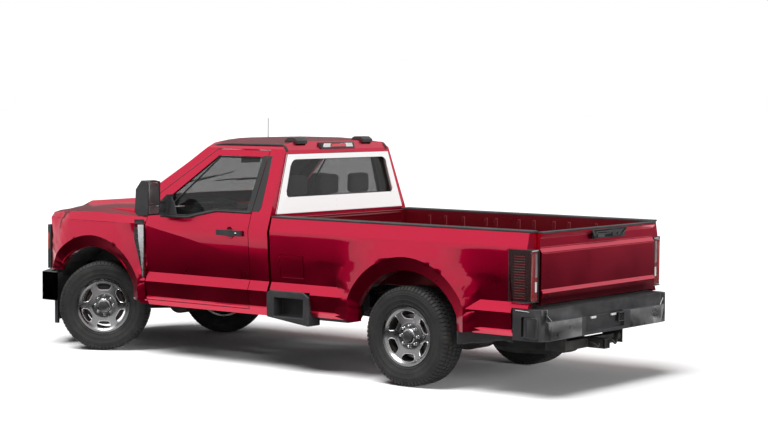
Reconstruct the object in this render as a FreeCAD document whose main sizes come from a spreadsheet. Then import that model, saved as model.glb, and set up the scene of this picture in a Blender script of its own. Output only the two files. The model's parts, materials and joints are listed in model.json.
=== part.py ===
import FreeCAD, Part
import math
import os
import re

import Sketcher
from FreeCAD import Placement, Rotation, Vector

# A regular-cab, long-bed, four-wheel-drive pickup truck, in millimetres.
# +X points forward, +Y to the left and +Z up. The origin is on the ground at the middle of the truck.

DRIVING_SIZES = {
    # Overall
    "front_reach": 2945,
    "tail_reach": 2945,
    "body_half": 1004,
    "overrun": 40,
    "panel_gap": 6,
    "seat_gap": 0.3,
    # Axles and wheels
    "axle_height": 411,
    "tyre_radius": 411,
    "tyre_half_width": 137,
    "tyre_sides": 40,
    "spare_sides": 24,
    "tread_half_width": 100,
    "tread_crown": 3,
    "shoulder_drop": 22,
    "sidewall_radius": 325,
    "bead_radius": 236,
    "bead_half_width": 108,
    "rim_lip_radius": 249,
    "rim_lip": 9,
    "rim_barrel_wall": 9,
    "rim_well_depth": 20,
    "rim_flange_step": 18,
    "rim_well_half": 60,
    "rim_shoulder_half": 90,
    "disc_outer_y": 112,
    "disc_inner_y": 45,
    "disc_wall": 26,
    "disc_rise_radius": 206,
    "disc_rise_y": 92,
    "disc_low_radius": 118,
    "disc_low_y": 62,
    "hub_radius": 62,
    "hub_face_y": 84,
    "hub_dish_y": 66,
    "cap_radius": 42,
    "cap_y": 98,
    "spindle_radius": 30,
    "spindle_depth": 30,
    "spindle_clearance": 0.05,
    "window_inner_radius": 138,
    "window_outer_radius": 206,
    "window_outer_half": 66,
    "wheel_windows": 6,
    "kingpin_offset": 57.5,
    "steer_rest": 34,
    # Ladder frame
    "rail_width": 76,
    "rail_wall": 9,
    "rail_depth": 165,
    "rail_front_z": 600,
    "rail_middle_z": 505,
    "rail_rear_z": 590,
    "cross_member_length": 90,
    "cross_member_depth": 90,
    "cab_mount_radius": 38,
    # Cab
    "cab_floor_z": 680,
    "rocker_z": 470,
    "floor_wall": 45,
    "firewall_wall": 50,
    "cowl_z": 1392,
    "cowl_low_z": 1320,
    "windshield_low_z": 1400,
    "windshield_top_z": 1932,
    "windshield_sweep": 120,
    "roof_rear_z": 1955,
    "roof_crown_z": 2000,
    "roof_front_z": 1972,
    "roof_edge_z": 1935,
    "drip_z": 1893,
    "belt_z": 1350,
    "cab_wall": 62,
    "roof_wall": 42,
    "pillar_recess": 84,
    "rear_wall": 40,
    "back_top_z": 1885,
    # Body side section
    "rail_z": 1312,
    "crease_z": 1196,
    "crease_in": 1,
    "waist_z": 950,
    "waist_in": 16,
    "ledge_top_z": 766,
    "ledge_in": 34,
    "ledge_low_z": 684,
    "accent_z": 548,
    "accent_in": 14,
    "accent_step": 10,
    "sill_in": 52,
    # Doors
    "door_low_z": 520,
    "door_top_z": 1878,
    "door_pillar_z": 1432,
    "door_thickness": 92,
    "door_hinge_in": 3,
    "door_hinge_low_z": 668,
    "door_hinge_high_z": 1160,
    "door_hinge_length": 26,
    "hinge_leaf": 2,
    "hinge_play": 0.3,
    "door_glass_thickness": 6,
    "window_dip_z": 1284,
    "window_front_z": 1384,
    "window_top_z": 1824,
    "frame_thickness": 34,
    # Rear window and its surround
    "rear_glass_low_z": 1480,
    "rear_glass_top_z": 1804,
    "glass_thickness": 6,
    "surround_low_z": 1340,
    "surround_top_z": 1851,
    "surround_thickness": 14,
    "windshield_open_z": 1440,
    "windshield_open_top_z": 1900,
    # Front of the body
    "hood_rear_z": 1394,
    "hood_middle_z": 1376,
    "hood_front_z": 1338,
    "hood_nose_z": 1262,
    "hood_side_drop": 78,
    "bulge_drop": 34,
    "hood_thickness": 46,
    "hood_hinge_z": 1386,
    "hood_hinge_half": 30,
    "fender_top_z": 1262,
    "fender_wall": 42,
    "fender_low_z": 500,
    "nose_depth": 130,
    "grille_low_z": 742,
    "grille_top_z": 1160,
    "grille_frame": 46,
    "grille_bars": 5,
    "grille_bar_height": 34,
    "lamp_low_z": 716,
    "lamp_top_z": 1128,
    "apron_wall": 12,
    "liner_radius": 565,
    "liner_wall": 8,
    # Wheel arches
    "front_arch_radius": 545,
    "rear_arch_radius": 540,
    "flare_radius": 652,
    "flare_fade": 850,
    "flare_proud": 12,
    "flare_tuck": 26,
    "flare_depth": 70,
    "flare_run": 150,
    "arch_half_length": 500,
    "front_arch_lead": 430,
    "lip_width": 85,
    # Front bumper
    "bumper_low_z": 425,
    "bumper_top_z": 690,
    "bumper_wall": 70,
    "dam_low_z": 195,
    "dam_wall": 22,
    # Bed
    "bed_floor_z": 795,
    "bed_floor_wall": 8,
    "bed_rib_height": 14,
    "bed_rib_width": 70,
    "bed_ribs": 9,
    "bed_front_wall": 42,
    "wheelhouse_half_length": 470,
    "wheelhouse_top_z": 1010,
    "wheelhouse_wall": 10,
    "wheelhouse_shoulder": 170,
    "bed_cross_sills": 5,
    "bed_sill_length": 90,
    "bedside_low_z": 495,
    "bedside_skin": 46,
    "bedside_box": 96,
    "bedside_box_z": 1215,
    "cap_height": 16,
    "cap_width": 118,
    "cap_overhang": 3,
    # Tail lamps
    "tail_lamp_low_z": 769,
    "tail_lamp_top_z": 1182,
    "bedside_tail_z": 716,
    # Tailgate
    "gate_low_z": 748,
    "gate_top_z": 1316,
    "gate_lip_z": 1292,
    "gate_under_lip_z": 1262,
    "gate_cap_height": 14,
    "gate_ledge_z": 852,
    "gate_shelf_z": 1187,
    "gate_shelf_low_z": 1156,
    "gate_hinge_z": 785,
    "gate_pin_radius": 12,
    "handle_low_z": 1222,
    "handle_top_z": 1300,
    "handle_proud": 16,
    # Fuel door
    "fuel_low_z": 818,
    "fuel_top_z": 1004,
    "fuel_depth": 20,
    "fuel_hinge_inset": 30,
    "fuel_hinge_length": 24,
    # Rear bumper and hitch
    "rear_bumper_top_z": 717,
    "rear_bumper_low_z": 470,
    "rear_bumper_corner": 60,
    "rear_bumper_pad_z": 622,
    "rear_bumper_pad_in": 24,
    "plate_low_z": 496,
    "plate_top_z": 628,
    "plate_depth": 40,
    "pocket_inner_y": 660,
    "receiver_low_z": 330,
    "receiver_outer": 80,
    "receiver_inner": 64,
    "receiver_length": 230,
    "hitch_pin_radius": 8,
    "hitch_pin_inset": 66,
    "hitch_tube_size": 76,
    "hitch_plate_wall": 10,
    # Box steps
    "step_low_z": 415,
    "step_top_z": 700,
    "step_recess_low_z": 480,
    "step_recess_top_z": 640,
    "step_recess_depth": 120,
    # Mirrors
    "mirror_low_z": 1283,
    "mirror_top_z": 1602,
    "mirror_arm_radius": 15,
    "mirror_arm_low_z": 1330,
    "mirror_arm_high_z": 1405,
    "door_handle_z": 1166,
    "door_handle_half": 24,
    "door_handle_proud": 28,
    # Roof lamps and antenna
    "pod_length": 150,
    "pod_half_width": 66,
    "pod_sink": 18,
    "pod_height": 34,
    "stop_lamp_low_z": 1886,
    "stop_lamp_top_z": 1944,
    "stop_lamp_proud": 10,
    "antenna_radius": 4,
    "antenna_top_z": 2133,
    "antenna_foot_radius": 22,
    "antenna_foot_height": 26,
    # Running gear
    "front_tube_radius": 44,
    "front_diff_radius": 165,
    "front_diff_half": 120,
    "yoke_reach_z": 95,
    "yoke_length": 90,
    "yoke_wall": 34,
    "knuckle_radius": 42,
    "knuckle_plate_radius": 120,
    "knuckle_plate_wall": 34,
    "knuckle_plate_y": 48,
    "brake_disc_radius": 178,
    "brake_disc_wall": 34,
    "brake_disc_y": 58,
    "rear_tube_radius": 55,
    "rear_diff_radius": 190,
    "rear_diff_half": 130,
    "rear_hub_radius": 92,
    "leaf_half_width": 38,
    "leaf_half_length": 750,
    "leaf_end_z": 560,
    "leaf_thickness": 48,
    "leaf_eye_radius": 38,
    "coil_radius": 68,
    "coil_wire": 9,
    "coil_turns": 5,
    "coil_low_z": 470,
    "coil_top_z": 765,
    "arm_radius": 26,
    "arm_rear_z": 465,
    # Powertrain
    "engine_low_z": 620,
    "engine_top_z": 1240,
    "gearbox_low_z": 410,
    "gearbox_top_z": 590,
    "shaft_radius": 45,
    "front_shaft_radius": 28,
    "radiator_wall": 60,
    "radiator_low_z": 772,
    "radiator_top_z": 1120,
    # Tank, exhaust, spare wheel
    "tank_low_z": 430,
    "tank_top_z": 640,
    "tank_corner": 60,
    "muffler_z": 480,
    "muffler_radius": 105,
    "pipe_radius": 38,
    "pipe_tail_z": 510,
    "spare_z": 395,
    "spare_half_width": 125,
    # Seat, dashboard and steering wheel
    "seat_low_z": 726,
    "seat_cushion_z": 960,
    "seat_back_top_z": 1440,
    "seat_back_wall": 170,
    "seat_back_lean": 90,
    "headrest_half": 145,
    "headrest_low_z": 1478,
    "headrest_top_z": 1672,
    "headrest_wall": 105,
    "headrest_post_radius": 7,
    "dash_low_z": 960,
    "dash_top_z": 1350,
    "column_radius": 34,
    "wheel_z": 1235,
    "wheel_tilt": 25,
    "wheel_ring_radius": 185,
    "wheel_wire": 15,
    "wheel_hub_radius": 62,
    "wheel_hub_half": 24,
    "wheel_spoke_half": 18,
}

# Places along the truck ahead of its middle, as shares of the front reach.
FRONT_SHARES = {
    "front_axle_x": 1974 / 2945,
    "rail_front_x": 2560 / 2945,
    "rail_drop_front_x": 1640 / 2945,
    "rail_drop_rear_x": 1450 / 2945,
    "member_front_x": 2500 / 2945,
    "member_gearbox_x": 60 / 2945,
    "cab_mount_front_x": 1160 / 2945,
    "firewall_x": 1440 / 2945,
    "cowl_front_x": 1615 / 2945,
    "windshield_low_x": 1590 / 2945,
    "windshield_top_x": 830 / 2945,
    "roof_crown_x": 300 / 2945,
    "roof_front_x": 700 / 2945,
    "door_rear_x": 68 / 2945,
    "door_front_x": 1290 / 2945,
    "door_top_rear_x": 38 / 2945,
    "door_top_front_x": 640 / 2945,
    "door_pillar_x": 1255 / 2945,
    "window_rear_x": 118 / 2945,
    "window_rise_x": 490 / 2945,
    "window_dip_x": 790 / 2945,
    "window_front_x": 1150 / 2945,
    "window_top_front_x": 615 / 2945,
    "window_top_rear_x": 92 / 2945,
    "hood_rear_x": 1625 / 2945,
    "hood_middle_x": 2080 / 2945,
    "hood_front_x": 2560 / 2945,
    "hood_nose_x": 2740 / 2945,
    "hood_hinge_x": 1620 / 2945,
    "fender_front_x": 2590 / 2945,
    "nose_face_x": 2790 / 2945,
    "nose_side_x": 2640 / 2945,
    "nose_quarter_x": 2745 / 2945,
    "bumper_side_x": 2430 / 2945,
    "bumper_quarter_x": 2890 / 2945,
    "bumper_corner_x": 2640 / 2945,
    "dam_front_x": 2890 / 2945,
    "dam_side_x": 2600 / 2945,
    "dam_quarter_x": 2830 / 2945,
    "mirror_rear_x": 985 / 2945,
    "mirror_front_x": 1165 / 2945,
    "mirror_shell_x": 1010 / 2945,
    "mirror_arm_x": 1085 / 2945,
    "door_handle_rear_x": 134 / 2945,
    "door_handle_front_x": 410 / 2945,
    "antenna_x": 1470 / 2945,
    "arm_rear_x": 1010 / 2945,
    "engine_front_x": 2250 / 2945,
    "engine_rear_x": 1450 / 2945,
    "gearbox_rear_x": 480 / 2945,
    "transfer_rear_x": 120 / 2945,
    "radiator_x": 2380 / 2945,
    "tank_front_x": 250 / 2945,
    "pipe_front_x": 1250 / 2945,
    "seat_front_x": 560 / 2945,
    "dash_rear_x": 1010 / 2945,
    "wheel_x": 845 / 2945,
}
# Places along the truck behind its middle, as shares of the tail reach.
REAR_SHARES = {
    "rear_axle_x": -1623 / 2945,
    "rail_rear_x": -2700 / 2945,
    "rail_rise_front_x": -900 / 2945,
    "rail_rise_rear_x": -1120 / 2945,
    "member_cab_x": -700 / 2945,
    "member_axle_x": -1300 / 2945,
    "member_spare_x": -1880 / 2945,
    "member_tail_x": -2650 / 2945,
    "cab_rear_x": -153 / 2945,
    "roof_rear_x": -60 / 2945,
    "back_top_x": -118 / 2945,
    "cab_mount_rear_x": -20 / 2945,
    "bed_front_x": -180 / 2945,
    "bed_rear_x": -2822 / 2945,
    "bed_floor_rear_x": -2770 / 2945,
    "bedside_rear_x": -2812 / 2945,
    "tail_lamp_front_x": -2640 / 2945,
    "tail_lamp_rear_x": -2840 / 2945,
    "bedside_tail_x": -2662 / 2945,
    "gate_lip_x": -2867 / 2945,
    "gate_face_x": -2856 / 2945,
    "gate_ridge_x": -2872 / 2945,
    "gate_inner_x": -2806 / 2945,
    "gate_tuck_x": -2850 / 2945,
    "gate_shelf_x": -2838 / 2945,
    "gate_hinge_x": -2818 / 2945,
    "fuel_front_x": -288 / 2945,
    "fuel_rear_x": -540 / 2945,
    "rear_bumper_front_x": -2730 / 2945,
    "rear_bumper_wrap_x": -2668 / 2945,
    "step_front_x": -2890 / 2945,
    "receiver_rear_x": -2935 / 2945,
    "hitch_tube_x": -2740 / 2945,
    "step_rear_x": -622 / 2945,
    "step_lead_x": -158 / 2945,
    "step_recess_front_x": -235 / 2945,
    "step_recess_rear_x": -560 / 2945,
    "pod_x": -18 / 2945,
    "tank_rear_x": -780 / 2945,
    "muffler_front_x": -150 / 2945,
    "muffler_rear_x": -800 / 2945,
    "pipe_tail_x": -2330 / 2945,
    "pipe_over_x": -1150 / 2945,
    "spare_x": -2262 / 2945,
    "seat_rear_x": -60 / 2945,
}
# Places across the truck, as shares of the body's half width.
SIDE_SHARES = {
    "rear_wheel_y": 853.5 / 1004,
    "kingpin_y": 810 / 1004,
    "rail_outer_y": 432 / 1004,
    "rocker_inner_y": 790 / 1004,
    "roof_edge_y": 690 / 1004,
    "drip_y": 738 / 1004,
    "belt_y": 952 / 1004,
    "rail_half": 972 / 1004,
    "rear_glass_low_y": 765 / 1004,
    "rear_glass_top_y": 661 / 1004,
    "surround_low_y": 892 / 1004,
    "surround_top_y": 710 / 1004,
    "windshield_low_half": 790 / 1004,
    "windshield_top_half": 640 / 1004,
    "hood_half": 800 / 1004,
    "bulge_half": 430 / 1004,
    "hood_hinge_y": 300 / 1004,
    "fender_corner_y": 930 / 1004,
    "nose_quarter_y": 600 / 1004,
    "grille_half": 590 / 1004,
    "apron_y": 560 / 1004,
    "bumper_quarter_y": 620 / 1004,
    "bumper_corner_y": 955 / 1004,
    "bumper_half": 1000 / 1004,
    "dam_half": 880 / 1004,
    "bed_wall_half": 912 / 1004,
    "bed_inner_half": 850 / 1004,
    "wheelhouse_inner_y": 642 / 1004,
    "tail_lamp_inner_y": 884 / 1004,
    "gate_half": 866 / 1004,
    "handle_left_y": 110 / 1004,
    "handle_right_y": -390 / 1004,
    "fuel_hinge_y": 990 / 1004,
    "rear_bumper_half": 965 / 1004,
    "plate_left_y": 344 / 1004,
    "plate_right_y": -249 / 1004,
    "step_inner_y": 850 / 1004,
    "step_outer_y": 1012 / 1004,
    "mirror_inner_y": 1100 / 1004,
    "mirror_outer_y": 1262 / 1004,
    "pod_y": 464 / 1004,
    "stop_lamp_half": 235 / 1004,
    "antenna_y": -880 / 1004,
    "front_yoke_y": 745 / 1004,
    "front_diff_y": -270 / 1004,
    "leaf_y": 505 / 1004,
    "coil_y": 520 / 1004,
    "arm_y": 395 / 1004,
    "engine_half": 290 / 1004,
    "gearbox_half": 150 / 1004,
    "transfer_left_y": 330 / 1004,
    "radiator_half": 400 / 1004,
    "tank_inner_y": 445 / 1004,
    "tank_outer_y": 730 / 1004,
    "muffler_y": -610 / 1004,
    "pipe_front_y": -500 / 1004,
    "pipe_tail_y": -760 / 1004,
    "seat_half": 690 / 1004,
    "headrest_y": 400 / 1004,
    "dash_half": 780 / 1004,
    "wheel_y": 400 / 1004,
    "rear_hub_y": 800 / 1004,
}
# Shares of outlines, chosen by hand.
NOSE_BULGE_SHARE = 0.55
# A wheel's window, as shares of its outer half width and of its height.
WINDOW_SHARES = ((0.5, 0), (0.72, 0.1), (0.95, 0.45), (1, 0.62), (0.93, 0.8), (0.62, 0.95), (0.25, 1))
FLARE_FACETS = 28
CROSS_MEMBER_NAMES = ("member_front_x", "member_gearbox_x", "member_cab_x", "member_axle_x", "member_spare_x", "member_tail_x")

SIZE_NAMES = {*DRIVING_SIZES, *FRONT_SHARES, *REAR_SHARES, *SIDE_SHARES}

DOC = FreeCAD.newDocument("pickup_truck")
SHEET = DOC.addObject("Spreadsheet::Sheet", "sizes")
NODES = []
ROOF_SEAT = []


def fill_sheet():
    """Write each driving size and its alias into the sheet."""
    cells = dict(DRIVING_SIZES)
    for whole, shares in (("front_reach", FRONT_SHARES), ("tail_reach", REAR_SHARES), ("body_half", SIDE_SHARES)):
        cells.update({name: f"={whole} * {share!r}" for name, share in shares.items()})
    for row, (name, value) in enumerate(cells.items(), 1):
        SHEET.set(f"A{row}", name)
        SHEET.set(f"B{row}", str(value))
        SHEET.setAlias(f"B{row}", name)
    DOC.recompute()


def size(name):
    """The sheet's value under a name."""
    return float(SHEET.get(name))


def bound(text):
    """An expression in which each size's name is read from the sheet."""
    names = r"[a-z_][a-z_0-9]*"
    return re.sub(names, lambda word: "sizes." + word.group() if word.group() in SIZE_NAMES else word.group(), text)


def evaluated(text):
    """The number that an expression of sizes gives."""
    SHEET.set("D1", "=" + bound(text).replace("sizes.", ""))
    DOC.recompute([SHEET])
    return float(SHEET.get("D1"))


def bind(thing, **expressions):
    """Bind properties of an object to the sheet: two underscores stand for a dot."""
    for name, text in expressions.items():
        thing.setExpression(name.replace("__", "."), bound(text))
    return thing


def node(label, thing):
    """Name a finished object as one of the truck's pieces."""
    thing.Label = label
    NODES.append(thing)
    return thing


def plane_of(body, role):
    """One of a body's own origin planes."""
    return next(feature for feature in body.Origin.OriginFeatures if feature.Role == role)


def outline(body, name, role, points, offset="0"):
    """A closed sketch on an origin plane with each corner bound to the sheet."""
    sketch = body.newObject("Sketcher::SketchObject", name)
    sketch.AttachmentSupport = [(plane_of(body, role), "")]
    sketch.MapMode = "FlatFace"
    corners = [Vector(float(sketch.evalExpression(bound(x))), float(sketch.evalExpression(bound(y))), 0) for x, y in points]
    count = len(corners)
    sketch.addGeometry([Part.LineSegment(corners[i], corners[(i + 1) % count]) for i in range(count)], False)
    sketch.addConstraint([Sketcher.Constraint("Coincident", i, 2, (i + 1) % count, 1) for i in range(count)])
    places = []
    for i, corner in enumerate(corners):
        places.append(Sketcher.Constraint("DistanceX", -1, 1, i, 1, corner.x))
        places.append(Sketcher.Constraint("DistanceY", -1, 1, i, 1, corner.y))
    sketch.addConstraint(places)
    for i, (x, y) in enumerate(points):
        sketch.setExpression(f"Constraints[{count + 2 * i}]", bound(x))
        sketch.setExpression(f"Constraints[{count + 2 * i + 1}]", bound(y))
    if offset != "0":
        sketch.setExpression("AttachmentOffset.Base.z", bound(offset))
    return sketch


def prism(name, role, points, low, high):
    """A straight prism of an outline, from low to high along the plane's own axis."""
    body = DOC.addObject("PartDesign::Body", name)
    backwards = role == "XZ_Plane"
    sketch = outline(body, name + "_outline", role, points, f"-({high})" if backwards else low)
    pad = body.newObject("PartDesign::Pad", name + "_pad")
    pad.Profile = sketch
    pad.setExpression("Length", bound(f"({high}) - ({low})"))
    sketch.Visibility = False
    return body


def turned(name, points):
    """A solid turned about its own Y axis from a profile of radius and place along the axis."""
    body = DOC.addObject("PartDesign::Body", name)
    sketch = outline(body, name + "_profile", "XY_Plane", points)
    turn = body.newObject("PartDesign::Revolution", name + "_turn")
    turn.Profile = sketch
    turn.ReferenceAxis = (sketch, ["V_Axis"])
    turn.Angle = 360.0
    return body


def box(name, x, y, z):
    """A box between a low and a high place on each axis."""
    thing = DOC.addObject("Part::Box", name)
    for axis, (low, high), side in (("x", x, "Length"), ("y", y, "Width"), ("z", z, "Height")):
        thing.setExpression(side, bound(f"({high}) - ({low})"))
        thing.setExpression("Placement.Base." + axis, bound(low))
    return thing


def rod(name, radius, start, end, towards="y"):
    """A round bar along one axis, from start to the same point moved to end on that axis."""
    thing = DOC.addObject("Part::Cylinder", name)
    turns = {"x": Rotation(Vector(0, 1, 0), 90), "y": Rotation(Vector(1, 0, 0), -90), "z": Rotation()}
    thing.Placement = Placement(Vector(), turns[towards])
    low = start["xyz".index(towards)]
    thing.setExpression("Radius", bound(radius))
    thing.setExpression("Height", bound(f"({end}) - ({low})"))
    for axis, place in zip("xyz", start):
        thing.setExpression("Placement.Base." + axis, bound(place))
    return thing


def fuse(name, things):
    """One object joined from several."""
    joined = DOC.addObject("Part::MultiFuse", name)
    joined.Shapes = things
    return joined


def common(name, things):
    """What several objects share."""
    shared = DOC.addObject("Part::MultiCommon", name)
    shared.Shapes = things
    return shared


def cut(name, base, *tools):
    """A base object with tools taken away."""
    tool = tools[0] if len(tools) == 1 else fuse(name + "_tools", list(tools))
    result = DOC.addObject("Part::Cut", name)
    result.Base = base
    result.Tool = tool
    return result


def mirror(name, thing):
    """The same object on the right-hand side."""
    copy = DOC.addObject("Part::Mirroring", name)
    copy.Source = thing
    copy.Base = Vector()
    copy.Normal = Vector(0, 1, 0)
    return copy


def pair(name, thing):
    """An object and its mirror image as one piece of two solids."""
    both = DOC.addObject("Part::Compound", name)
    both.Links = [thing, mirror(name + "_right", thing)]
    return both


def feature(name, shape):
    """An object whose shape is worked out from the sheet."""
    thing = DOC.addObject("Part::Feature", name)
    thing.Shape = shape
    return thing


def weld(name, base, things):
    """One solid of a base that has bent faces and the small things that join it."""
    DOC.recompute()
    return feature(name, base.Shape.Solids[0].multiFuse([thing.Shape for thing in things]))


def stood_on(name, things, seat):
    """Things cut to the top of what they stand on and lifted off it by the seat gap."""
    DOC.recompute()
    kept = []
    for thing in things:
        shape = thing.Shape.Solids[0]
        for solid in seat.Shape.Solids:
            shape = shape.cut(solid)
        top = max(shape.Solids, key=lambda solid: solid.BoundBox.ZMax)
        kept.append(top.translated(Vector(0, 0, size("seat_gap"))))
    return feature(name, Part.makeCompound(kept))


def side_section(inset="0"):
    """Corners of half the lower body's section, from the sill up to the rail, as expressions of y and z."""
    return [
        (f"body_half - sill_in - {inset}", "rocker_z"),
        (f"body_half - accent_in - {inset}", "accent_z - accent_step"),
        (f"body_half - accent_in - accent_step - {inset}", "accent_z"),
        (f"body_half - {inset}", "ledge_low_z"),
        (f"body_half - ledge_in - {inset}", "ledge_top_z"),
        (f"body_half - waist_in - {inset}", "waist_z"),
        (f"body_half - crease_in - {inset}", "crease_z"),
        (f"rail_half - {inset}", "rail_z"),
    ]


def both_sides(points):
    """Corners of a whole section from those of its left half, low to high."""
    return list(points) + [(f"-({y})", z) for y, z in reversed(points)]


def ladder_frame():
    """Two channel rails that rise over the rear axle, with cross members and coil towers."""
    top = [
        ("rail_rear_x", "rail_rear_z"),
        ("rail_rise_rear_x", "rail_rear_z"),
        ("rail_rise_front_x", "rail_middle_z"),
        ("rail_drop_rear_x", "rail_middle_z"),
        ("rail_drop_front_x", "rail_front_z"),
        ("rail_front_x", "rail_front_z"),
    ]
    outer = [(x, z) for x, z in top] + [(x, f"{z} + rail_depth") for x, z in reversed(top)]
    inner = [(x, f"{z} + rail_wall") for x, z in top]
    inner = inner + [(x, f"{z} + rail_depth - rail_wall") for x, z in reversed(top)]
    solid = prism("rail", "XZ_Plane", outer, "rail_outer_y - rail_width", "rail_outer_y")
    hollow = prism("rail_channel", "XZ_Plane", inner, "rail_outer_y - rail_width - overrun", "rail_outer_y - rail_wall")
    rail = cut("rail_left", solid, hollow)
    pieces = [rail, mirror("rail_right", rail)]
    reach = ("-(rail_outer_y - rail_wall)", "rail_outer_y - rail_wall")
    lowest = ["rail_front_z", "rail_middle_z", "rail_middle_z", "rail_rear_z", "rail_rear_z", "rail_rear_z"]
    for i, (x, low) in enumerate(zip(CROSS_MEMBER_NAMES, lowest), 1):
        ends = (f"{x} - cross_member_length / 2", f"{x} + cross_member_length / 2")
        height = (f"{low} + rail_depth - rail_wall - cross_member_depth", f"{low} + rail_depth - rail_wall")
        pieces.append(box(f"cross_member_{i}", ends, reach, height))
    tower = box(
        "coil_tower",
        ("front_axle_x - coil_radius - rail_wall", "front_axle_x + coil_radius + rail_wall"),
        ("rail_outer_y - rail_wall", "coil_y + coil_radius + rail_wall"),
        ("coil_top_z", "coil_top_z + rail_wall"),
    )
    web = box(
        "coil_tower_web",
        ("front_axle_x - coil_radius - rail_wall", "front_axle_x - coil_radius"),
        ("rail_outer_y - rail_wall", "coil_y"),
        ("rail_front_z + rail_depth / 2", "coil_top_z + rail_wall"),
    )
    for end in ("front", "rear"):
        for side in ("", "-"):
            name = f"cab_mount_{end}_{'left' if side == '' else 'right'}"
            start = (f"cab_mount_{end}_x", f"{side}(rail_outer_y - rail_width / 2)", "rail_middle_z + rail_depth - rail_wall / 2")
            pieces.append(rod(name, "cab_mount_radius", start, "cab_floor_z - seat_gap", "z"))
    towers = fuse("coil_tower_left", [tower, web])
    pieces += [towers, mirror("coil_tower_right", towers)]
    return node("ladder_frame", fuse("frame", pieces))


def greenhouse_section(inset="0", top="0"):
    """Corners of half the cab's section above the belt, from the belt up to the roof's middle."""
    return [
        (f"belt_y - {inset}", "belt_z"),
        (f"drip_y - {inset}", "drip_z"),
        (f"roof_edge_y - {inset}", f"roof_edge_z - {top}"),
        (f"roof_edge_y / 2 - {inset} / 2", f"(roof_edge_z + 2 * roof_crown_z) / 3 - {top}"),
    ]


def cab_profile(back="0", front="0", top="0", low="rocker_z"):
    """Corners of the cab seen from the left, with its walls taken off."""
    return [
        (f"cab_rear_x + {back}", low),
        (f"cab_rear_x + {back}", "belt_z"),
        (f"back_top_x + {back}", f"back_top_z - {top}"),
        (f"roof_rear_x + {back} / 2", f"roof_rear_z - {top}"),
        ("roof_crown_x", f"roof_crown_z - {top}"),
        ("roof_front_x", f"roof_front_z - {top}"),
        (f"windshield_top_x - {front}", f"windshield_top_z - {top}"),
        (f"windshield_low_x - {front}", "windshield_low_z"),
        (f"cowl_front_x - {front}", f"cowl_z - {front}"),
        (f"cowl_front_x - {front}", f"cowl_low_z - {front}"),
        (f"firewall_x - {front}", f"cowl_low_z - {front}"),
        (f"firewall_x - {front}", low),
    ]


def windshield_block(name, back="0"):
    """All that lies behind the bowed plane of the windshield."""
    low, high = size("rocker_z") - size("overrun"), size("roof_crown_z") + size("overrun")
    shift = size(back) if back in SIZE_NAMES else 0
    slope = (size("windshield_top_x") - size("windshield_low_x")) / (size("windshield_top_z") - size("windshield_low_z"))
    half = size("windshield_low_half")
    middle_x = size("windshield_low_x") - shift + slope * (low - size("windshield_low_z"))
    side_x = middle_x - size("windshield_sweep")
    rear_x = size("cab_rear_x") - size("overrun")
    side = size("body_half") + size("overrun")
    bow = Part.Arc(Vector(side_x, -half, low), Vector(middle_x, 0, low), Vector(side_x, half, low)).toShape()
    corners = [Vector(side_x, half, low), Vector(side_x, side, low), Vector(rear_x, side, low)]
    corners += [Vector(rear_x, -side, low), Vector(side_x, -side, low), Vector(side_x, -half, low)]
    face = Part.Face(Part.Wire([bow] + Part.makePolygon(corners).Edges))
    return feature(name, face.extrude(Vector(slope * (high - low), 0, high - low)))


def cab_envelope(name, wall=False):
    """The cab's outer form, or the space inside its walls."""
    inset, top = ("cab_wall", "roof_wall") if wall else ("0", "0")
    low = "cab_floor_z + floor_wall" if wall else "rocker_z"
    sides = side_section(inset)[:-1] + greenhouse_section(inset, top)
    if wall:
        sides[0] = (sides[0][0], low)
        sides = [sides[0]] + [point for point in sides[4:]]
    profile = cab_profile("rear_wall", "firewall_wall", top, low) if wall else cab_profile()
    front_x = "cowl_front_x + overrun"
    along = prism(name + "_section", "YZ_Plane", both_sides(sides), "cab_rear_x - overrun", front_x)
    across = prism(name + "_profile", "XZ_Plane", profile, "-body_half", "body_half")
    return common(name, [along, across, windshield_block(name + "_screen", "firewall_wall" if wall else "")])


def door_outline(grow="0"):
    """Corners of a door's edge seen from the left, grown by a gap."""
    return [
        (f"door_rear_x - {grow}", f"door_low_z - {grow}"),
        (f"door_front_x + {grow}", f"door_low_z - {grow}"),
        (f"door_front_x + {grow}", f"crease_z + {grow} / 2"),
        (f"door_pillar_x + {grow}", f"door_pillar_z + {grow}"),
        (f"door_top_front_x + {grow}", f"door_top_z + {grow}"),
        (f"door_top_rear_x - {grow}", f"door_top_z + {grow}"),
        (f"door_rear_x - {grow}", "belt_z"),
    ]


def window_outline(shrink="0"):
    """Corners of a door's window seen from the left."""
    return [
        (f"window_rear_x + {shrink}", f"belt_z + {shrink}"),
        ("window_rise_x", f"belt_z + {shrink}"),
        ("window_dip_x", f"window_dip_z + {shrink}"),
        (f"window_front_x - {shrink}", f"window_dip_z + {shrink}"),
        (f"window_front_x - {shrink}", f"window_front_z - {shrink}"),
        (f"window_top_front_x - {shrink}", f"window_top_z - {shrink}"),
        (f"window_top_rear_x + {shrink}", f"window_top_z - {shrink}"),
    ]


def leaning_sheet(near, far):
    """Corners of a sheet that leans with the cab's back wall, between two depths into it."""
    top = "back_top_z"
    return [
        (f"cab_rear_x + {near}", "surround_low_z"),
        (f"cab_rear_x + {near}", "belt_z"),
        (f"back_top_x + {near}", top),
        (f"back_top_x + {far}", top),
        (f"cab_rear_x + {far}", "belt_z"),
        (f"cab_rear_x + {far}", "surround_low_z"),
    ]


def screen_outline(low_half, low_z, top_half, top_z, shrink="0"):
    """Corners of a window in the front or back wall, seen along the truck."""
    return [
        (f"{low_half} - {shrink}", f"{low_z} + {shrink}"),
        (f"{top_half} - {shrink}", f"{top_z} - {shrink}"),
        (f"-({top_half} - {shrink})", f"{top_z} - {shrink}"),
        (f"-({low_half} - {shrink})", f"{low_z} + {shrink}"),
    ]


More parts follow.
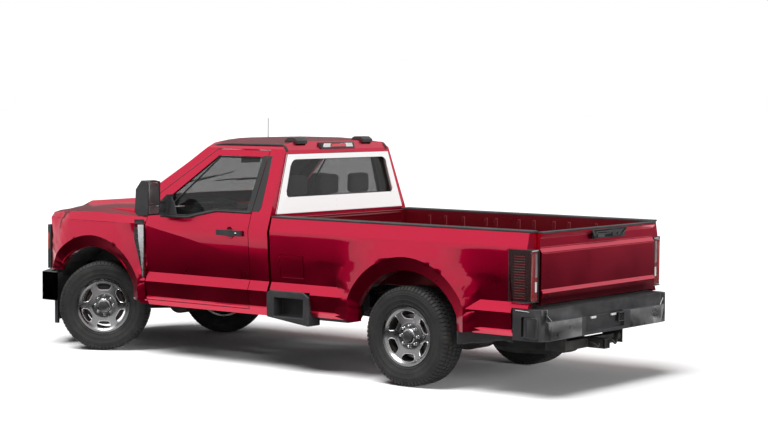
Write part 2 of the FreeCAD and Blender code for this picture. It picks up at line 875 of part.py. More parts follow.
WINDSHIELD = ("windshield_low_half", "windshield_open_z", "windshield_top_half", "windshield_open_top_z")
REAR_WINDOW = ("rear_glass_low_y", "rear_glass_low_z", "rear_glass_top_y", "rear_glass_top_z")


def cab():
    """The hollow cab shell, its windows, and the panel round the rear window."""
    outer = cab_envelope("cab_outer")
    ROOF_SEAT.append(outer)
    inner = cab_envelope("cab_inner", wall=True)
    side = "body_half + overrun"
    tunnel = box("under_floor", ("cab_rear_x - overrun", "cowl_front_x + overrun"), ("-rocker_inner_y", "rocker_inner_y"), ("rocker_z - overrun", "cab_floor_z"))
    openings = prism("door_openings", "XZ_Plane", door_outline("panel_gap"), f"-({side})", side)
    front = prism("windshield_opening", "YZ_Plane", screen_outline(*WINDSHIELD), "roof_front_x - cab_wall", "cowl_front_x + overrun")
    back = prism("rear_window_opening", "YZ_Plane", screen_outline(*REAR_WINDOW), "cab_rear_x - overrun", "roof_rear_x + rear_wall")
    hinge_pillar = box(
        "fender_space",
        ("door_front_x", "cowl_front_x + overrun"),
        ("body_half - pillar_recess", side),
        ("rocker_z - overrun", "cowl_low_z + panel_gap"),
    )
    fender_seat = box(
        "fender_top_space",
        ("door_front_x", "cowl_front_x + overrun"),
        ("hood_half", side),
        ("fender_top_z - overrun", "cowl_low_z + panel_gap"),
    )
    cowl_side = box(
        "cowl_side_space",
        ("firewall_x + panel_gap", "cowl_front_x + overrun"),
        ("hood_half", side),
        ("cowl_low_z - overrun", "cowl_z + overrun"),
    )
    spaces = fuse("front_corner_spaces", [hinge_pillar, fender_seat, cowl_side])
    solid = cut("cab_solid", outer, inner, tunnel, openings, front, back, spaces, mirror("front_corner_spaces_right", spaces))
    leaves = []
    for level in ("low", "high"):
        leaf = box(
            f"hinge_leaf_{level}",
            ("door_front_x + panel_gap / 2 - hinge_leaf / 2", "door_front_x + panel_gap + hinge_play"),
            ("body_half - pillar_recess - overrun", "body_half - pillar_recess + panel_gap / 2"),
            (f"door_hinge_{level}_z", f"door_hinge_{level}_z + door_hinge_length"),
        )
        reach = box(
            f"hinge_reach_{level}",
            ("door_front_x + panel_gap / 2 - hinge_leaf / 2", "door_front_x + panel_gap / 2 + hinge_leaf / 2"),
            ("body_half - pillar_recess", "body_half - door_hinge_in - panel_gap / 2"),
            (f"door_hinge_{level}_z", f"door_hinge_{level}_z + door_hinge_length"),
        )
        leaves += [leaf, reach]
    hood_seat = box(
        "hood_hinge_seat",
        ("cowl_front_x - overrun", "cowl_front_x"),
        ("hood_hinge_y - hood_hinge_half", "hood_hinge_y + hood_hinge_half"),
        ("cowl_low_z + overrun / 2", "hood_hinge_z + hinge_leaf"),
    )
    leaves.append(hood_seat)
    leaves += [mirror(leaf.Name + "_right", leaf) for leaf in leaves]
    node("cab_shell", weld("cab_with_hinges", solid, leaves))

    pane = prism("windshield_pane", "YZ_Plane", screen_outline(*WINDSHIELD), "roof_front_x - cab_wall", "cowl_front_x + overrun")
    screen = windshield_block("windshield_front")
    behind = windshield_block("windshield_behind", "glass_thickness")
    node("windshield", common("windshield_glass", [cut("windshield_sheet", screen, behind), pane]))

    glass_depth = ("rear_wall / 2", "rear_wall / 2 + glass_thickness")
    slab = prism("rear_pane", "XZ_Plane", leaning_sheet(*glass_depth), "-rear_glass_low_y", "rear_glass_low_y")
    edge = prism("rear_pane_edge", "YZ_Plane", screen_outline(*REAR_WINDOW), "cab_rear_x - overrun", "roof_rear_x + rear_wall")
    node("rear_window", common("rear_glass", [slab, edge]))

    wide = screen_outline("surround_low_y", "surround_low_z", "surround_top_y", "surround_top_z")
    plate = prism("surround_sheet", "XZ_Plane", leaning_sheet("-surround_thickness", "0"), "-surround_low_y", "surround_low_y")
    edge = prism("surround_edge", "YZ_Plane", wide, "cab_rear_x - overrun", "roof_rear_x")
    hole = prism("surround_hole", "YZ_Plane", screen_outline(*REAR_WINDOW), "cab_rear_x - overrun", "roof_rear_x + overrun")
    node("rear_window_surround", cut("surround", common("surround_plate", [plate, edge]), hole))


def doors():
    """Each door as a thick panel with a window frame, and its glass."""
    outer = cab_envelope("door_skin")
    side = "body_half + overrun"
    edge = prism("door_edge", "XZ_Plane", door_outline(), "0", side)
    lower_inner = [("0", "rocker_z")]
    lower_inner += [(f"{y} - door_thickness", z) for y, z in side_section()[:-1]]
    lower_inner += [("belt_y - door_thickness", "belt_z"), ("belt_y - frame_thickness", "belt_z")]
    lower_inner += [("drip_y - frame_thickness", "drip_z"), ("0", "drip_z")]
    inside = prism("door_inside", "YZ_Plane", lower_inner, "cab_rear_x - overrun", "cowl_front_x + overrun")
    opening = prism("window_opening", "XZ_Plane", window_outline(), "0", side)
    panel = cut("door_panel", common("door_block", [outer, edge]), inside, opening)
    hinges = []
    for level in ("low", "high"):
        low = f"door_hinge_{level}_z"
        start = ("door_front_x + panel_gap / 2", "body_half - door_hinge_in", low)
        hinges.append(rod(f"hinge_barrel_{level}", "panel_gap / 2 - hinge_play", start, f"{low} + door_hinge_length", "z"))
        root = box(
            f"hinge_root_{level}",
            ("door_front_x - panel_gap", "door_front_x + panel_gap / 2"),
            ("body_half - door_hinge_in - hinge_leaf / 2", "body_half - door_hinge_in + hinge_leaf / 2"),
            (low, f"{low} + door_hinge_length"),
        )
        hinges.append(root)
    left = weld("door_with_hinges", panel, hinges)
    node("door_left", left)
    node("door_right", mirror("door_panel_right", left))

    low_y, high_y = "belt_y - frame_thickness / 2", "drip_y - frame_thickness / 2"
    sheet = [
        (f"{low_y} + (belt_z - window_dip_z) * (belt_y - drip_y) / (drip_z - belt_z)", "window_dip_z"),
        (high_y, "drip_z"),
        (f"{high_y} - door_glass_thickness", "drip_z"),
        (f"{low_y} + (belt_z - window_dip_z) * (belt_y - drip_y) / (drip_z - belt_z) - door_glass_thickness", "window_dip_z"),
    ]
    pane = prism("door_pane", "YZ_Plane", sheet, "door_rear_x", "door_front_x")
    shape = prism("door_pane_edge", "XZ_Plane", window_outline(), "0", side)
    sail = box(
        "mirror_sail_space",
        ("mirror_arm_x - overrun - seat_gap", "door_front_x"),
        ("0", side),
        ("window_dip_z - overrun", "drip_z"),
    )
    glass = cut("door_glass", common("door_glass_whole", [pane, shape]), sail)
    node("door_glass_left", glass)
    node("door_glass_right", mirror("door_glass_right_copy", glass))


def front_plan(front_x, quarter_x, quarter_y, side_x, side_y, rear_x, depth="0"):
    """Corners of a bowed front piece seen from above, round its front and back at a depth."""
    return [
        (rear_x, f"-({side_y} - {depth})"),
        (f"{side_x} - {depth} / 2", f"-({side_y} - {depth})"),
        (f"{quarter_x} - {depth}", f"-{quarter_y}"),
        (f"{front_x} - {depth}", f"-{quarter_y} / 3"),
        (f"{front_x} - {depth}", f"{quarter_y} / 3"),
        (f"{quarter_x} - {depth}", quarter_y),
        (f"{side_x} - {depth} / 2", f"{side_y} - {depth}"),
        (rear_x, f"{side_y} - {depth}"),
    ]


def flare(name, axle_x, arch_radius, low_z):
    """The swollen panel round a wheel arch: its lip leans in to the arch and its outside fades into the body."""
    section = [(evaluated(y), evaluated(height)) for y, height in side_section()]
    centre_x, centre_z, proud = size(axle_x), size("axle_height"), size("flare_proud")
    lip, arch, over = size("flare_radius"), size(arch_radius), size("overrun")
    low = size(low_z) - centre_z
    inner_y = size("body_half") - size("flare_depth")
    corner = size("body_half") - size("fender_corner_y")
    lip_reach = size("arch_half_length") + size("lip_width")
    start = arch - over
    lean = (size("flare_tuck") + proud) * (lip - start) / (lip - arch)

    def skin_y(z):
        for (low_y, below), (high_y, above) in zip(section, section[1:]):
            if z <= above:
                return low_y + (high_y - low_y) * max(0, z - below) / (above - below)
        return section[-1][0]

    def place(x, y, z):
        taper = (centre_x + x - size("bumper_side_x")) / (size("fender_front_x") - size("bumper_side_x"))
        return Vector(centre_x + x, y - corner * max(0, taper), centre_z + z)

    def held(x, most):
        return max(-most, min(most, x))

    lowest = math.acos(low / lip)
    rows = []
    for i in range(FLARE_FACETS + 1):
        turn = lowest * (2 * i / FLARE_FACETS - 1)
        across, up = math.sin(turn), math.cos(turn)
        fade = min(size("flare_fade"), (size("crease_z") - centre_z) / up)
        fade_x, fade_z = held(fade * across, lip_reach + size("flare_run")), max(fade * up, low)
        lip_y = size("body_half") + proud * up
        start_x, start_z = held(start * across, size("arch_half_length") - over / 2), max(start * up, low)
        fade_y = skin_y(centre_z + fade_z) - size("crease_in") * 2
        rows.append(
            [
                place(start_x, inner_y, start_z),
                place(start_x, lip_y - lean, start_z),
                place(held(lip * across, lip_reach), lip_y, lip * up),
                place(fade_x, fade_y, fade_z),
                place(fade_x, inner_y, fade_z),
            ]
        )
    rings = []
    for row, following in zip(rows, rows[1:]):
        for j, corner_point in enumerate(row):
            k = (j + 1) % len(row)
            rings += [[corner_point, row[k], following[k]], [corner_point, following[k], following[j]]]
    for row in (rows[0], rows[-1]):
        rings += [[row[0], row[j], row[j + 1]] for j in range(1, len(row) - 1)]
    band = Part.makeSolid(Part.makeShell([Part.Face(Part.makePolygon(ring + ring[:1])) for ring in rings]))
    if band.Volume < 0:
        band.reverse()
    return feature(name, band)


def fender():
    """A front fender, lofted forward from the door with its shoulder falling to the lamp, and its flare."""
    wall, gap = size("fender_wall"), size("panel_gap")
    edge_y = size("hood_half") + gap
    stations = [
        (size("door_front_x") + 2 * gap, 0, size("fender_top_z") + size("crease_in") * 10),
        (size("front_axle_x"), 0, size("fender_top_z") + size("fender_wall")),
        (size("bumper_side_x"), size("crease_in"), size("fender_top_z") + size("hood_thickness") / 2),
        (size("fender_front_x"), size("body_half") - size("fender_corner_y"), size("fender_top_z")),
    ]
    wires = []
    for x, taper, top in stations:
        half = size("body_half") - taper
        outer = [
            (half - size("sill_in") + size("accent_in"), size("fender_low_z")),
            (half - size("accent_in"), size("accent_z")),
            (half, size("ledge_low_z")),
            (half - size("ledge_in"), size("ledge_top_z")),
            (half - size("waist_in"), size("waist_z")),
            (half - size("crease_in"), size("crease_z")),
            (half - size("fender_wall"), (size("crease_z") + 3 * top) / 4),
            (edge_y, top),
        ]
        inner = [(edge_y, top - wall)]
        inner += [(y - wall, min(z, top - wall)) for y, z in reversed(outer[:-1])]
        points = [Vector(x, y, z) for y, z in outer + inner]
        wires.append(Part.makePolygon(points + points[:1]))
    skin = feature("fender_skin", Part.makeLoft(wires, True, True))
    reach = Part.makeBox(
        size("fender_front_x") - size("door_front_x") - 2 * gap,
        size("body_half"),
        size("hood_rear_z"),
        Vector(size("door_front_x") + 2 * gap, size("apron_y"), 0),
    )
    swollen = flare("front_flare_whole", "front_axle_x", "front_arch_radius", "fender_low_z")
    swollen = feature("front_flare", swollen.Shape.common(reach))
    seat = rod("front_flare_seat", "flare_radius", ("front_axle_x", "body_half - flare_depth", "axle_height"), "body_half + overrun")
    whole = fuse("fender_whole", [cut("fender_skin_open", skin, seat), swollen])
    round_arch = rod("front_round_arch", "front_arch_radius", ("front_axle_x", "apron_y", "axle_height"), "body_half + overrun")
    arch_length = box(
        "front_arch_length",
        ("front_axle_x - arch_half_length", "front_axle_x + front_arch_lead"),
        ("apron_y - overrun", "body_half + 2 * overrun"),
        ("axle_height - front_arch_radius", "axle_height + front_arch_radius"),
    )
    arch = common("front_arch", [round_arch, arch_length])
    below = box(
        "bumper_space",
        ("front_axle_x", "fender_front_x + overrun"),
        ("apron_y", "body_half + overrun"),
        ("fender_low_z - overrun", "lamp_low_z"),
    )
    door = box("door_space", ("door_front_x - overrun", "door_front_x + panel_gap"), ("apron_y", "body_half + overrun"), ("fender_low_z", "belt_z"))
    liner_high = rod("liner_solid", "liner_radius", ("front_axle_x", "apron_y", "axle_height"), "body_half - fender_wall / 2")
    liner_low = rod("liner_space", "liner_radius - liner_wall", ("front_axle_x", "apron_y + apron_wall", "axle_height"), "body_half + overrun")
    lower = box(
        "liner_below",
        ("front_axle_x - front_arch_radius - overrun", "front_axle_x + front_arch_radius + overrun"),
        ("apron_y - overrun", "body_half + overrun"),
        ("axle_height - liner_radius - overrun", "coil_top_z + rail_wall + panel_gap"),
    )
    liner = cut("wheel_liner", liner_high, liner_low, lower)
    mount = box(
        "fender_mount",
        ("door_front_x + overrun", "firewall_x - overrun"),
        ("body_half - pillar_recess + seat_gap", "body_half - fender_wall + overrun / 4"),
        ("crease_z - 2 * overrun", "crease_z - overrun"),
    )
    sides = fuse("fender_and_liner", [cut("fender_cut", whole, arch, below, door), liner, mount])
    node("front_fenders", pair("front_fender_pair", sides))


def hood():
    """The hood, lofted from the cowl over the raised middle down to the nose, hinged at the cowl."""
    half, bulge = size("hood_half"), size("bulge_half")
    stations = [
        ("hood_rear_x", "hood_rear_z"),
        ("hood_middle_x", "hood_middle_z"),
        ("hood_front_x", "hood_front_z"),
        ("hood_nose_x", "hood_nose_z"),
    ]
    wires = []
    for i, (x_name, top_name) in enumerate(stations):
        top = size(top_name)
        nose = i == len(stations) - 1
        drop = size("bulge_drop") * (NOSE_BULGE_SHARE if nose else 1)
        side_top = top - size("hood_side_drop") * (NOSE_BULGE_SHARE if nose else 1)
        depth = size("hood_thickness")
        outer = [
            (half, side_top),
            ((half + bulge) / 2, top - drop - size("bulge_drop") / 2),
            (bulge + size("bulge_drop"), top - drop),
            (bulge, top),
            (0, top + size("crease_in")),
        ]
        outer = outer + [(-y, z) for y, z in reversed(outer[:-1])]
        inner = [(y, z - depth) for y, z in reversed(outer)]
        points = [Vector(size(x_name), y, z) for y, z in outer + inner]
        wires.append(Part.makePolygon(points + points[:1]))
    loft = feature("hood_loft", Part.makeLoft(wires, True, True))
    plan = front_plan("hood_nose_x", "nose_quarter_x - panel_gap", "nose_quarter_y", "nose_side_x - overrun", "hood_half", "hood_rear_x")
    edge = prism("hood_plan", "XY_Plane", plan, "grille_low_z", "roof_crown_z")
    hinges = []
    for i, sign in enumerate(("", "-"), 1):
        y = f"({sign}hood_hinge_y)"
        limits = (f"{y} - hood_hinge_half", f"{y} + hood_hinge_half")
        play = "(hood_rear_x - cowl_front_x) / 2 - hinge_play"
        hinges.append(rod(f"hood_barrel_{i}", play, ("hood_hinge_x", limits[0], "hood_hinge_z"), limits[1]))
        height = ("hood_hinge_z - hinge_leaf", "hood_hinge_z + hinge_leaf")
        hinges.append(box(f"hood_hinge_root_{i}", ("hood_hinge_x", "hood_rear_x + overrun"), limits, height))
    node("hood", weld("hood_with_hinges", common("hood_panel", [loft, edge]), hinges))


def nose():
    """The grille with its bars, and the tall lamps that wrap the front corners."""
    front = ("nose_face_x", "nose_quarter_x", "nose_quarter_y", "nose_side_x", "fender_corner_y")
    rear_x = "nose_side_x - nose_depth"
    solid = prism("grille_solid", "XY_Plane", front_plan(*front, rear_x), "grille_low_z", "grille_top_z")
    within = box("grille_width", ("nose_side_x", "nose_face_x + overrun"), ("-grille_half", "grille_half"), ("grille_low_z", "grille_top_z"))
    hollow = prism("grille_back", "XY_Plane", front_plan(*front, rear_x, "grille_frame"), "grille_low_z - overrun", "grille_top_z + overrun")
    window = box(
        "grille_window",
        ("nose_side_x - overrun", "nose_face_x + overrun"),
        ("-(grille_half - grille_frame)", "grille_half - grille_frame"),
        ("grille_low_z + grille_frame", "grille_top_z - grille_frame"),
    )
    shell = common("grille_shell", [solid, within])
    frame = cut("grille_frame_only", shell, hollow, window)
    bars = []
    count = round(size("grille_bars"))
    for i in range(count):
        middle = f"(grille_low_z + grille_frame + (grille_top_z - grille_low_z - 2 * grille_frame) * {2 * i + 1} / {2 * count})"
        limits = (f"{middle} - grille_bar_height / 2", f"{middle} + grille_bar_height / 2")
        bars.append(box(f"grille_bar_{i + 1}", ("nose_side_x", "nose_face_x + overrun"), ("-grille_half", "grille_half"), limits))
    slats = cut("grille_slats", common("grille_bar_shell", [shell, fuse("grille_bar_set", bars)]), hollow)
    node("grille", fuse("grille_whole", [frame, slats]))

    lamp_body = prism("lamp_solid", "XY_Plane", front_plan(*front, rear_x), "lamp_low_z", "lamp_top_z")
    corner = box(
        "lamp_width",
        ("fender_front_x + panel_gap", "nose_face_x + overrun"),
        ("grille_half + panel_gap", "fender_corner_y + overrun"),
        ("lamp_low_z", "lamp_top_z"),
    )
    node("headlamps", pair("headlamp_pair", common("headlamp_left", [lamp_body, corner])))

    core = box(
        "radiator_core",
        ("radiator_x", "radiator_x + radiator_wall"),
        ("-radiator_half", "radiator_half"),
        ("radiator_low_z", "radiator_top_z"),
    )
    beam = box(
        "lamp_beam",
        ("radiator_x", "fender_front_x + panel_gap - seat_gap"),
        ("-(hood_half - panel_gap)", "hood_half - panel_gap"),
        ("lamp_top_z - cross_member_depth / 2", "lamp_top_z"),
    )
    foot = box(
        "radiator_foot",
        ("radiator_x", "radiator_x + radiator_wall"),
        ("radiator_half - overrun", "rail_outer_y - rail_wall"),
        ("rail_front_z + rail_depth + seat_gap", "radiator_low_z + overrun"),
    )
    stay = box(
        "grille_stay",
        ("radiator_x", "nose_face_x - grille_frame - seat_gap"),
        ("-nose_quarter_y / 3", "nose_quarter_y / 3"),
        ("grille_top_z - grille_frame", "lamp_top_z"),
    )
    node("radiator", fuse("radiator_and_beam", [core, beam, stay, foot, mirror("radiator_foot_right", foot)]))


def front_bumper():
    """The bowed front bumper with the air dam under it and its two frame horns."""
    bar = ("front_reach", "bumper_quarter_x", "bumper_quarter_y", "bumper_corner_x", "bumper_half")
    outer_plan = front_plan(*bar, "bumper_side_x")
    outer = prism("bumper_outer", "XY_Plane", outer_plan, "bumper_low_z", "bumper_top_z")
    inner = prism("bumper_inner", "XY_Plane", front_plan(*bar, "bumper_side_x - overrun", "bumper_wall"), "bumper_low_z - overrun", "bumper_top_z + overrun")
    shell = cut("bumper_shell", outer, inner)
    dam = ("dam_front_x", "dam_quarter_x", "bumper_quarter_y", "dam_side_x", "dam_half")
    dam_outer = prism("dam_outer", "XY_Plane", front_plan(*dam, "dam_side_x - overrun"), "dam_low_z", "bumper_low_z + overrun")
    dam_inner = prism("dam_inner", "XY_Plane", front_plan(*dam, "dam_side_x - 2 * overrun", "dam_wall"), "dam_low_z - overrun", "bumper_low_z")
    horn = box(
        "bumper_horn",
        ("rail_front_x + seat_gap", "bumper_quarter_x - bumper_wall / 2"),
        ("rail_outer_y - rail_width", "rail_outer_y"),
        ("rail_front_z", "bumper_top_z"),
    )
    horns = [horn, mirror("bumper_horn_right", horn)]
    node("front_bumper", fuse("front_bumper_whole", [shell, cut("air_dam", dam_outer, dam_inner), *horns]))


def bed():
    """The bed's ribbed floor, front wall and wheelhouses, its sides, caps and lamps."""
    floor_low = "bed_floor_z - bed_floor_wall"
    floor = box("floor_plate", ("bed_floor_rear_x", "bed_front_x"), ("-bed_inner_half", "bed_inner_half"), (floor_low, "bed_floor_z"))
    wall = box("front_wall", ("bed_front_x - bed_front_wall", "bed_front_x"), ("-bed_wall_half", "bed_wall_half"), (floor_low, "rail_z"))
    pieces = [floor, wall]
    count = round(size("bed_ribs"))
    for i in range(count):
        middle = f"(wheelhouse_inner_y * 2 * ({i} + 0.5 - {count} / 2) / {count})"
        limits = (f"{middle} - bed_rib_width / 2", f"{middle} + bed_rib_width / 2")
        pieces.append(box(f"floor_rib_{i + 1}", ("bed_floor_rear_x", "bed_front_x"), limits, (floor_low, "bed_floor_z + bed_rib_height")))
    house = [
        ("rear_axle_x - wheelhouse_half_length", floor_low),
        ("rear_axle_x + wheelhouse_half_length", floor_low),
        ("rear_axle_x + wheelhouse_half_length", "wheelhouse_top_z - wheelhouse_shoulder"),
        ("rear_axle_x + wheelhouse_half_length - wheelhouse_shoulder", "wheelhouse_top_z"),
        ("rear_axle_x - wheelhouse_half_length + wheelhouse_shoulder", "wheelhouse_top_z"),
        ("rear_axle_x - wheelhouse_half_length", "wheelhouse_top_z - wheelhouse_shoulder"),
    ]
    well = [
        (f"rear_axle_x + ({x} - rear_axle_x) * (wheelhouse_half_length - wheelhouse_wall) / wheelhouse_half_length", f"{z} - wheelhouse_wall")
        for x, z in house
    ]
    outer = prism("wheelhouse_outer", "XZ_Plane", house, "wheelhouse_inner_y", "bed_inner_half")
    space = prism("wheelhouse_space", "XZ_Plane", well, "wheelhouse_inner_y + wheelhouse_wall", "bed_inner_half + overrun")
    spaces = [space, mirror("wheelhouse_space_right", space)]
    pieces += [outer, mirror("wheelhouse_right", outer)]
    count = round(size("bed_cross_sills"))
    for i in range(count):
        x = f"(bed_front_x - bed_sill_length + (bed_floor_rear_x - bed_front_x + 2 * bed_sill_length) * {i} / {count - 1})"
        ends = (f"{x} - bed_sill_length / 2", f"{x} + bed_sill_length / 2")
        pieces.append(box(f"cross_sill_{i + 1}", ends, ("-wheelhouse_inner_y", "wheelhouse_inner_y"), ("rail_rear_z + rail_depth + seat_gap", "bed_floor_z")))
    node("bed_box", cut("bed_hollow", fuse("bed_pieces", pieces), *spaces))

    outside = side_section()
    inside = [
        ("bed_inner_half", "rail_z"),
        ("bed_inner_half", floor_low),
        ("body_half - ledge_in - bedside_skin", floor_low),
        ("body_half - ledge_in - bedside_skin", "rocker_z"),
    ]
    section = prism("bedside_section", "YZ_Plane", [(y, "bedside_low_z" if z == "rocker_z" else z) for y, z in outside] + inside[:-1] + [(inside[-1][0], "bedside_low_z")], "bedside_rear_x", "bed_front_x")
    flare_seat = rod("rear_flare_seat", "flare_radius", ("rear_axle_x", "body_half - flare_depth", "axle_height"), "body_half + overrun")
    swollen = flare("rear_flare", "rear_axle_x", "rear_arch_radius", "bedside_low_z")
    whole = fuse("bedside_whole", [cut("bedside_skin_open", section, flare_seat), swollen])
    far = "body_half + overrun"
    round_arch = rod("rear_round_arch", "rear_arch_radius", ("rear_axle_x", "wheelhouse_inner_y", "axle_height"), far)
    arch_length = box(
        "rear_arch_length",
        ("rear_axle_x - arch_half_length", "rear_axle_x + arch_half_length"),
        ("wheelhouse_inner_y - overrun", f"{far} + overrun"),
        ("axle_height - rear_arch_radius", "axle_height + rear_arch_radius"),
    )
    arch = common("rear_arch", [round_arch, arch_length])
    front_wall_space = box("front_wall_space", ("bed_front_x - bed_front_wall", "bed_front_x + overrun"), ("bed_inner_half - overrun", "bed_wall_half + seat_gap"), (floor_low, "rail_z + overrun"))
    lamp_space = box(
        "lamp_space",
        ("tail_lamp_rear_x - overrun", "tail_lamp_front_x + seat_gap"),
        ("tail_lamp_inner_y - seat_gap", far),
        ("tail_lamp_low_z - seat_gap", "tail_lamp_top_z + seat_gap"),
    )
    gate_space = box("gate_space", ("tail_lamp_rear_x - overrun", "gate_inner_x + panel_gap"), ("0", "gate_half + panel_gap"), ("bedside_low_z", "rail_z + overrun"))
    gate_swing = box("gate_swing", ("gate_inner_x - overrun", "bed_floor_rear_x"), ("0", "gate_half + panel_gap"), ("bedside_low_z", "gate_hinge_z + overrun"))
    wrap = box("bumper_wrap_space", ("bedside_rear_x - overrun", "bedside_tail_x"), ("bed_inner_half - overrun", far), ("bedside_low_z - overrun", "rear_bumper_top_z + panel_gap"))
    fuel = box("fuel_recess", ("fuel_rear_x - panel_gap", "fuel_front_x + panel_gap"), ("body_half - waist_in - fuel_depth * 2", far), ("fuel_low_z - panel_gap", "fuel_top_z + panel_gap"))
    step = box("step_space", ("step_rear_x - panel_gap", "bed_front_x + overrun"), ("bed_inner_half - overrun", far), ("bedside_low_z - overrun", "step_top_z + seat_gap"))
    spaces = fuse("bedside_spaces", [arch, front_wall_space, lamp_space, gate_space, gate_swing, wrap, step])
    right = mirror("bedside_right", cut("bedside_plain", whole, spaces))
    left = cut("bedside_left", whole, spaces, fuel)
    sides = DOC.addObject("Part::Compound", "bedside_pair")
    sides.Links = [left, right]
    node("bedsides", sides)

    cap = box("rail_cap", ("bed_rear_x", "bed_front_x"), ("rail_half + cap_overhang - cap_width", "rail_half + cap_overhang"), ("rail_z", "rail_z + cap_height"))
    node("bed_rail_caps", pair("rail_cap_pair", cut("rail_cap_left", cap, gate_space)))

    lamp_section = [(y, z) for y, z in outside]
    lamp_hull = prism("tail_lamp_section", "YZ_Plane", [("tail_lamp_inner_y", "rocker_z")] + lamp_section + [("tail_lamp_inner_y", "rail_z")], "tail_lamp_rear_x", "tail_lamp_front_x")
    lamp_band = box("tail_lamp_band", ("tail_lamp_rear_x", "tail_lamp_front_x"), ("tail_lamp_inner_y", far), ("tail_lamp_low_z", "tail_lamp_top_z"))
    node("tail_lamps", pair("tail_lamp_pair", common("tail_lamp_left", [lamp_hull, lamp_band])))

    plate = box(
        "fuel_plate",
        ("fuel_rear_x", "fuel_front_x"),
        ("body_half - waist_in - fuel_depth", far),
        ("fuel_low_z", "fuel_top_z"),
    )
    hinge_x = "(fuel_front_x + panel_gap / 2)"
    barrels = []
    for i, low in enumerate(("fuel_low_z + fuel_hinge_inset * 3", "fuel_top_z - fuel_hinge_inset"), 1):
        start = (hinge_x, "fuel_hinge_y", low)
        barrels.append(rod(f"fuel_barrel_{i}", "panel_gap / 2 - hinge_play", start, f"{low} + fuel_hinge_length", "z"))
        root = box(
            f"fuel_root_{i}",
            ("fuel_front_x - panel_gap", hinge_x),
            ("fuel_hinge_y - 2 * hinge_leaf", "fuel_hinge_y - hinge_leaf"),
            (low, f"{low} + fuel_hinge_length"),
        )
        barrels.append(root)
    node("fuel_door", weld("fuel_door_whole", common("fuel_flap", [plate, section]), barrels))


def tailgate():
    """The tailgate with its lip, shelf and lower ridge, and its dark cap and handle."""
    profile = [
        ("gate_inner_x", "gate_low_z"),
        ("gate_tuck_x", "gate_low_z"),
        ("gate_ridge_x", "gate_ledge_z - bed_rib_height"),
        ("gate_face_x", "gate_ledge_z + bed_rib_height"),
        ("gate_face_x", "gate_shelf_low_z"),
        ("gate_shelf_x", "gate_shelf_z"),
        ("gate_shelf_x", "gate_under_lip_z"),
        ("gate_lip_x", "gate_lip_z"),
        ("gate_lip_x", "gate_top_z - gate_cap_height"),
        ("gate_inner_x", "gate_top_z - gate_cap_height"),
    ]
    panel = prism("gate_panel", "XZ_Plane", profile, "-gate_half", "gate_half")
    reach = "gate_half + panel_gap - hinge_play"
    pins = rod("gate_pins", "gate_pin_radius", ("gate_hinge_x", f"-({reach})", "gate_hinge_z"), reach)
    node("tailgate", fuse("tailgate_whole", [panel, pins]))
    cap = box("gate_cap", ("gate_lip_x", "gate_inner_x"), ("-gate_half", "gate_half"), ("gate_top_z - gate_cap_height", "gate_top_z"))
    handle = box(
        "gate_handle",
        ("gate_shelf_x - handle_proud", "gate_shelf_x"),
        ("handle_right_y", "handle_left_y"),
        ("handle_low_z", "gate_under_lip_z"),
    )
    both = DOC.addObject("Part::Compound", "gate_trim")
    both.Links = [cap, handle]
    node("tailgate_trim", both)


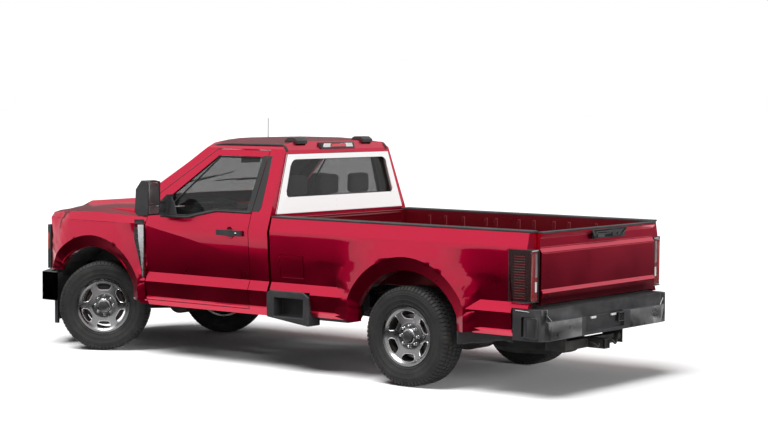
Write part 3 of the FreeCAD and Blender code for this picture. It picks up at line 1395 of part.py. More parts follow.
def rear_bumper():
    """The step bumper with its plate recess, corner steps and wrapped ends, and the hitch under it."""
    plan = [
        ("rear_bumper_wrap_x", "rear_bumper_half + rear_bumper_corner / 3"),
        ("step_front_x + rear_bumper_corner / 2", "rear_bumper_half + rear_bumper_corner / 3"),
        ("step_front_x - rear_bumper_corner / 3", "rear_bumper_half"),
        ("-tail_reach + rear_bumper_corner / 6", "rear_bumper_half - rear_bumper_corner / 2"),
        ("-tail_reach", "rear_bumper_half - 2 * rear_bumper_corner"),
        ("-tail_reach", "-(rear_bumper_half - 2 * rear_bumper_corner)"),
        ("-tail_reach + rear_bumper_corner / 6", "-(rear_bumper_half - rear_bumper_corner / 2)"),
        ("step_front_x - rear_bumper_corner / 3", "-rear_bumper_half"),
        ("step_front_x + rear_bumper_corner / 2", "-(rear_bumper_half + rear_bumper_corner / 3)"),
        ("rear_bumper_wrap_x", "-(rear_bumper_half + rear_bumper_corner / 3)"),
    ]
    solid = prism("rear_bumper_solid", "XY_Plane", plan, "rear_bumper_low_z", "rear_bumper_top_z")
    inside = box(
        "rear_bumper_space",
        ("step_front_x + bumper_wall", "rear_bumper_wrap_x + overrun"),
        ("-(rear_bumper_half - rear_bumper_corner)", "rear_bumper_half - rear_bumper_corner"),
        ("rear_bumper_low_z - overrun", "rear_bumper_top_z - bumper_wall / 2"),
    )
    open_top = box(
        "gate_clearance",
        ("rear_bumper_front_x", "rear_bumper_wrap_x + overrun"),
        ("-(rear_bumper_half - rear_bumper_corner)", "rear_bumper_half - rear_bumper_corner"),
        ("rear_bumper_low_z", "rear_bumper_top_z + overrun"),
    )
    plate = box("plate_recess", ("-tail_reach - overrun", "-tail_reach + plate_depth"), ("plate_right_y", "plate_left_y"), ("plate_low_z", "plate_top_z"))
    pocket = box(
        "corner_pocket",
        ("step_front_x + rear_bumper_corner * 2 / 3", "rear_bumper_front_x - rear_bumper_corner / 3"),
        ("rear_bumper_half - rear_bumper_corner / 6", "rear_bumper_half + rear_bumper_corner"),
        ("rear_bumper_low_z + rear_bumper_corner / 2", "rear_bumper_top_z - rear_bumper_corner"),
    )
    pad = box(
        "bumper_pad_step",
        ("-tail_reach - overrun", "-tail_reach + rear_bumper_pad_in"),
        ("-(rear_bumper_half - rear_bumper_corner)", "rear_bumper_half - rear_bumper_corner"),
        ("rear_bumper_pad_z", "rear_bumper_top_z + overrun"),
    )
    bumper = cut("rear_bumper_whole", solid, inside, open_top, plate, pad, pocket, mirror("corner_pocket_right", pocket))
    node("rear_bumper", bumper)

    middle = "(receiver_low_z + receiver_outer / 2)"
    tube = box(
        "receiver_tube",
        ("receiver_rear_x", "receiver_rear_x + receiver_length"),
        ("-receiver_outer / 2", "receiver_outer / 2"),
        ("receiver_low_z", "receiver_low_z + receiver_outer"),
    )
    hollow = box(
        "receiver_hollow",
        ("receiver_rear_x - overrun", "receiver_rear_x + receiver_length + overrun"),
        ("-receiver_inner / 2", "receiver_inner / 2"),
        (f"{middle} - receiver_inner / 2", f"{middle} + receiver_inner / 2"),
    )
    cross = box(
        "hitch_cross_tube",
        ("hitch_tube_x - hitch_tube_size / 2", "hitch_tube_x + hitch_tube_size / 2"),
        ("-(rail_outer_y + hitch_plate_wall)", "rail_outer_y + hitch_plate_wall"),
        (f"{middle} - hitch_tube_size / 2", f"{middle} + hitch_tube_size / 2"),
    )
    side = box(
        "hitch_side_plate",
        ("hitch_tube_x - hitch_tube_size", "rail_rear_x + hitch_tube_size"),
        ("rail_outer_y + seat_gap", "rail_outer_y + hitch_plate_wall + seat_gap"),
        ("receiver_low_z", "rail_rear_z + rail_depth / 2"),
    )
    bracket = box(
        "bumper_bracket",
        ("step_front_x + bumper_wall + seat_gap", "rail_rear_x + hitch_tube_size"),
        ("rail_outer_y + hitch_plate_wall + seat_gap", "rail_outer_y + 2 * hitch_plate_wall"),
        ("rear_bumper_low_z", "rail_rear_z"),
    )
    pin = rod("hitch_pin_hole", "hitch_pin_radius", ("receiver_rear_x + hitch_pin_inset", "-receiver_outer", middle), "receiver_outer")
    solid = fuse("hitch_solid", [tube, cross, side, mirror("hitch_side_right", side), bracket, mirror("bumper_bracket_right", bracket)])
    node("hitch_receiver", cut("hitch", solid, hollow, pin))


def box_steps():
    """The dark step behind each door, with its deep recess."""
    body = prism(
        "step_body",
        "XZ_Plane",
        [
            ("step_rear_x", "step_low_z"),
            ("step_lead_x", "rocker_z"),
            ("step_lead_x", "step_top_z - overrun / 2"),
            ("step_lead_x - overrun", "step_top_z"),
            ("step_recess_rear_x", "step_top_z"),
            ("step_rear_x", "step_top_z - overrun"),
        ],
        "step_inner_y",
        "step_outer_y",
    )
    recess = prism(
        "step_recess",
        "XZ_Plane",
        [
            ("step_recess_rear_x", "step_recess_low_z"),
            ("step_recess_front_x", "step_recess_low_z"),
            ("step_recess_front_x", "step_recess_top_z"),
            ("step_recess_rear_x", "step_recess_top_z"),
        ],
        "step_outer_y - step_recess_depth",
        "step_outer_y + overrun",
    )
    node("box_steps", pair("box_step_pair", cut("box_step", body, recess)))


def mirrors():
    """The tall two-part mirrors on their twin arms, and the pull handle of each door."""
    shell = prism(
        "mirror_shell",
        "XZ_Plane",
        [
            ("mirror_shell_x", "mirror_low_z + overrun / 2"),
            ("mirror_front_x - overrun", "mirror_low_z"),
            ("mirror_front_x", "mirror_low_z + overrun"),
            ("mirror_front_x - overrun / 4", "mirror_top_z - 2 * overrun"),
            ("mirror_front_x - 2 * overrun", "mirror_top_z"),
            ("mirror_shell_x", "mirror_top_z - overrun / 4"),
        ],
        "mirror_inner_y",
        "mirror_outer_y",
    )
    arms = []
    for level in ("low", "high"):
        start = ("mirror_arm_x", "belt_y - frame_thickness * 2", f"mirror_arm_{level}_z")
        arms.append(rod(f"mirror_arm_{level}", "mirror_arm_radius", start, "mirror_inner_y + overrun / 4"))
    foot_depth = ("belt_y - frame_thickness * 2", "belt_y + frame_thickness")
    sail = prism("mirror_sail", "XZ_Plane", window_outline("seat_gap"), *foot_depth)
    front = box("mirror_sail_front", ("mirror_arm_x - overrun", "door_front_x"), foot_depth, ("window_dip_z", "drip_z"))
    foot = common("mirror_foot", [sail, front])
    grip = box(
        "door_grip",
        ("door_handle_rear_x", "door_handle_front_x"),
        ("body_half - crease_in", "body_half + door_handle_proud"),
        ("door_handle_z - door_handle_half", "door_handle_z + door_handle_half"),
    )
    whole = fuse("mirror_whole", [shell, *arms, foot])
    left = DOC.addObject("Part::Compound", "mirror_and_grip")
    left.Links = [whole, grip]
    node("mirror_left", left)
    node("mirror_right", mirror("mirror_and_grip_right", left))


def roof_fittings():
    """The marker pods and stop lamp at the back of the roof, and the whip antenna on the right fender."""
    pods = []
    for i, y in enumerate(("pod_y", "-pod_y"), 1):
        pod = prism(
            f"roof_pod_{i}",
            "XZ_Plane",
            [
                ("pod_x - pod_length / 2", "roof_rear_z - pod_sink"),
                ("pod_x + pod_length / 2", "roof_rear_z - pod_sink"),
                ("pod_x + pod_length / 2", "roof_rear_z + pod_sink / 2"),
                ("pod_x + pod_length / 4", "roof_rear_z + pod_height"),
                ("pod_x - pod_length / 4", "roof_rear_z + pod_height"),
                ("pod_x - pod_length / 2", "roof_rear_z + pod_sink / 2"),
            ],
            f"{y} - pod_half_width",
            f"{y} + pod_half_width",
        )
        pods.append(pod)
    lamp = prism(
        "stop_lamp",
        "XZ_Plane",
        [
            ("back_top_x - stop_lamp_proud", "stop_lamp_low_z"),
            ("roof_rear_x", "stop_lamp_low_z"),
            ("roof_rear_x", "stop_lamp_top_z"),
            ("back_top_x + stop_lamp_proud", "stop_lamp_top_z"),
        ],
        "-stop_lamp_half",
        "stop_lamp_half",
    )
    node("roof_lamps", stood_on("roof_fittings_all", pods + [lamp], ROOF_SEAT[0]))
    foot_z = "(fender_top_z - overrun / 2)"
    mast = rod("antenna_mast", "antenna_radius", ("antenna_x", "antenna_y", foot_z), "antenna_top_z", "z")
    foot = rod("antenna_foot", "antenna_foot_radius", ("antenna_x", "antenna_y", foot_z), f"{foot_z} + antenna_foot_height + overrun / 2", "z")
    fenders = next(thing for thing in NODES if thing.Label == "front_fenders")
    node("antenna", stood_on("antenna_on_fender", [fuse("antenna_whole", [mast, foot])], fenders))


def axle_yoke(side):
    """The fork at an end of the front axle that holds its kingpin."""
    sign = "" if side == "left" else "-"
    arms = []
    for i, level in enumerate(("-", ""), 1):
        z = f"axle_height + ({level}yoke_reach_z)"
        arm = rod(f"yoke_eye_{side}_{i}", "knuckle_radius", ("front_axle_x", f"{sign}kingpin_y", f"{z} - yoke_wall / 2"), f"{z} + yoke_wall / 2", "z")
        near = "front_yoke_y - yoke_wall" if side == "left" else "-kingpin_y"
        far = "kingpin_y" if side == "left" else "-(front_yoke_y - yoke_wall)"
        link = box(
            f"yoke_arm_{side}_{i}",
            ("front_axle_x - knuckle_radius", "front_axle_x + knuckle_radius"),
            (near, far),
            (f"{z} - yoke_wall / 2", f"{z} + yoke_wall / 2"),
        )
        arms += [arm, link]
    near = "front_yoke_y - yoke_wall" if side == "left" else "-front_yoke_y"
    far = "front_yoke_y" if side == "left" else "-(front_yoke_y - yoke_wall)"
    back = box(
        f"yoke_back_{side}",
        ("front_axle_x - knuckle_radius", "front_axle_x + knuckle_radius"),
        (near, far),
        ("axle_height - yoke_reach_z - yoke_wall / 2", "axle_height + yoke_reach_z + yoke_wall / 2"),
    )
    return fuse(f"yoke_{side}", arms + [back])


def axles():
    """The front axle with its forks and the rear axle with its hubs, each a tube with a gear case."""
    front = [
        rod("front_tube", "front_tube_radius", ("front_axle_x", "-(front_yoke_y - yoke_wall / 2)", "axle_height"), "front_yoke_y - yoke_wall / 2"),
        rod("front_case", "front_diff_radius", ("front_axle_x", "front_diff_y - front_diff_half", "axle_height"), "front_diff_y + front_diff_half"),
        axle_yoke("left"),
        axle_yoke("right"),
    ]
    seat = rod("coil_seat", "coil_radius", ("front_axle_x", "coil_y", "axle_height"), "coil_low_z - seat_gap", "z")
    arm = Part.makeCylinder(
        size("arm_radius"),
        math.hypot(size("front_axle_x") - size("arm_rear_x"), size("arm_rear_z") - size("axle_height")),
        Vector(size("arm_rear_x"), size("arm_y"), size("arm_rear_z")),
        Vector(size("front_axle_x") - size("arm_rear_x"), 0, size("axle_height") - size("arm_rear_z")),
    )
    trailing = feature("trailing_arm", arm)
    node("front_axle", fuse("front_axle_whole", front + [seat, mirror("coil_seat_right", seat), trailing, mirror("trailing_arm_right", trailing)]))

    rear = [
        rod("rear_tube", "rear_tube_radius", ("rear_axle_x", "-rear_hub_y", "axle_height"), "rear_hub_y"),
        rod("rear_case", "rear_diff_radius", ("rear_axle_x", "-rear_diff_half", "axle_height"), "rear_diff_half"),
    ]
    for name, sign in (("left", 1), ("right", -1)):
        base = "rear_wheel_y"
        spans = (
            ("rear_disc_" + name, "brake_disc_radius", "rear_hub_y", "rear_hub_y + brake_disc_wall"),
            ("rear_spindle_" + name, "spindle_radius - spindle_clearance", "rear_hub_y", f"{base} + disc_inner_y + spindle_depth - panel_gap"),
        )
        for label, radius, near, far in spans:
            low, high = (near, far) if sign > 0 else (f"-({far})", f"-({near})")
            rear.append(rod(label, radius, ("rear_axle_x", low, "axle_height"), high))
    node("rear_axle", fuse("rear_axle_whole", rear))


def knuckles():
    """Each front knuckle between its fork's eyes, with a brake disc and spindle, turned to the resting lock."""
    for side, turn in (("left", "steer_rest"), ("right", "steer_rest + 180")):
        post = rod(f"knuckle_post_{side}", "knuckle_radius", ("0", "0", "-(yoke_reach_z - yoke_wall / 2 - seat_gap)"), "yoke_reach_z - yoke_wall / 2 - seat_gap", "z")
        web = box(
            f"knuckle_web_{side}",
            ("-knuckle_radius", "knuckle_radius"),
            ("0", "knuckle_plate_y"),
            ("-(yoke_reach_z / 2)", "yoke_reach_z / 2"),
        )
        plate = rod(f"knuckle_plate_{side}", "yoke_reach_z", ("0", "knuckle_plate_y", "0"), "brake_disc_y")
        disc = rod(f"brake_disc_{side}", "brake_disc_radius", ("0", "brake_disc_y", "0"), "brake_disc_y + brake_disc_wall")
        spindle = rod(
            f"spindle_{side}",
            "spindle_radius - spindle_clearance",
            ("0", "knuckle_plate_y", "0"),
            "kingpin_offset + disc_inner_y + spindle_depth - panel_gap",
        )
        whole = fuse(f"knuckle_{side}_whole", [post, web, plate, disc, spindle])
        whole.Placement = Placement(Vector(), Rotation(Vector(0, 0, 1), 1))
        whole.setExpression("Placement.Rotation.Angle", bound(f"({turn}) * 1 deg"))
        sign = "" if side == "left" else "-"
        for axis, place in zip("xyz", ("front_axle_x", f"{sign}kingpin_y", "axle_height")):
            whole.setExpression("Placement.Base." + axis, bound(place))
        node(f"knuckle_{side}", whole)


def springs():
    """The rear leaf springs on their hangers and the front coils on their seats."""
    leaf = prism(
        "leaf_pack",
        "XZ_Plane",
        [
            ("rear_axle_x - leaf_half_length", "leaf_end_z"),
            ("rear_axle_x - leaf_half_length / 3", "axle_height + rear_tube_radius + seat_gap"),
            ("rear_axle_x + leaf_half_length / 3", "axle_height + rear_tube_radius + seat_gap"),
            ("rear_axle_x + leaf_half_length", "leaf_end_z"),
            ("rear_axle_x + leaf_half_length", "leaf_end_z + leaf_thickness / 3"),
            ("rear_axle_x + leaf_half_length / 3", "axle_height + rear_tube_radius + leaf_thickness"),
            ("rear_axle_x - leaf_half_length / 3", "axle_height + rear_tube_radius + leaf_thickness"),
            ("rear_axle_x - leaf_half_length", "leaf_end_z + leaf_thickness / 3"),
        ],
        "leaf_y - leaf_half_width",
        "leaf_y + leaf_half_width",
    )
    pieces = [leaf]
    for i, sign in enumerate(("-", "+"), 1):
        x = f"(rear_axle_x {sign} leaf_half_length)"
        pieces.append(rod(f"leaf_eye_{i}", "leaf_eye_radius", (x, "leaf_y - leaf_half_width", "leaf_end_z"), "leaf_y + leaf_half_width"))
        hanger = box(
            f"leaf_hanger_{i}",
            (f"{x} - leaf_half_width", f"{x} + leaf_half_width"),
            ("rail_outer_y + seat_gap", "leaf_y + leaf_half_width"),
            ("leaf_end_z", "rail_rear_z + rail_depth / 2"),
        )
        pieces.append(hanger)
    node("leaf_springs", pair("leaf_spring_pair", fuse("leaf_spring", pieces)))

    wire = size("coil_wire")
    rise = size("coil_top_z") - size("coil_low_z") - 2 * wire - 2 * size("seat_gap")
    radius = size("coil_radius") - wire
    helix = Part.Wire(Part.makeHelix(rise / size("coil_turns"), rise, radius).Edges)
    corners = [Vector(radius - wire, 0, 0), Vector(radius, 0, -wire), Vector(radius + wire, 0, 0), Vector(radius, 0, wire)]
    coil = helix.makePipeShell([Part.makePolygon(corners + corners[:1])], True, True)
    coil.translate(Vector(size("front_axle_x"), size("coil_y"), size("coil_low_z") + wire + size("seat_gap")))
    node("front_springs", pair("front_spring_pair", feature("front_coil", coil)))


def powertrain():
    """The engine as one plain block, the gearbox and transfer case behind it, and the two drive shafts."""
    engine = box("engine", ("engine_rear_x", "engine_front_x"), ("-engine_half", "engine_half"), ("engine_low_z", "engine_top_z"))
    bell = box(
        "bell_housing",
        ("firewall_x - engine_half", "engine_rear_x"),
        ("-gearbox_half", "gearbox_half"),
        ("gearbox_low_z", "gearbox_top_z + gearbox_half / 2"),
    )
    gearbox = box("gearbox", ("gearbox_rear_x", "engine_rear_x"), ("-gearbox_half", "gearbox_half"), ("gearbox_low_z", "gearbox_top_z"))
    sump = box(
        "oil_sump",
        ("engine_rear_x", "front_axle_x - front_diff_radius - overrun"),
        ("-gearbox_half", "gearbox_half"),
        ("gearbox_top_z - gearbox_half / 2", "engine_low_z"),
    )
    transfer = box(
        "transfer_case",
        ("transfer_rear_x", "gearbox_rear_x"),
        ("-transfer_left_y", "gearbox_half"),
        ("gearbox_low_z", "gearbox_top_z - floor_wall"),
    )
    node("powertrain", fuse("powertrain_whole", [engine, bell, gearbox, sump, transfer]))

    low = Vector(size("rear_axle_x") + size("rear_diff_radius") + size("seat_gap"), 0, size("axle_height"))
    high_z = (size("gearbox_low_z") + size("gearbox_top_z")) / 2 - size("shaft_radius") / 2
    high = Vector(size("transfer_rear_x") - size("panel_gap"), 0, high_z)
    rear = Part.makeCylinder(size("shaft_radius"), (high - low).Length, low, high - low)
    front_y = size("front_diff_y")
    back = Vector(size("gearbox_rear_x") + size("seat_gap"), front_y, size("axle_height") + size("front_shaft_radius"))
    nose_x = size("front_axle_x") - size("front_diff_radius") - size("seat_gap") * 2
    front = Part.makeCylinder(size("front_shaft_radius"), nose_x - back.x, back, Vector(1, 0, 0))
    node("drive_shafts", feature("shafts", Part.makeCompound([rear, front])))


def tank_and_exhaust():
    """The long fuel tank beside the left rail, and the exhaust with its muffler on the right."""
    tank = prism(
        "fuel_tank_body",
        "YZ_Plane",
        [
            ("tank_inner_y", "tank_low_z + tank_corner"),
            ("tank_inner_y + tank_corner", "tank_low_z"),
            ("tank_outer_y - tank_corner", "tank_low_z"),
            ("tank_outer_y", "tank_low_z + tank_corner"),
            ("tank_outer_y", "tank_top_z"),
            ("tank_inner_y", "tank_top_z"),
        ],
        "tank_rear_x",
        "tank_front_x",
    )
    strap = box(
        "tank_strap",
        ("tank_front_x - tank_corner * 3", "tank_front_x - tank_corner * 2"),
        ("rail_outer_y + seat_gap", "tank_inner_y"),
        ("rail_middle_z", "tank_top_z"),
    )
    far_strap = box(
        "tank_strap_rear",
        ("tank_rear_x + tank_corner * 3", "tank_rear_x + tank_corner * 4"),
        ("rail_outer_y + seat_gap", "tank_inner_y"),
        ("rail_middle_z + rail_wall", "tank_top_z"),
    )
    node("fuel_tank", fuse("fuel_tank_whole", [tank, strap, far_strap]))

    muffler = rod("muffler", "muffler_radius", ("muffler_rear_x", "muffler_y", "muffler_z"), "muffler_front_x", "x")
    head = rod("front_pipe", "pipe_radius", ("muffler_front_x - overrun", "pipe_front_y", "muffler_z"), "pipe_front_x", "x")
    over_z = size("pipe_tail_z") + size("pipe_radius") * 3
    route = [
        Vector(size("muffler_rear_x") + size("overrun"), size("muffler_y"), size("muffler_z")),
        Vector(size("pipe_over_x"), size("muffler_y"), size("muffler_z")),
        Vector(size("pipe_over_x") - size("muffler_radius") * 2, size("pipe_tail_y") + size("muffler_radius"), over_z),
        Vector(size("rear_axle_x") - size("tyre_radius") - size("pipe_radius"), size("pipe_tail_y") + size("muffler_radius"), over_z),
        Vector(size("pipe_tail_x") + size("pipe_radius"), size("pipe_tail_y"), size("pipe_tail_z")),
        Vector(size("pipe_tail_x"), size("pipe_tail_y"), size("pipe_tail_z")),
    ]
    runs = [Part.makeCylinder(size("pipe_radius"), (b - a).Length, a, b - a) for a, b in zip(route, route[1:])]
    knees = [Part.makeSphere(size("pipe_radius"), place) for place in route[1:-1]]
    tail = feature("tail_pipe", runs[0].multiFuse(runs[1:] + knees))
    hanger = box(
        "exhaust_hanger",
        ("muffler_rear_x + pipe_radius", "muffler_rear_x + 2 * pipe_radius"),
        ("muffler_y", "-(rail_outer_y + seat_gap)"),
        ("muffler_z + muffler_radius / 2", "muffler_z + muffler_radius"),
    )
    node("exhaust", fuse("exhaust_whole", [muffler, head, tail, hanger]))


def seat_and_dash():
    """The bench seat with its two headrests, and the dashboard with the steering column."""
    floor = "(cab_floor_z + floor_wall + seat_gap)"
    bench = prism(
        "bench",
        "XZ_Plane",
        [
            ("seat_rear_x + seat_back_lean", floor),
            ("seat_front_x", floor),
            ("seat_front_x", "seat_cushion_z"),
            ("seat_rear_x + seat_back_lean + seat_back_wall", "seat_cushion_z - seat_back_lean / 3"),
            ("seat_rear_x + seat_back_wall", "seat_back_top_z"),
            ("seat_rear_x", "seat_back_top_z"),
        ],
        "-seat_half",
        "seat_half",
    )
    pieces = [bench]
    for i, sign in enumerate(("", "-"), 1):
        y = f"({sign}headrest_y)"
        middle = "(seat_rear_x + seat_back_wall / 2)"
        pieces.append(
            box(
                f"headrest_{i}",
                (f"{middle} - headrest_wall / 2", f"{middle} + headrest_wall / 2"),
                (f"{y} - headrest_half", f"{y} + headrest_half"),
                ("headrest_low_z", "headrest_top_z"),
            )
        )
        for k, offset in enumerate(("-", "+"), 1):
            start = (middle, f"{y} {offset} headrest_half / 2", "seat_back_top_z - overrun")
            pieces.append(rod(f"headrest_post_{i}_{k}", "headrest_post_radius", start, "headrest_low_z + overrun", "z"))
    node("bench_seat", fuse("bench_whole", pieces))

    dash = prism(
        "dash",
        "XZ_Plane",
        [
            ("dash_rear_x", "dash_low_z"),
            ("firewall_x - firewall_wall - seat_gap", "dash_low_z"),
            ("firewall_x - firewall_wall - seat_gap", "dash_top_z - overrun"),
            ("dash_rear_x + firewall_wall * 2", "dash_top_z"),
            ("dash_rear_x", "dash_top_z - overrun"),
        ],
        "-dash_half",
        "dash_half",
    )
    lean = math.radians(size("wheel_tilt"))
    along = Vector(math.cos(lean), 0, -math.sin(lean))
    hub = Vector(size("wheel_x"), size("wheel_y"), size("wheel_z"))
    reach = (size("dash_rear_x") - hub.x + size("overrun") * 2) / math.cos(lean)
    column = Part.makeCylinder(size("column_radius"), reach, hub + along * (size("wheel_hub_half") + size("panel_gap")), along)
    spindle = Part.makeCylinder(
        size("headrest_post_radius") * 2 - size("spindle_clearance"), size("wheel_hub_half") + size("panel_gap") * 2, hub, along
    )
    node("dashboard", fuse("dash_and_column", [dash, feature("column", column.fuse(spindle))]))

    ring = Part.makeTorus(size("wheel_ring_radius"), size("wheel_wire"), hub, along)
    middle = Part.makeCylinder(size("wheel_hub_radius"), 2 * size("wheel_hub_half"), hub - along * size("wheel_hub_half"), along)
    bore = Part.makeCylinder(size("headrest_post_radius") * 2, size("wheel_hub_half") + size("panel_gap") * 3, hub - along * 0, along)
    spokes = []
    for angle in (0, 180, 270):
        spoke = Part.makeBox(
            size("wheel_ring_radius"),
            2 * size("wheel_spoke_half"),
            size("wheel_wire"),
            Vector(0, -size("wheel_spoke_half"), -size("wheel_wire") / 2),
        )
        spoke.rotate(Vector(), Vector(0, 0, 1), angle + 90)
        spoke.Placement = Placement(hub, Rotation(Vector(0, 0, 1), along)).multiply(spoke.Placement)
        spokes.append(spoke)
    whole = ring.multiFuse([middle] + spokes).cut(bore)
    node("steering_wheel", feature("steering_wheel_whole", whole))


def wheel_profile():
    """Corners of a rim's section from its axis out, as radius and place along the axle."""
    return [
        ("0", "cap_y"),
        ("cap_radius", "cap_y"),
        ("cap_radius", "hub_face_y"),
        ("hub_radius", "hub_face_y"),
        ("hub_radius + rim_lip", "hub_dish_y"),
        ("hub_radius * 1.6", "hub_dish_y"),
        ("disc_low_radius", "disc_low_y"),
        ("disc_rise_radius", "disc_rise_y"),
        ("bead_radius - rim_lip", "disc_outer_y"),
        ("rim_lip_radius - rim_lip / 2", "bead_half_width + rim_lip"),
        ("rim_lip_radius", "bead_half_width"),
        ("bead_radius", "bead_half_width"),
        ("bead_radius", "rim_shoulder_half"),
        ("bead_radius - rim_well_depth", "rim_well_half"),
        ("bead_radius - rim_well_depth", "-rim_well_half"),
        ("bead_radius", "-rim_shoulder_half"),
        ("bead_radius", "-bead_half_width"),
        ("rim_lip_radius", "-bead_half_width"),
        ("rim_lip_radius - rim_lip / 2", "-(bead_half_width + rim_lip)"),
        ("bead_radius - rim_barrel_wall", "-(bead_half_width + rim_lip)"),
        ("bead_radius - rim_barrel_wall", "-rim_shoulder_half"),
        ("bead_radius - rim_well_depth - rim_barrel_wall", "-rim_well_half"),
        ("bead_radius - rim_well_depth - rim_barrel_wall", "disc_low_y"),
        ("disc_rise_radius", "disc_rise_y - disc_wall"),
        ("disc_low_radius", "disc_low_y - disc_wall"),
        ("hub_radius", "disc_inner_y"),
        ("spindle_radius", "disc_inner_y"),
        ("spindle_radius", "disc_inner_y + spindle_depth"),
        ("0", "disc_inner_y + spindle_depth"),
    ]


def tyre_profile():
    """Corners of a tyre's section, as radius and place along the axle."""
    clear = f"cos(180 deg / {round(size('tyre_sides'))})"
    half = [
        (f"(bead_radius + seat_gap) / {clear}", "bead_half_width - seat_gap"),
        ("rim_lip_radius + rim_lip / 3", "bead_half_width - seat_gap"),
        ("bead_radius + shoulder_drop * 1.5", "bead_half_width + rim_flange_step"),
        ("sidewall_radius", "tyre_half_width"),
        ("tyre_radius - shoulder_drop * 2", "tyre_half_width - shoulder_drop / 4"),
        ("tyre_radius - shoulder_drop", "tyre_half_width - shoulder_drop"),
        ("tyre_radius - tread_crown", "tread_half_width"),
        ("tyre_radius", "0"),
    ]
    return half + [(r, f"-({y})") for r, y in reversed(half[:-1])]


def faceted_ring(name, points, sides):
    """A ring of flat faces about its own Y axis, closed over a profile of radius and place along the axis."""
    profile = [(evaluated(radius), evaluated(place)) for radius, place in points]
    turns = [2 * math.pi * i / sides for i in range(sides)]
    rows = [[Vector(-r * math.sin(turn), y, -r * math.cos(turn)) for r, y in profile] for turn in turns]
    faces = []
    for i, row in enumerate(rows):
        following = rows[(i + 1) % sides]
        for j, corner in enumerate(row):
            k = (j + 1) % len(row)
            ring = [corner, row[k], following[k], following[j]]
            ring = [point for n, point in enumerate(ring) if not point.isEqual(ring[n - 1], size("seat_gap") / sides)]
            faces.append(Part.Face(Part.makePolygon(ring + ring[:1])))
    solid = Part.makeSolid(Part.makeShell(faces))
    if solid.Volume < 0:
        solid.reverse()
    return feature(name, solid)


def rim(name):
    """A six-window rim with eight nuts round its dark centre cap."""
    body = turned(name, wheel_profile())
    height = "(window_outer_radius - window_inner_radius)"
    corners = [(f"window_outer_half * {half}", f"window_inner_radius + {height} * {up}") for half, up in WINDOW_SHARES]
    corners += [(f"-({x})", y) for x, y in reversed(corners)]
    window = outline(
        body,
        name + "_window",
        "XZ_Plane",
        corners,
        "-(disc_outer_y + rim_lip)",
    )
    pocket = body.newObject("PartDesign::Pocket", name + "_pocket")
    pocket.Profile = window
    pocket.Reversed = True
    pocket.setExpression("Length", bound("disc_outer_y + rim_lip"))
    ring = body.newObject("PartDesign::PolarPattern", name + "_windows")
    ring.Originals = [pocket]
    ring.Axis = (window, ["N_Axis"])
    ring.Angle = 360
    ring.setExpression("Occurrences", bound("wheel_windows"))
    body.Tip = ring
    return body


def set_wheel(body, axle, side):
    """Place a wheel's body on its hub: the front pair is turned to the resting lock."""
    turn = "steer_rest" if axle == "front" else "0"
    sign, half_turn = ("", "0") if side == "left" else ("-", "180")
    body.Placement = Placement(Vector(), Rotation(Vector(0, 0, 1), 1))
    body.setExpression("Placement.Rotation.Angle", bound(f"({turn} + {half_turn}) * 1 deg"))
    if axle == "front":
        swing = "kingpin_offset * sin(steer_rest * 1 deg)"
        reach = "kingpin_y + kingpin_offset * cos(steer_rest * 1 deg)"
        x = f"front_axle_x - {swing}" if side == "left" else f"front_axle_x + {swing}"
        places = (x, f"{sign}({reach})", "axle_height")
    else:
        places = ("rear_axle_x", f"{sign}rear_wheel_y", "axle_height")
    for axis, place in zip("xyz", places):
        body.setExpression("Placement.Base." + axis, bound(place))


def wheels():
    """Four tyres on their rims, and the spare slung flat under the bed's tail."""
    for axle in ("front", "rear"):
        for side in ("left", "right"):
            name = f"{axle}_{side}"
            tyre = faceted_ring(f"tyre_{name}_body", tyre_profile(), round(size("tyre_sides")))
            wheel = rim(f"rim_{name}_body")
            for body, kind in ((tyre, "tyre"), (wheel, "rim")):
                set_wheel(body, axle, side)
                node(f"{kind}_{name}", body)
    section = [
        ("bead_radius", "-spare_half_width * 4 / 5"),
        ("sidewall_radius", "-spare_half_width"),
        ("tyre_radius - shoulder_drop", "-spare_half_width * 3 / 5"),
        ("tyre_radius - shoulder_drop", "spare_half_width * 3 / 5"),
        ("sidewall_radius", "spare_half_width"),
        ("bead_radius", "spare_half_width * 4 / 5"),
    ]
    spare = faceted_ring("spare_tyre", section, round(size("spare_sides")))
    disc = rod("spare_disc", "bead_radius + rim_lip", ("0", "-spare_half_width / 3", "0"), "0")
    hoist = rod("spare_hoist", "shaft_radius / 2", ("0", "-spare_half_width / 6", "0"), "bed_floor_z - bed_floor_wall - spare_z - seat_gap")
    carried = fuse("spare_whole", [spare, disc, hoist])
    carried.Placement = Placement(Vector(), Rotation(Vector(1, 0, 0), 90))
    for axis, place in zip("xyz", ("spare_x", "0", "spare_z")):
        carried.setExpression("Placement.Base." + axis, bound(place))
    node("spare_wheel", carried)


def write_parts():
    """Check every object, then write each piece to its own file."""
    DOC.recompute()
    for thing in DOC.Objects:
        if {"Invalid", "Error"} & set(thing.State):
            raise RuntimeError(f"{thing.Name} is not valid: {thing.State}")
    os.makedirs("parts", exist_ok=True)
    for thing in NODES:
        shape = thing.Shape
        if shape.isNull() or not shape.isValid() or not shape.Solids:
            raise RuntimeError(f"{thing.Label} has no valid shape")
        shape.exportStep(f"parts/{thing.Label}.step")
        print(f"{thing.Label}: {len(shape.Solids)} solid(s), {shape.Volume / 1e6:.1f} litres")


fill_sheet()
ladder_frame()
cab()
doors()
fender()
hood()
nose()
front_bumper()
bed()
tailgate()
rear_bumper()
box_steps()
mirrors()
roof_fittings()
axles()
knuckles()
springs()
powertrain()
tank_and_exhaust()
seat_and_dash()
wheels()
write_parts()
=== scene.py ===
"""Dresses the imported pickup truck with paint, chrome, tyres, lamps, glass and a cabin in a studio."""

from __future__ import annotations

import json
import logging
import math
from contextlib import contextmanager
from dataclasses import dataclass, field
from enum import Enum
from typing import Callable, Iterable, Iterator, Sequence

import bpy
from mathutils import Matrix, Vector
from mathutils.bvhtree import BVHTree

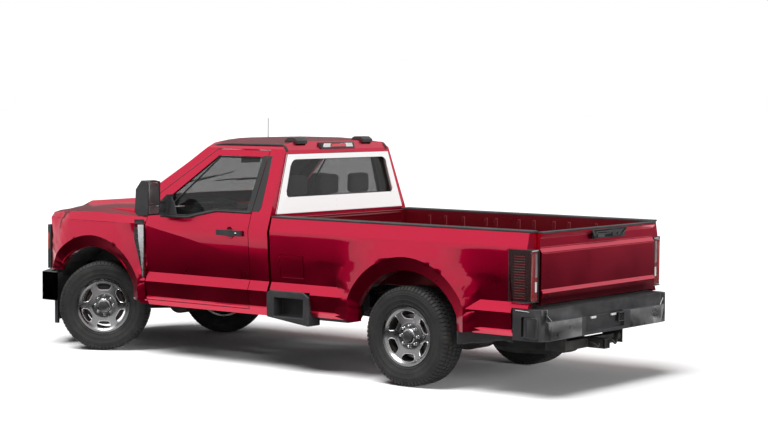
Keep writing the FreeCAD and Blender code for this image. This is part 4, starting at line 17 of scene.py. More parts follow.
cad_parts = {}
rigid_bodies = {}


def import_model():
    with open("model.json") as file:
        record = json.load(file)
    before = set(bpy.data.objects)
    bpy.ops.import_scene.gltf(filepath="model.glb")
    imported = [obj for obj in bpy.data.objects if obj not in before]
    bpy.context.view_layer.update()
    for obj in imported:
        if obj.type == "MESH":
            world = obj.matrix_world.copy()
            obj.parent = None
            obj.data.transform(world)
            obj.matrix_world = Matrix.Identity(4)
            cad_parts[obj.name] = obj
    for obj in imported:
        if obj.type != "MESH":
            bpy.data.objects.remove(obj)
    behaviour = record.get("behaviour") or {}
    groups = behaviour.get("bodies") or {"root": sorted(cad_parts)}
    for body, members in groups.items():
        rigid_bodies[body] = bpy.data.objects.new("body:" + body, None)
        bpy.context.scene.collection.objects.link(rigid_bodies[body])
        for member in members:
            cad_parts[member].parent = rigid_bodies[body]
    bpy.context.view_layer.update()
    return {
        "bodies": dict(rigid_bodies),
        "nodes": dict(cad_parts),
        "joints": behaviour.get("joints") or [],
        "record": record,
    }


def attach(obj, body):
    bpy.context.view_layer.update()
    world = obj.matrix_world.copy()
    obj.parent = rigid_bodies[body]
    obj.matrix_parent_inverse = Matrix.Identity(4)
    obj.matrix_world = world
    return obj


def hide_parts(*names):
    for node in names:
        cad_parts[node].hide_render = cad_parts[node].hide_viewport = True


LOG = logging.getLogger("pickup")
Piece = bpy.types.Object
Socket = bpy.types.NodeSocket
Point = tuple[float, float, float]
Colour = tuple[float, float, float]
Outline = Sequence[Sequence[float]]
FaceTest = Callable[[Vector, Vector], bool]

# The six ways of the shared frame.
FORWARD, BACK = (1.0, 0.0, 0.0), (-1.0, 0.0, 0.0)
LEFT, RIGHT = (0.0, 1.0, 0.0), (0.0, -1.0, 0.0)
UP, DOWN = (0.0, 0.0, 1.0), (0.0, 0.0, -1.0)
ORIGIN = (0.0, 0.0, 0.0)

# The truck's two sides, and the sign of Y there.
SIDES = (("left", 1), ("right", -1))

# The axles, in metres, and how far the front wheels are turned at rest, in degrees.
FRONT_AXLE_X = 1.974
REAR_AXLE_X = -1.623
AXLE_HEIGHT = 0.411
KINGPIN_Y = 0.81
KINGPIN_TO_WHEEL = 0.0575
REAR_WHEEL_Y = 0.8535
STEERED = 34.0

# A face whose normal points this much one way looks that way.
FACES_THAT_WAY = 0.9

# A panel's faces whose directions differ by less than this, in degrees, are one face.
SAME_FACE = 0.6


class Body(Enum):
    """The bodies of the frame that pieces ride on."""

    CHASSIS = "chassis"
    HOOD = "hood"
    LEFT_DOOR = "left_door"
    RIGHT_DOOR = "right_door"
    TAILGATE = "tail_gate"
    FUEL_DOOR = "fuel_flap"
    HAND_WHEEL = "hand_wheel"
    LEFT_KNUCKLE = "left_knuckle"
    RIGHT_KNUCKLE = "right_knuckle"
    FRONT_LEFT = "front_left_wheel"
    FRONT_RIGHT = "front_right_wheel"
    REAR_LEFT = "rear_left_wheel"
    REAR_RIGHT = "rear_right_wheel"


class Axis(Enum):
    """The way a round piece points, as the turn that takes +Z there."""

    X = (0.0, math.pi / 2, 0.0)
    Y = (-math.pi / 2, 0.0, 0.0)
    Z = (0.0, 0.0, 0.0)


class Graph:
    """A material's node graph, built node by node."""

    def __init__(self, name: str) -> None:
        """Starts an empty material that ends in a Principled shader.

        Args:
            name: the material's name.
        """
        self.material = bpy.data.materials.new(name)
        self.material.use_nodes = True
        self.nodes = self.material.node_tree.nodes
        self.links = self.material.node_tree.links
        self.shader = self.nodes["Principled BSDF"]

    def set(self, **values: float | Colour) -> None:
        """Sets the shader's sockets; a name's underscores stand for spaces."""
        for name, value in values.items():
            socket = self.shader.inputs[name.replace("_", " ")]
            socket.default_value = (*value, 1.0) if socket.type == "RGBA" else value

    def add(self, kind: str, **values: object) -> bpy.types.Node:
        """Adds a node.

        Args:
            kind: the node's type without its leading words.
            values: sockets by name, or linked sockets of other nodes.

        Returns:
            The new node.
        """
        node = self.nodes.new("ShaderNode" + kind)
        for name, value in values.items():
            socket = node.inputs[name.replace("_", " ")]
            if isinstance(value, Socket):
                self.links.new(value, socket)
            else:
                socket.default_value = value
        return node

    def place(self) -> Socket:
        """The place on the object, in metres."""
        return self.add("TexCoord").outputs["Object"]

    def noise(self, scale: float, detail: float = 3.0, rough: float = 0.55) -> Socket:
        """Cloudy noise over the object."""
        return self.add(
            "TexNoise", Vector=self.place(), Scale=scale, Detail=detail, Roughness=rough
        ).outputs["Fac"]

    def between(
        self, amount: Socket, low: float, high: float, start: float = 0.3, end: float = 0.7
    ) -> Socket:
        """Maps a grey value from start and end to low and high."""
        node = self.add("MapRange", Value=amount)
        for name, value in (("From Min", start), ("From Max", end), ("To Min", low), ("To Max", high)):
            node.inputs[name].default_value = value
        return node.outputs["Result"]

    def mix(self, amount: Socket, first: Colour, second: Colour) -> Socket:
        """A colour between two others."""
        node = self.nodes.new("ShaderNodeMix")
        node.data_type = "RGBA"
        self.links.new(amount, node.inputs[0])
        node.inputs[6].default_value = (*first, 1.0)
        node.inputs[7].default_value = (*second, 1.0)
        return node.outputs[2]

    def feed(self, name: str, value: Socket) -> None:
        """Links a value to one of the shader's sockets."""
        self.links.new(value, self.shader.inputs[name])

    def mottle(self, cloud: Socket, share: tuple[float, float, float], first: Colour, second: Colour) -> None:
        """Colours the shader with clouds of a second colour over a first.

        Args:
            cloud: the noise that makes the clouds.
            share: the noise where they start, the noise where they are full, and how full they are there.
            first: the colour between the clouds.
            second: the colour of the clouds.
        """
        start, end, most = share
        self.feed("Base Color", self.mix(self.between(cloud, 0.0, most, start, end), first, second))

    def bump(self, height: Socket, strength: float, distance: float, over: Socket | None = None) -> Socket:
        """Turns a height into the shader's normal, over an earlier bump if there is one."""
        node = self.add("Bump", Height=height, Strength=strength, Distance=distance)
        if over is not None:
            self.links.new(over, node.inputs["Normal"])
        self.feed("Normal", node.outputs["Normal"])
        return node.outputs["Normal"]


@dataclass(frozen=True)
class Finish:
    """What every finish has: a name, the slot that it fills and its main colour."""

    name: str
    slot: str
    colour: Colour

    def make(self) -> bpy.types.Material:
        """Builds the finish as a material."""
        raise NotImplementedError


@dataclass(frozen=True)
class Paint(Finish):
    """Car paint: a metallic base with fine flakes and a clear coat with slight peel."""

    light: Colour
    metal: float
    flake: float

    def make(self) -> bpy.types.Material:
        """Builds the paint."""
        graph = Graph(self.name)
        graph.set(Metallic=self.metal, Roughness=0.3, Coat_Weight=0.6, Coat_Roughness=0.03, Coat_IOR=1.5)
        flakes = graph.add("TexVoronoi", Vector=graph.place(), Scale=1400.0)
        tint = graph.between(flakes.outputs["Distance"], 0.0, self.flake, 0.0, 0.9)
        graph.feed("Base Color", graph.mix(tint, self.colour, self.light))
        graph.feed("Roughness", graph.between(graph.noise(3.0), 0.27, 0.33))
        graph.bump(graph.noise(420.0, 1.0), 0.05, 0.0004)
        return graph.material


@dataclass(frozen=True)
class Chrome(Finish):
    """Bright plated metal with a faint haze."""

    haze: float

    def make(self) -> bpy.types.Material:
        """Builds the plating."""
        graph = Graph(self.name)
        graph.set(Base_Color=self.colour, Metallic=1.0)
        graph.feed("Roughness", graph.between(graph.noise(9.0, 4.0), self.haze * 0.6, self.haze * 1.5))
        graph.bump(graph.noise(60.0, 2.0), 0.02, 0.0006)
        return graph.material


@dataclass(frozen=True)
class Moulding(Finish):
    """Moulded plastic or rubber with a pebbled grain and light scuffs."""

    worn: Colour
    rough: float
    grain: float
    depth: float

    def make(self) -> bpy.types.Material:
        """Builds the plastic."""
        graph = Graph(self.name)
        graph.set(Specular_IOR_Level=0.45)
        graph.mottle(graph.noise(5.0, 6.0), (0.45, 0.8, 1.0), self.colour, self.worn)
        graph.feed("Roughness", graph.between(graph.noise(14.0), self.rough - 0.06, self.rough + 0.08))
        pebble = graph.add("TexVoronoi", Vector=graph.place(), Scale=self.grain)
        graph.bump(pebble.outputs["Distance"], 0.25, self.depth)
        return graph.material


@dataclass(frozen=True)
class Metal(Finish):
    """Bare or dipped metal: cast, rolled or painted, with dust and stains."""

    stain: Colour
    metal: float
    rough: float
    grain: float
    depth: float

    def make(self) -> bpy.types.Material:
        """Builds the metal."""
        graph = Graph(self.name)
        graph.set(Metallic=self.metal)
        graph.mottle(graph.noise(7.0, 8.0), (0.4, 0.75, 1.0), self.colour, self.stain)
        graph.feed("Roughness", graph.between(graph.noise(20.0, 5.0), self.rough - 0.1, self.rough + 0.1))
        graph.bump(graph.noise(self.grain, 4.0), 0.3, self.depth)
        return graph.material


@dataclass(frozen=True)
class Glass(Finish):
    """Tinted safety glass that is seen through."""

    clear: float

    def make(self) -> bpy.types.Material:
        """Builds the glass."""
        graph = Graph(self.name)
        graph.set(
            Base_Color=self.colour, Roughness=0.02, IOR=1.5, Alpha=1.0 - self.clear, Specular_IOR_Level=0.6
        )
        graph.bump(graph.noise(2.5, 1.0), 0.004, 0.002)
        return graph.material


@dataclass(frozen=True)
class Lens(Finish):
    """A moulded lamp cover with fine optics pressed in it."""

    flute: float
    clear: float = 0.0

    def make(self) -> bpy.types.Material:
        """Builds the lens."""
        graph = Graph(self.name)
        graph.set(
            Base_Color=self.colour, Roughness=0.08, IOR=1.49, Coat_Weight=1.0, Coat_Roughness=0.02,
            Alpha=1.0 - self.clear,
        )
        waves = graph.add("TexWave", Vector=graph.place(), Scale=self.flute)
        waves.bands_direction = "Z"
        graph.bump(waves.outputs["Fac"], 0.3, 0.0012)
        return graph.material


@dataclass(frozen=True)
class Tyre(Finish):
    """Black tyre rubber, greyer where the road dusts it."""

    dust: Colour

    def make(self) -> bpy.types.Material:
        """Builds the rubber."""
        graph = Graph(self.name)
        graph.set(Specular_IOR_Level=0.35)
        graph.mottle(graph.noise(6.0, 8.0), (0.45, 0.85, 0.7), self.colour, self.dust)
        graph.feed("Roughness", graph.between(graph.noise(18.0), 0.62, 0.8))
        graph.bump(graph.noise(260.0, 4.0), 0.2, 0.0008)
        return graph.material


@dataclass(frozen=True)
class Cloth(Finish):
    """Woven seat cloth with crossing threads."""

    fleck: Colour
    threads: float

    def make(self) -> bpy.types.Material:
        """Builds the cloth."""
        graph = Graph(self.name)
        graph.set(Roughness=0.9, Sheen_Weight=0.35, Sheen_Roughness=0.5, Specular_IOR_Level=0.2)
        graph.mottle(graph.noise(160.0, 2.0), (0.4, 0.6, 1.0), self.colour, self.fleck)
        warp = graph.add("TexWave", Vector=graph.place(), Scale=self.threads)
        warp.bands_direction = "Y"
        weft = graph.add("TexWave", Vector=graph.place(), Scale=self.threads)
        weft.bands_direction = "Z"
        first = graph.bump(warp.outputs["Fac"], 0.4, 0.0006)
        graph.bump(weft.outputs["Fac"], 0.4, 0.0006, first)
        return graph.material


RED = Paint("deep_red_paint", "body_paint", (0.44, 0.001, 0.024), (0.94, 0.006, 0.088), 1.0, 0.45)
# A much darker red for the inside of the load bed: painted shade for the dim inside of the bed.
SHADED_BED_RED = Paint("bed_painted_shade_red", "body_paint", (0.13, 0.001, 0.006), (0.2, 0.004, 0.012), 0.5, 0.5)
WHITE = Paint("white_paint", "white_panel", (0.93, 0.93, 0.93), (0.96, 0.96, 0.96), 0.0, 0.3)
CHROME = Chrome("bright_chrome", "bright_chrome", (0.78, 0.79, 0.8), 0.07)
# Rim chrome far darker than bright chrome: painted shade for the dark surroundings the rims reflect.
SHADED_WHEEL_CHROME = Chrome("wheel_chrome", "bright_chrome", (0.25, 0.25, 0.255), 0.28)
# Bumper chrome far darker than bright chrome: painted shade for the dark surroundings the bumper reflects.
SHADED_BUMPER_CHROME = Chrome("bumper_chrome", "bright_chrome", (0.2, 0.2, 0.205), 0.36)
WHEEL_BRIGHT = Chrome("wheel_border_chrome", "bright_chrome", (0.46, 0.46, 0.465), 0.24)
MIRROR = Chrome("mirror_silver", "bright_chrome", (0.8, 0.82, 0.83), 0.02)
SIDE_MIRROR = Chrome("side_mirror", "bright_chrome", (0.32, 0.325, 0.33), 0.42)
BLACK_TRIM = Moulding(
    "black_trim", "black_trim", (0.022, 0.022, 0.024), (0.05, 0.05, 0.052), 0.55, 900.0, 0.0006
)
SMOOTH_BLACK = Moulding(
    "smooth_black", "black_trim", (0.012, 0.012, 0.013), (0.02, 0.02, 0.021), 0.3, 1600.0, 0.0002
)
RUBBER = Moulding(
    "rubber_seal", "black_trim", (0.014, 0.014, 0.014), (0.035, 0.035, 0.034), 0.7, 1500.0, 0.0004
)
CABIN = Moulding(
    "cabin_plastic", "cabin_plastic", (0.055, 0.052, 0.052), (0.085, 0.08, 0.08), 0.6, 1100.0, 0.0004
)
HEADLINING = Moulding(
    "headlining", "cabin_plastic", (0.34, 0.32, 0.3), (0.38, 0.36, 0.34), 0.85, 700.0, 0.001
)
CHASSIS_BLACK = Metal(
    "chassis_black", "chassis_black", (0.018, 0.018, 0.019), (0.055, 0.048, 0.042), 0.2, 0.5, 90.0, 0.0012
)
CAST = Metal("cast_parts", "cast_parts", (0.06, 0.06, 0.062), (0.12, 0.085, 0.065), 0.6, 0.6, 240.0, 0.0016)
STEEL = Metal("worn_steel", "exhaust_steel", (0.34, 0.33, 0.32), (0.2, 0.14, 0.1), 0.85, 0.42, 120.0, 0.0006)
ALUMINIUM = Metal(
    "aluminium_fins", "aluminium_core", (0.4, 0.41, 0.42), (0.28, 0.28, 0.28), 0.8, 0.5, 300.0, 0.0008
)
TINT = Glass("tinted_glass", "dark_glass", (0.004, 0.005, 0.005), 0.58)
LAMP_CLEAR = Lens("clear_lens", "lamp_cover", (0.62, 0.64, 0.66), 60.0, 0.55)
LAMP_DARK = Moulding(
    "lamp_housing", "lamp_cover", (0.03, 0.03, 0.032), (0.05, 0.05, 0.05), 0.25, 1500.0, 0.0002
)
RED_LENS = Lens("red_lens", "red_lens", (0.25, 0.006, 0.01), 70.0)
WHITE_LENS = Lens("white_lens", "red_lens", (0.72, 0.72, 0.72), 80.0)
AMBER_LENS = Lens("amber_lens", "lamp_cover", (0.62, 0.07, 0.02), 70.0)
TYRE = Tyre("tyre_rubber", "tyre_rubber", (0.016, 0.016, 0.016), (0.05, 0.048, 0.045))
SEAT_CLOTH = Cloth("seat_cloth", "seat_cloth", (0.11, 0.1, 0.1), (0.2, 0.19, 0.18), 210.0)
# A near-black red for the bowl in each door-handle recess: painted shade.
SHADE_RED = Paint("shaded_red_paint", "body_paint", (0.03, 0.002, 0.004), (0.05, 0.004, 0.006), 0.4, 0.4)
GLOSS_BLACK = Moulding(
    "gloss_black", "black_trim", (0.018, 0.019, 0.02), (0.024, 0.024, 0.025), 0.12, 1600.0, 0.00005
)
CAP_GREY = Moulding("cap_grey", "black_trim", (0.03, 0.031, 0.033), (0.05, 0.05, 0.05), 0.32, 1200.0, 0.0002)
SATIN_SILVER = Chrome("satin_silver", "bright_chrome", (0.62, 0.63, 0.64), 0.22)
DARK_LENS = Lens("dark_lens", "red_lens", (0.022, 0.002, 0.003), 60.0)
DOTTED_LENS = Lens("dotted_lens", "red_lens", (0.16, 0.006, 0.01), 150.0)
GREY_LENS = Lens("grey_lens", "red_lens", (0.16, 0.15, 0.155), 120.0)
STOP_RED = Lens("stop_red_lens", "red_lens", (0.62, 0.01, 0.03), 90.0)


@dataclass(frozen=True)
class Swelling:
    """Where a side panel swells: how far out, high and along, and how far from the axle its points are."""

    out: float
    high: tuple[float, float]
    along: tuple[float, float]
    reach: tuple[float, float]

    def holds(self, place: Vector) -> bool:
        """Whether a point of the panel is on the swelling."""
        axle = FRONT_AXLE_X if place.x > 0.0 else REAR_AXLE_X
        measures = (
            (place.z, self.high),
            (place.x, self.along),
            (math.hypot(place.x - axle, place.z - AXLE_HEIGHT), self.reach),
        )
        return abs(place.y) > self.out and all(low < value < high for value, (low, high) in measures)


ARCH_SWELLING = Swelling(0.945, (0.8, 1.175), (-2.58, 2.56), (0.7, 1.1))
CORNER_SWELLING = Swelling(0.88, (0.74, math.inf), (2.34, 2.575), (0.672, math.inf))


@dataclass
class Bench:
    """The workbench: the frame, the finishes that are made, and the modelling steps that the pieces share."""

    frame: dict
    made: dict[str, bpy.types.Material] = field(default_factory=dict)
    skins: dict[str, BVHTree] = field(default_factory=dict)
    swelling_merge: float = 0.012
    swelling_rounds: int = 30

    def material(self, finish: Finish) -> bpy.types.Material:
        """The finish's material, made once."""
        if finish.name not in self.made:
            self.made[finish.name] = finish.make()
        return self.made[finish.name]

    def only(self, *pieces: Piece) -> None:
        """Selects these pieces and nothing else."""
        if bpy.context.object and bpy.context.object.mode != "OBJECT":
            bpy.ops.object.mode_set(mode="OBJECT")
        bpy.ops.object.select_all(action="DESELECT")
        for piece in pieces:
            piece.select_set(True)
        bpy.context.view_layer.objects.active = pieces[0]

    def settle(self, piece: Piece) -> Piece:
        """Puts a piece's place in its mesh."""
        self.only(piece)
        bpy.ops.object.transform_apply(location=True, rotation=True, scale=True)
        return piece

    def block(self, name: str, low: Sequence[float], high: Sequence[float]) -> Piece:
        """Adds a box between two corners."""
        middle = [(a + b) / 2 for a, b in zip(low, high)]
        bpy.ops.mesh.primitive_cube_add(size=1.0, location=middle)
        piece = bpy.context.object
        piece.name = name
        piece.scale = [abs(b - a) for a, b in zip(low, high)]
        return self.settle(piece)

    def drum(
        self, name: str, centre: Sequence[float], radius: float, depth: float, axis: Axis, sides: int = 32
    ) -> Piece:
        """Adds a round bar about its centre."""
        bpy.ops.mesh.primitive_cylinder_add(
            vertices=sides, radius=radius, depth=depth, location=centre, rotation=axis.value
        )
        piece = bpy.context.object
        piece.name = name
        return self.settle(piece)

    @contextmanager
    def editing(self, piece: Piece) -> Iterator[Piece]:
        """Edit mode on one piece, left again at the end."""
        self.only(piece)
        bpy.ops.object.mode_set(mode="EDIT")
        yield piece
        bpy.ops.object.mode_set(mode="OBJECT")

    def pick(self, piece: Piece, test: FaceTest) -> int:
        """Selects the faces that pass a test of their centre and normal.

        Args:
            piece: the piece, in edit mode.
            test: takes a face's centre and its normal.

        Returns:
            How many faces are selected.
        """
        bpy.ops.mesh.select_mode(type="FACE")
        bpy.ops.mesh.select_all(action="DESELECT")
        bpy.ops.object.mode_set(mode="OBJECT")
        count = 0
        for face in piece.data.polygons:
            face.select = bool(test(face.center, face.normal))
            count += face.select
        bpy.ops.object.mode_set(mode="EDIT")
        return count

    def press(self, piece: Piece, way: Point, inset: float, push: float) -> Piece:
        """Insets the faces that look one way and moves them along their normal."""
        with self.editing(piece):
            if self.pick(piece, lambda centre, normal: normal.dot(way) > FACES_THAT_WAY):
                bpy.ops.mesh.inset(thickness=inset, depth=push, use_even_offset=True)
        return piece

    def apply(self, piece: Piece, modifier: bpy.types.Modifier) -> None:
        """Applies a piece's modifier."""
        self.only(piece)
        bpy.ops.object.modifier_apply(modifier=modifier.name)

    def soften(self, piece: Piece, width: float, segments: int = 2, angle: float = 30.0) -> Piece:
        """Rounds a piece's edges and smooths its faces."""
        bevel = piece.modifiers.new("edges", "BEVEL")
        bevel.width, bevel.segments, bevel.limit_method = width, segments, "ANGLE"
        bevel.angle_limit = math.radians(angle)
        bevel.harden_normals = False
        self.apply(piece, bevel)
        bpy.ops.object.shade_smooth_by_angle(angle=math.radians(38))
        return piece

    def dress(
        self, piece: Piece, finish: Finish, body: Body = Body.CHASSIS, replaced: Iterable[str] = ()
    ) -> Piece:
        """Gives a piece its finish, the body it rides on and the nodes it stands for."""
        piece.data.materials.clear()
        piece.data.materials.append(self.material(finish))
        if replaced:
            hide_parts(*replaced)
        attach(piece, body.value)
        LOG.info("%s rides on %s", piece.name, body.value)
        return piece

    def join(self, name: str, pieces: Sequence[Piece]) -> Piece:
        """Joins pieces in one mesh."""
        self.only(*pieces)
        bpy.ops.object.join()
        joined = bpy.context.object
        joined.name = name
        return joined

    def skin(self, node: str) -> BVHTree:
        """The searchable surface of a CAD node."""
        if node not in self.skins:
            mesh = self.frame["nodes"][node].data
            self.skins[node] = BVHTree.FromPolygons(
                [v.co for v in mesh.vertices], [p.vertices for p in mesh.polygons]
            )
        return self.skins[node]

    def meet(self, node: str, start: Sequence[float], towards: Sequence[float]) -> Vector:
        """Where a line first meets a CAD node.

        Args:
            node: the CAD node's name.
            start: a point outside it.
            towards: the line's direction.

        Returns:
            The point on the node's surface.
        """
        place, _, _, _ = self.skin(node).ray_cast(Vector(start), Vector(towards).normalized())
        if place is None:
            raise ValueError(f"no line from {tuple(start)} meets {node}")
        return place

    def shell(
        self, node: str, finish: Finish, body: Body, edge: float, segments: int = 2, mesh_step: float = 0.0
    ) -> Piece:
        """A copy of a CAD node with merged faces and rounded edges, which stands for the node.

        Args:
            node: the CAD node's name.
            finish: the finish it gets.
            body: the body it rides on.
            edge: how far its edges are rounded.
            segments: how many steps round an edge.
            mesh_step: how closely its broad faces are cut up, so that its swellings can be smoothed.

        Returns:
            The dressed copy.
        """
        piece = linked(node + "_panel", self.frame["nodes"][node].data.copy())
        with self.editing(piece):
            bpy.ops.mesh.select_all(action="SELECT")
            bpy.ops.mesh.remove_doubles(threshold=0.00002)
            bpy.ops.mesh.dissolve_limited(angle_limit=math.radians(SAME_FACE))
        if mesh_step:
            self.grid(piece, mesh_step)
            self.smooth_swelling(piece)
        self.soften(piece, edge, segments, 24.0)
        self.flatten(piece)
        return self.dress(piece, finish, body, [node])

    def pad(
        self, name: str, box: tuple[Point, Point], way: Point, pressed: tuple[float, float], edge: float,
        segments: int = 2,
    ) -> Piece:
        """A box with one side pressed in or out and rounded edges.

        Args:
            name: the piece's name.
            box: its two corners.
            way: the way the pressed side looks.
            pressed: how far the pressed face is inset, and how far it is pushed out.
            edge: how far its edges are rounded.
            segments: how many steps round an edge.

        Returns:
            The piece.
        """
        piece = self.press(self.block(name, *box), way, *pressed)
        return self.soften(piece, edge, segments)

    def bar(self, name: str, low: Point, high: Point, edge: float) -> Piece:
        """A box with rounded edges."""
        return self.soften(self.block(name, low, high), edge)

    def grid(self, piece: Piece, step: float) -> None:
        """Cuts a panel's faces along evenly spaced upright and level planes."""
        spans = []
        for axis in (0, 2):
            along = [vertex.co[axis] for vertex in piece.data.vertices]
            spans.append((axis, min(along), max(along)))
        with self.editing(piece):
            for axis, low, high in spans:
                for count in range(1, int((high - low) / step) + 1):
                    place, normal = [0.0, 0.0, 0.0], [0.0, 0.0, 0.0]
                    place[axis], normal[axis] = low + count * step, 1.0
                    bpy.ops.mesh.select_all(action="SELECT")
                    bpy.ops.mesh.bisect(plane_co=place, plane_no=normal)

    def smooth_swelling(self, piece: Piece) -> None:
        """Smooths the outside round a wheel arch and at a panel's front corner, in and out only."""
        with self.editing(piece):
            bpy.ops.mesh.select_mode(type="VERT")
            bpy.ops.mesh.select_all(action="DESELECT")
            bpy.ops.object.mode_set(mode="OBJECT")
            for vertex in piece.data.vertices:
                vertex.select = ARCH_SWELLING.holds(vertex.co) or CORNER_SWELLING.holds(vertex.co)
            bpy.ops.object.mode_set(mode="EDIT")
            bpy.ops.mesh.remove_doubles(threshold=self.swelling_merge)
            bpy.ops.mesh.vertices_smooth(
                factor=0.5, repeat=self.swelling_rounds, xaxis=False, yaxis=True, zaxis=False
            )

    def flatten(self, piece: Piece) -> None:
        """Lets broad faces shade flat and narrow ones take the turn between them."""
        weights = piece.modifiers.new("weights", "WEIGHTED_NORMAL")
        weights.weight, weights.keep_sharp = 50, True
        self.apply(piece, weights)

    def line(
        self, name: str, points: Outline, kind: str = "POLY"
    ) -> tuple[bpy.types.Curve, bpy.types.Spline]:
        """Starts a curve with one line through points."""
        curve = bpy.data.curves.new(name, "CURVE")
        curve.dimensions = "3D"
        spline = curve.splines.new(kind)
        spline.points.add(len(points) - 1)
        for point, place in zip(spline.points, points):
            point.co = (*place, 1.0)
        return curve, spline

    def meshed(self, name: str, curve: bpy.types.Curve) -> Piece:
        """Turns a curve into a mesh."""
        self.only(linked(name, curve))
        bpy.ops.object.convert(target="MESH")
        return bpy.context.object

    def weld(self, gap: float) -> None:
        """Merges the close points of the piece in edit mode, and turns its faces outwards."""
        bpy.ops.mesh.select_all(action="SELECT")
        bpy.ops.mesh.remove_doubles(threshold=gap)
        bpy.ops.mesh.normals_make_consistent(inside=False)

    def adopt(self, name: str, curve: bpy.types.Curve, place: Matrix | None = None) -> Piece:
        """Turns a curve into a smooth piece at its place.

        Args:
            name: the piece's name.
            curve: the curve to turn.
            place: the matrix that stands it on the truck.

        Returns:
            The mesh piece.
        """
        piece = self.meshed(name, curve)
        if place is not None:
            piece.matrix_world = place
            self.settle(piece)
        with self.editing(piece):
            self.weld(0.00001)
        bpy.ops.object.shade_smooth_by_angle(angle=math.radians(36))
        return piece

    def bead(
        self, name: str, points: Outline, radius: float, closed: bool = False, smooth: bool = False
    ) -> Piece:
        """Lays a round bead through points.

        Args:
            name: the piece's name.
            points: the points it follows.
            radius: half its thickness.
            closed: whether its end meets its start.
            smooth: whether it runs in a smooth line.

        Returns:
            The bead.
        """
        curve, spline = self.line(name, points, "NURBS" if smooth else "POLY")
        spline.use_cyclic_u = closed
        if smooth:
            spline.order_u, spline.use_endpoint_u, spline.resolution_u = 3, not closed, 6
        curve.bevel_depth, curve.bevel_resolution, curve.use_fill_caps = radius, 2, True
        return self.adopt(name, curve)

    def plate(self, name: str, points: Outline, thick: float, plane: Matrix, edge: float = 0.0) -> Piece:
        """Cuts a flat piece to an outline.

        Args:
            name: the piece's name.
            points: the outline's corners in the plane.
            thick: its thickness, half on each side of the plane.
            plane: the matrix whose X and Y run in the plane.
            edge: how far its edges are rounded.

        Returns:
            The flat piece.
        """
        curve, spline = self.line(name, [(x, y, 0.0) for x, y in points])
        curve.dimensions, curve.fill_mode = "2D", "BOTH"
        spline.use_cyclic_u = True
        curve.extrude = thick / 2
        piece = self.adopt(name, curve, plane)
        return self.soften(piece, edge, 2, 35.0) if edge else piece

    def turned(
        self, name: str, profile: Outline, centre: Sequence[float], axis: Axis, steps: int = 48
    ) -> Piece:
        """Turns a profile about an axis.

        Args:
            name: the piece's name.
            profile: corners as radius and place along the axis, closed where the first is repeated.
            centre: where the axis starts.
            axis: the way the axis points.
            steps: how many steps make a round.

        Returns:
            The turned piece.
        """
        curve, _ = self.line(name, [(radius, 0.0, along) for radius, along in profile])
        piece = self.meshed(name, curve)
        with self.editing(piece):
            bpy.ops.mesh.select_all(action="SELECT")
            bpy.ops.mesh.spin(steps=steps, angle=math.tau, center=ORIGIN, axis=UP)
            self.weld(0.00005)
        piece.rotation_euler = axis.value
        piece.location = centre
        self.settle(piece)
        bpy.ops.object.shade_smooth_by_angle(angle=math.radians(32))
        return piece

    def around(self, piece: Piece, count: int) -> Piece:
        """Repeats a piece in equal steps about the Y axis through the origin."""
        with self.editing(piece):
            bpy.ops.mesh.select_all(action="SELECT")
            share = (count - 1) / count
            bpy.ops.mesh.spin(steps=count - 1, dupli=True, angle=math.tau * share, center=ORIGIN, axis=LEFT)
        return piece

    def copied(self, piece: Piece, name: str, flip: bool, place: Matrix | None = None) -> Piece:
        """Copies a piece.

        Args:
            piece: the piece to copy.
            name: the copy's name.
            flip: whether it is mirrored for the right-hand side, with its faces turned right again.
            place: the matrix that stands a piece made at the origin on the truck.

        Returns:
            The copy.
        """
        copy = piece.copy()
        copy.data = piece.data.copy()
        copy.name = name
        bpy.context.scene.collection.objects.link(copy)
        if flip:
            copy.data.transform(Matrix.Scale(-1, 4, LEFT))
            copy.data.flip_normals()
        if place is not None:
            copy.data.transform(place)
        return copy

    def split(self, piece: Piece, place: Sequence[float], normal: Sequence[float]) -> None:
        """Cuts a piece's faces along a plane, and keeps both sides."""
        with self.editing(piece):
            bpy.ops.mesh.select_all(action="SELECT")
            bpy.ops.mesh.bisect(plane_co=place, plane_no=normal)

    def on_doors(self, piece: Piece, finish: Finish) -> None:
        """Dresses a piece of the left door and its copy on the right one."""
        self.both(piece, finish, Body.LEFT_DOOR, Body.RIGHT_DOOR)

    def both(
        self, piece: Piece, finish: Finish, left: Body = Body.CHASSIS, right: Body = Body.CHASSIS
    ) -> None:
        """Dresses a left-hand piece and its copy for the right-hand side."""
        other = self.copied(piece, piece.name.replace("left", "right"), True)
        self.dress(piece, finish, left)
        self.dress(other, finish, right)

    def part_finish(self, piece: Piece, finish: Finish, test: FaceTest) -> None:
        """Gives the faces that pass a test another finish."""
        piece.data.materials.append(self.material(finish))
        index = len(piece.data.materials) - 1
        for face in piece.data.polygons:
            if test(face.center, face.normal):
                face.material_index = index


@dataclass
class Assembly:
    """A group of pieces that are made on the bench."""

    bench: Bench

    def build(self) -> None:
        """Makes the group's pieces."""
        raise NotImplementedError


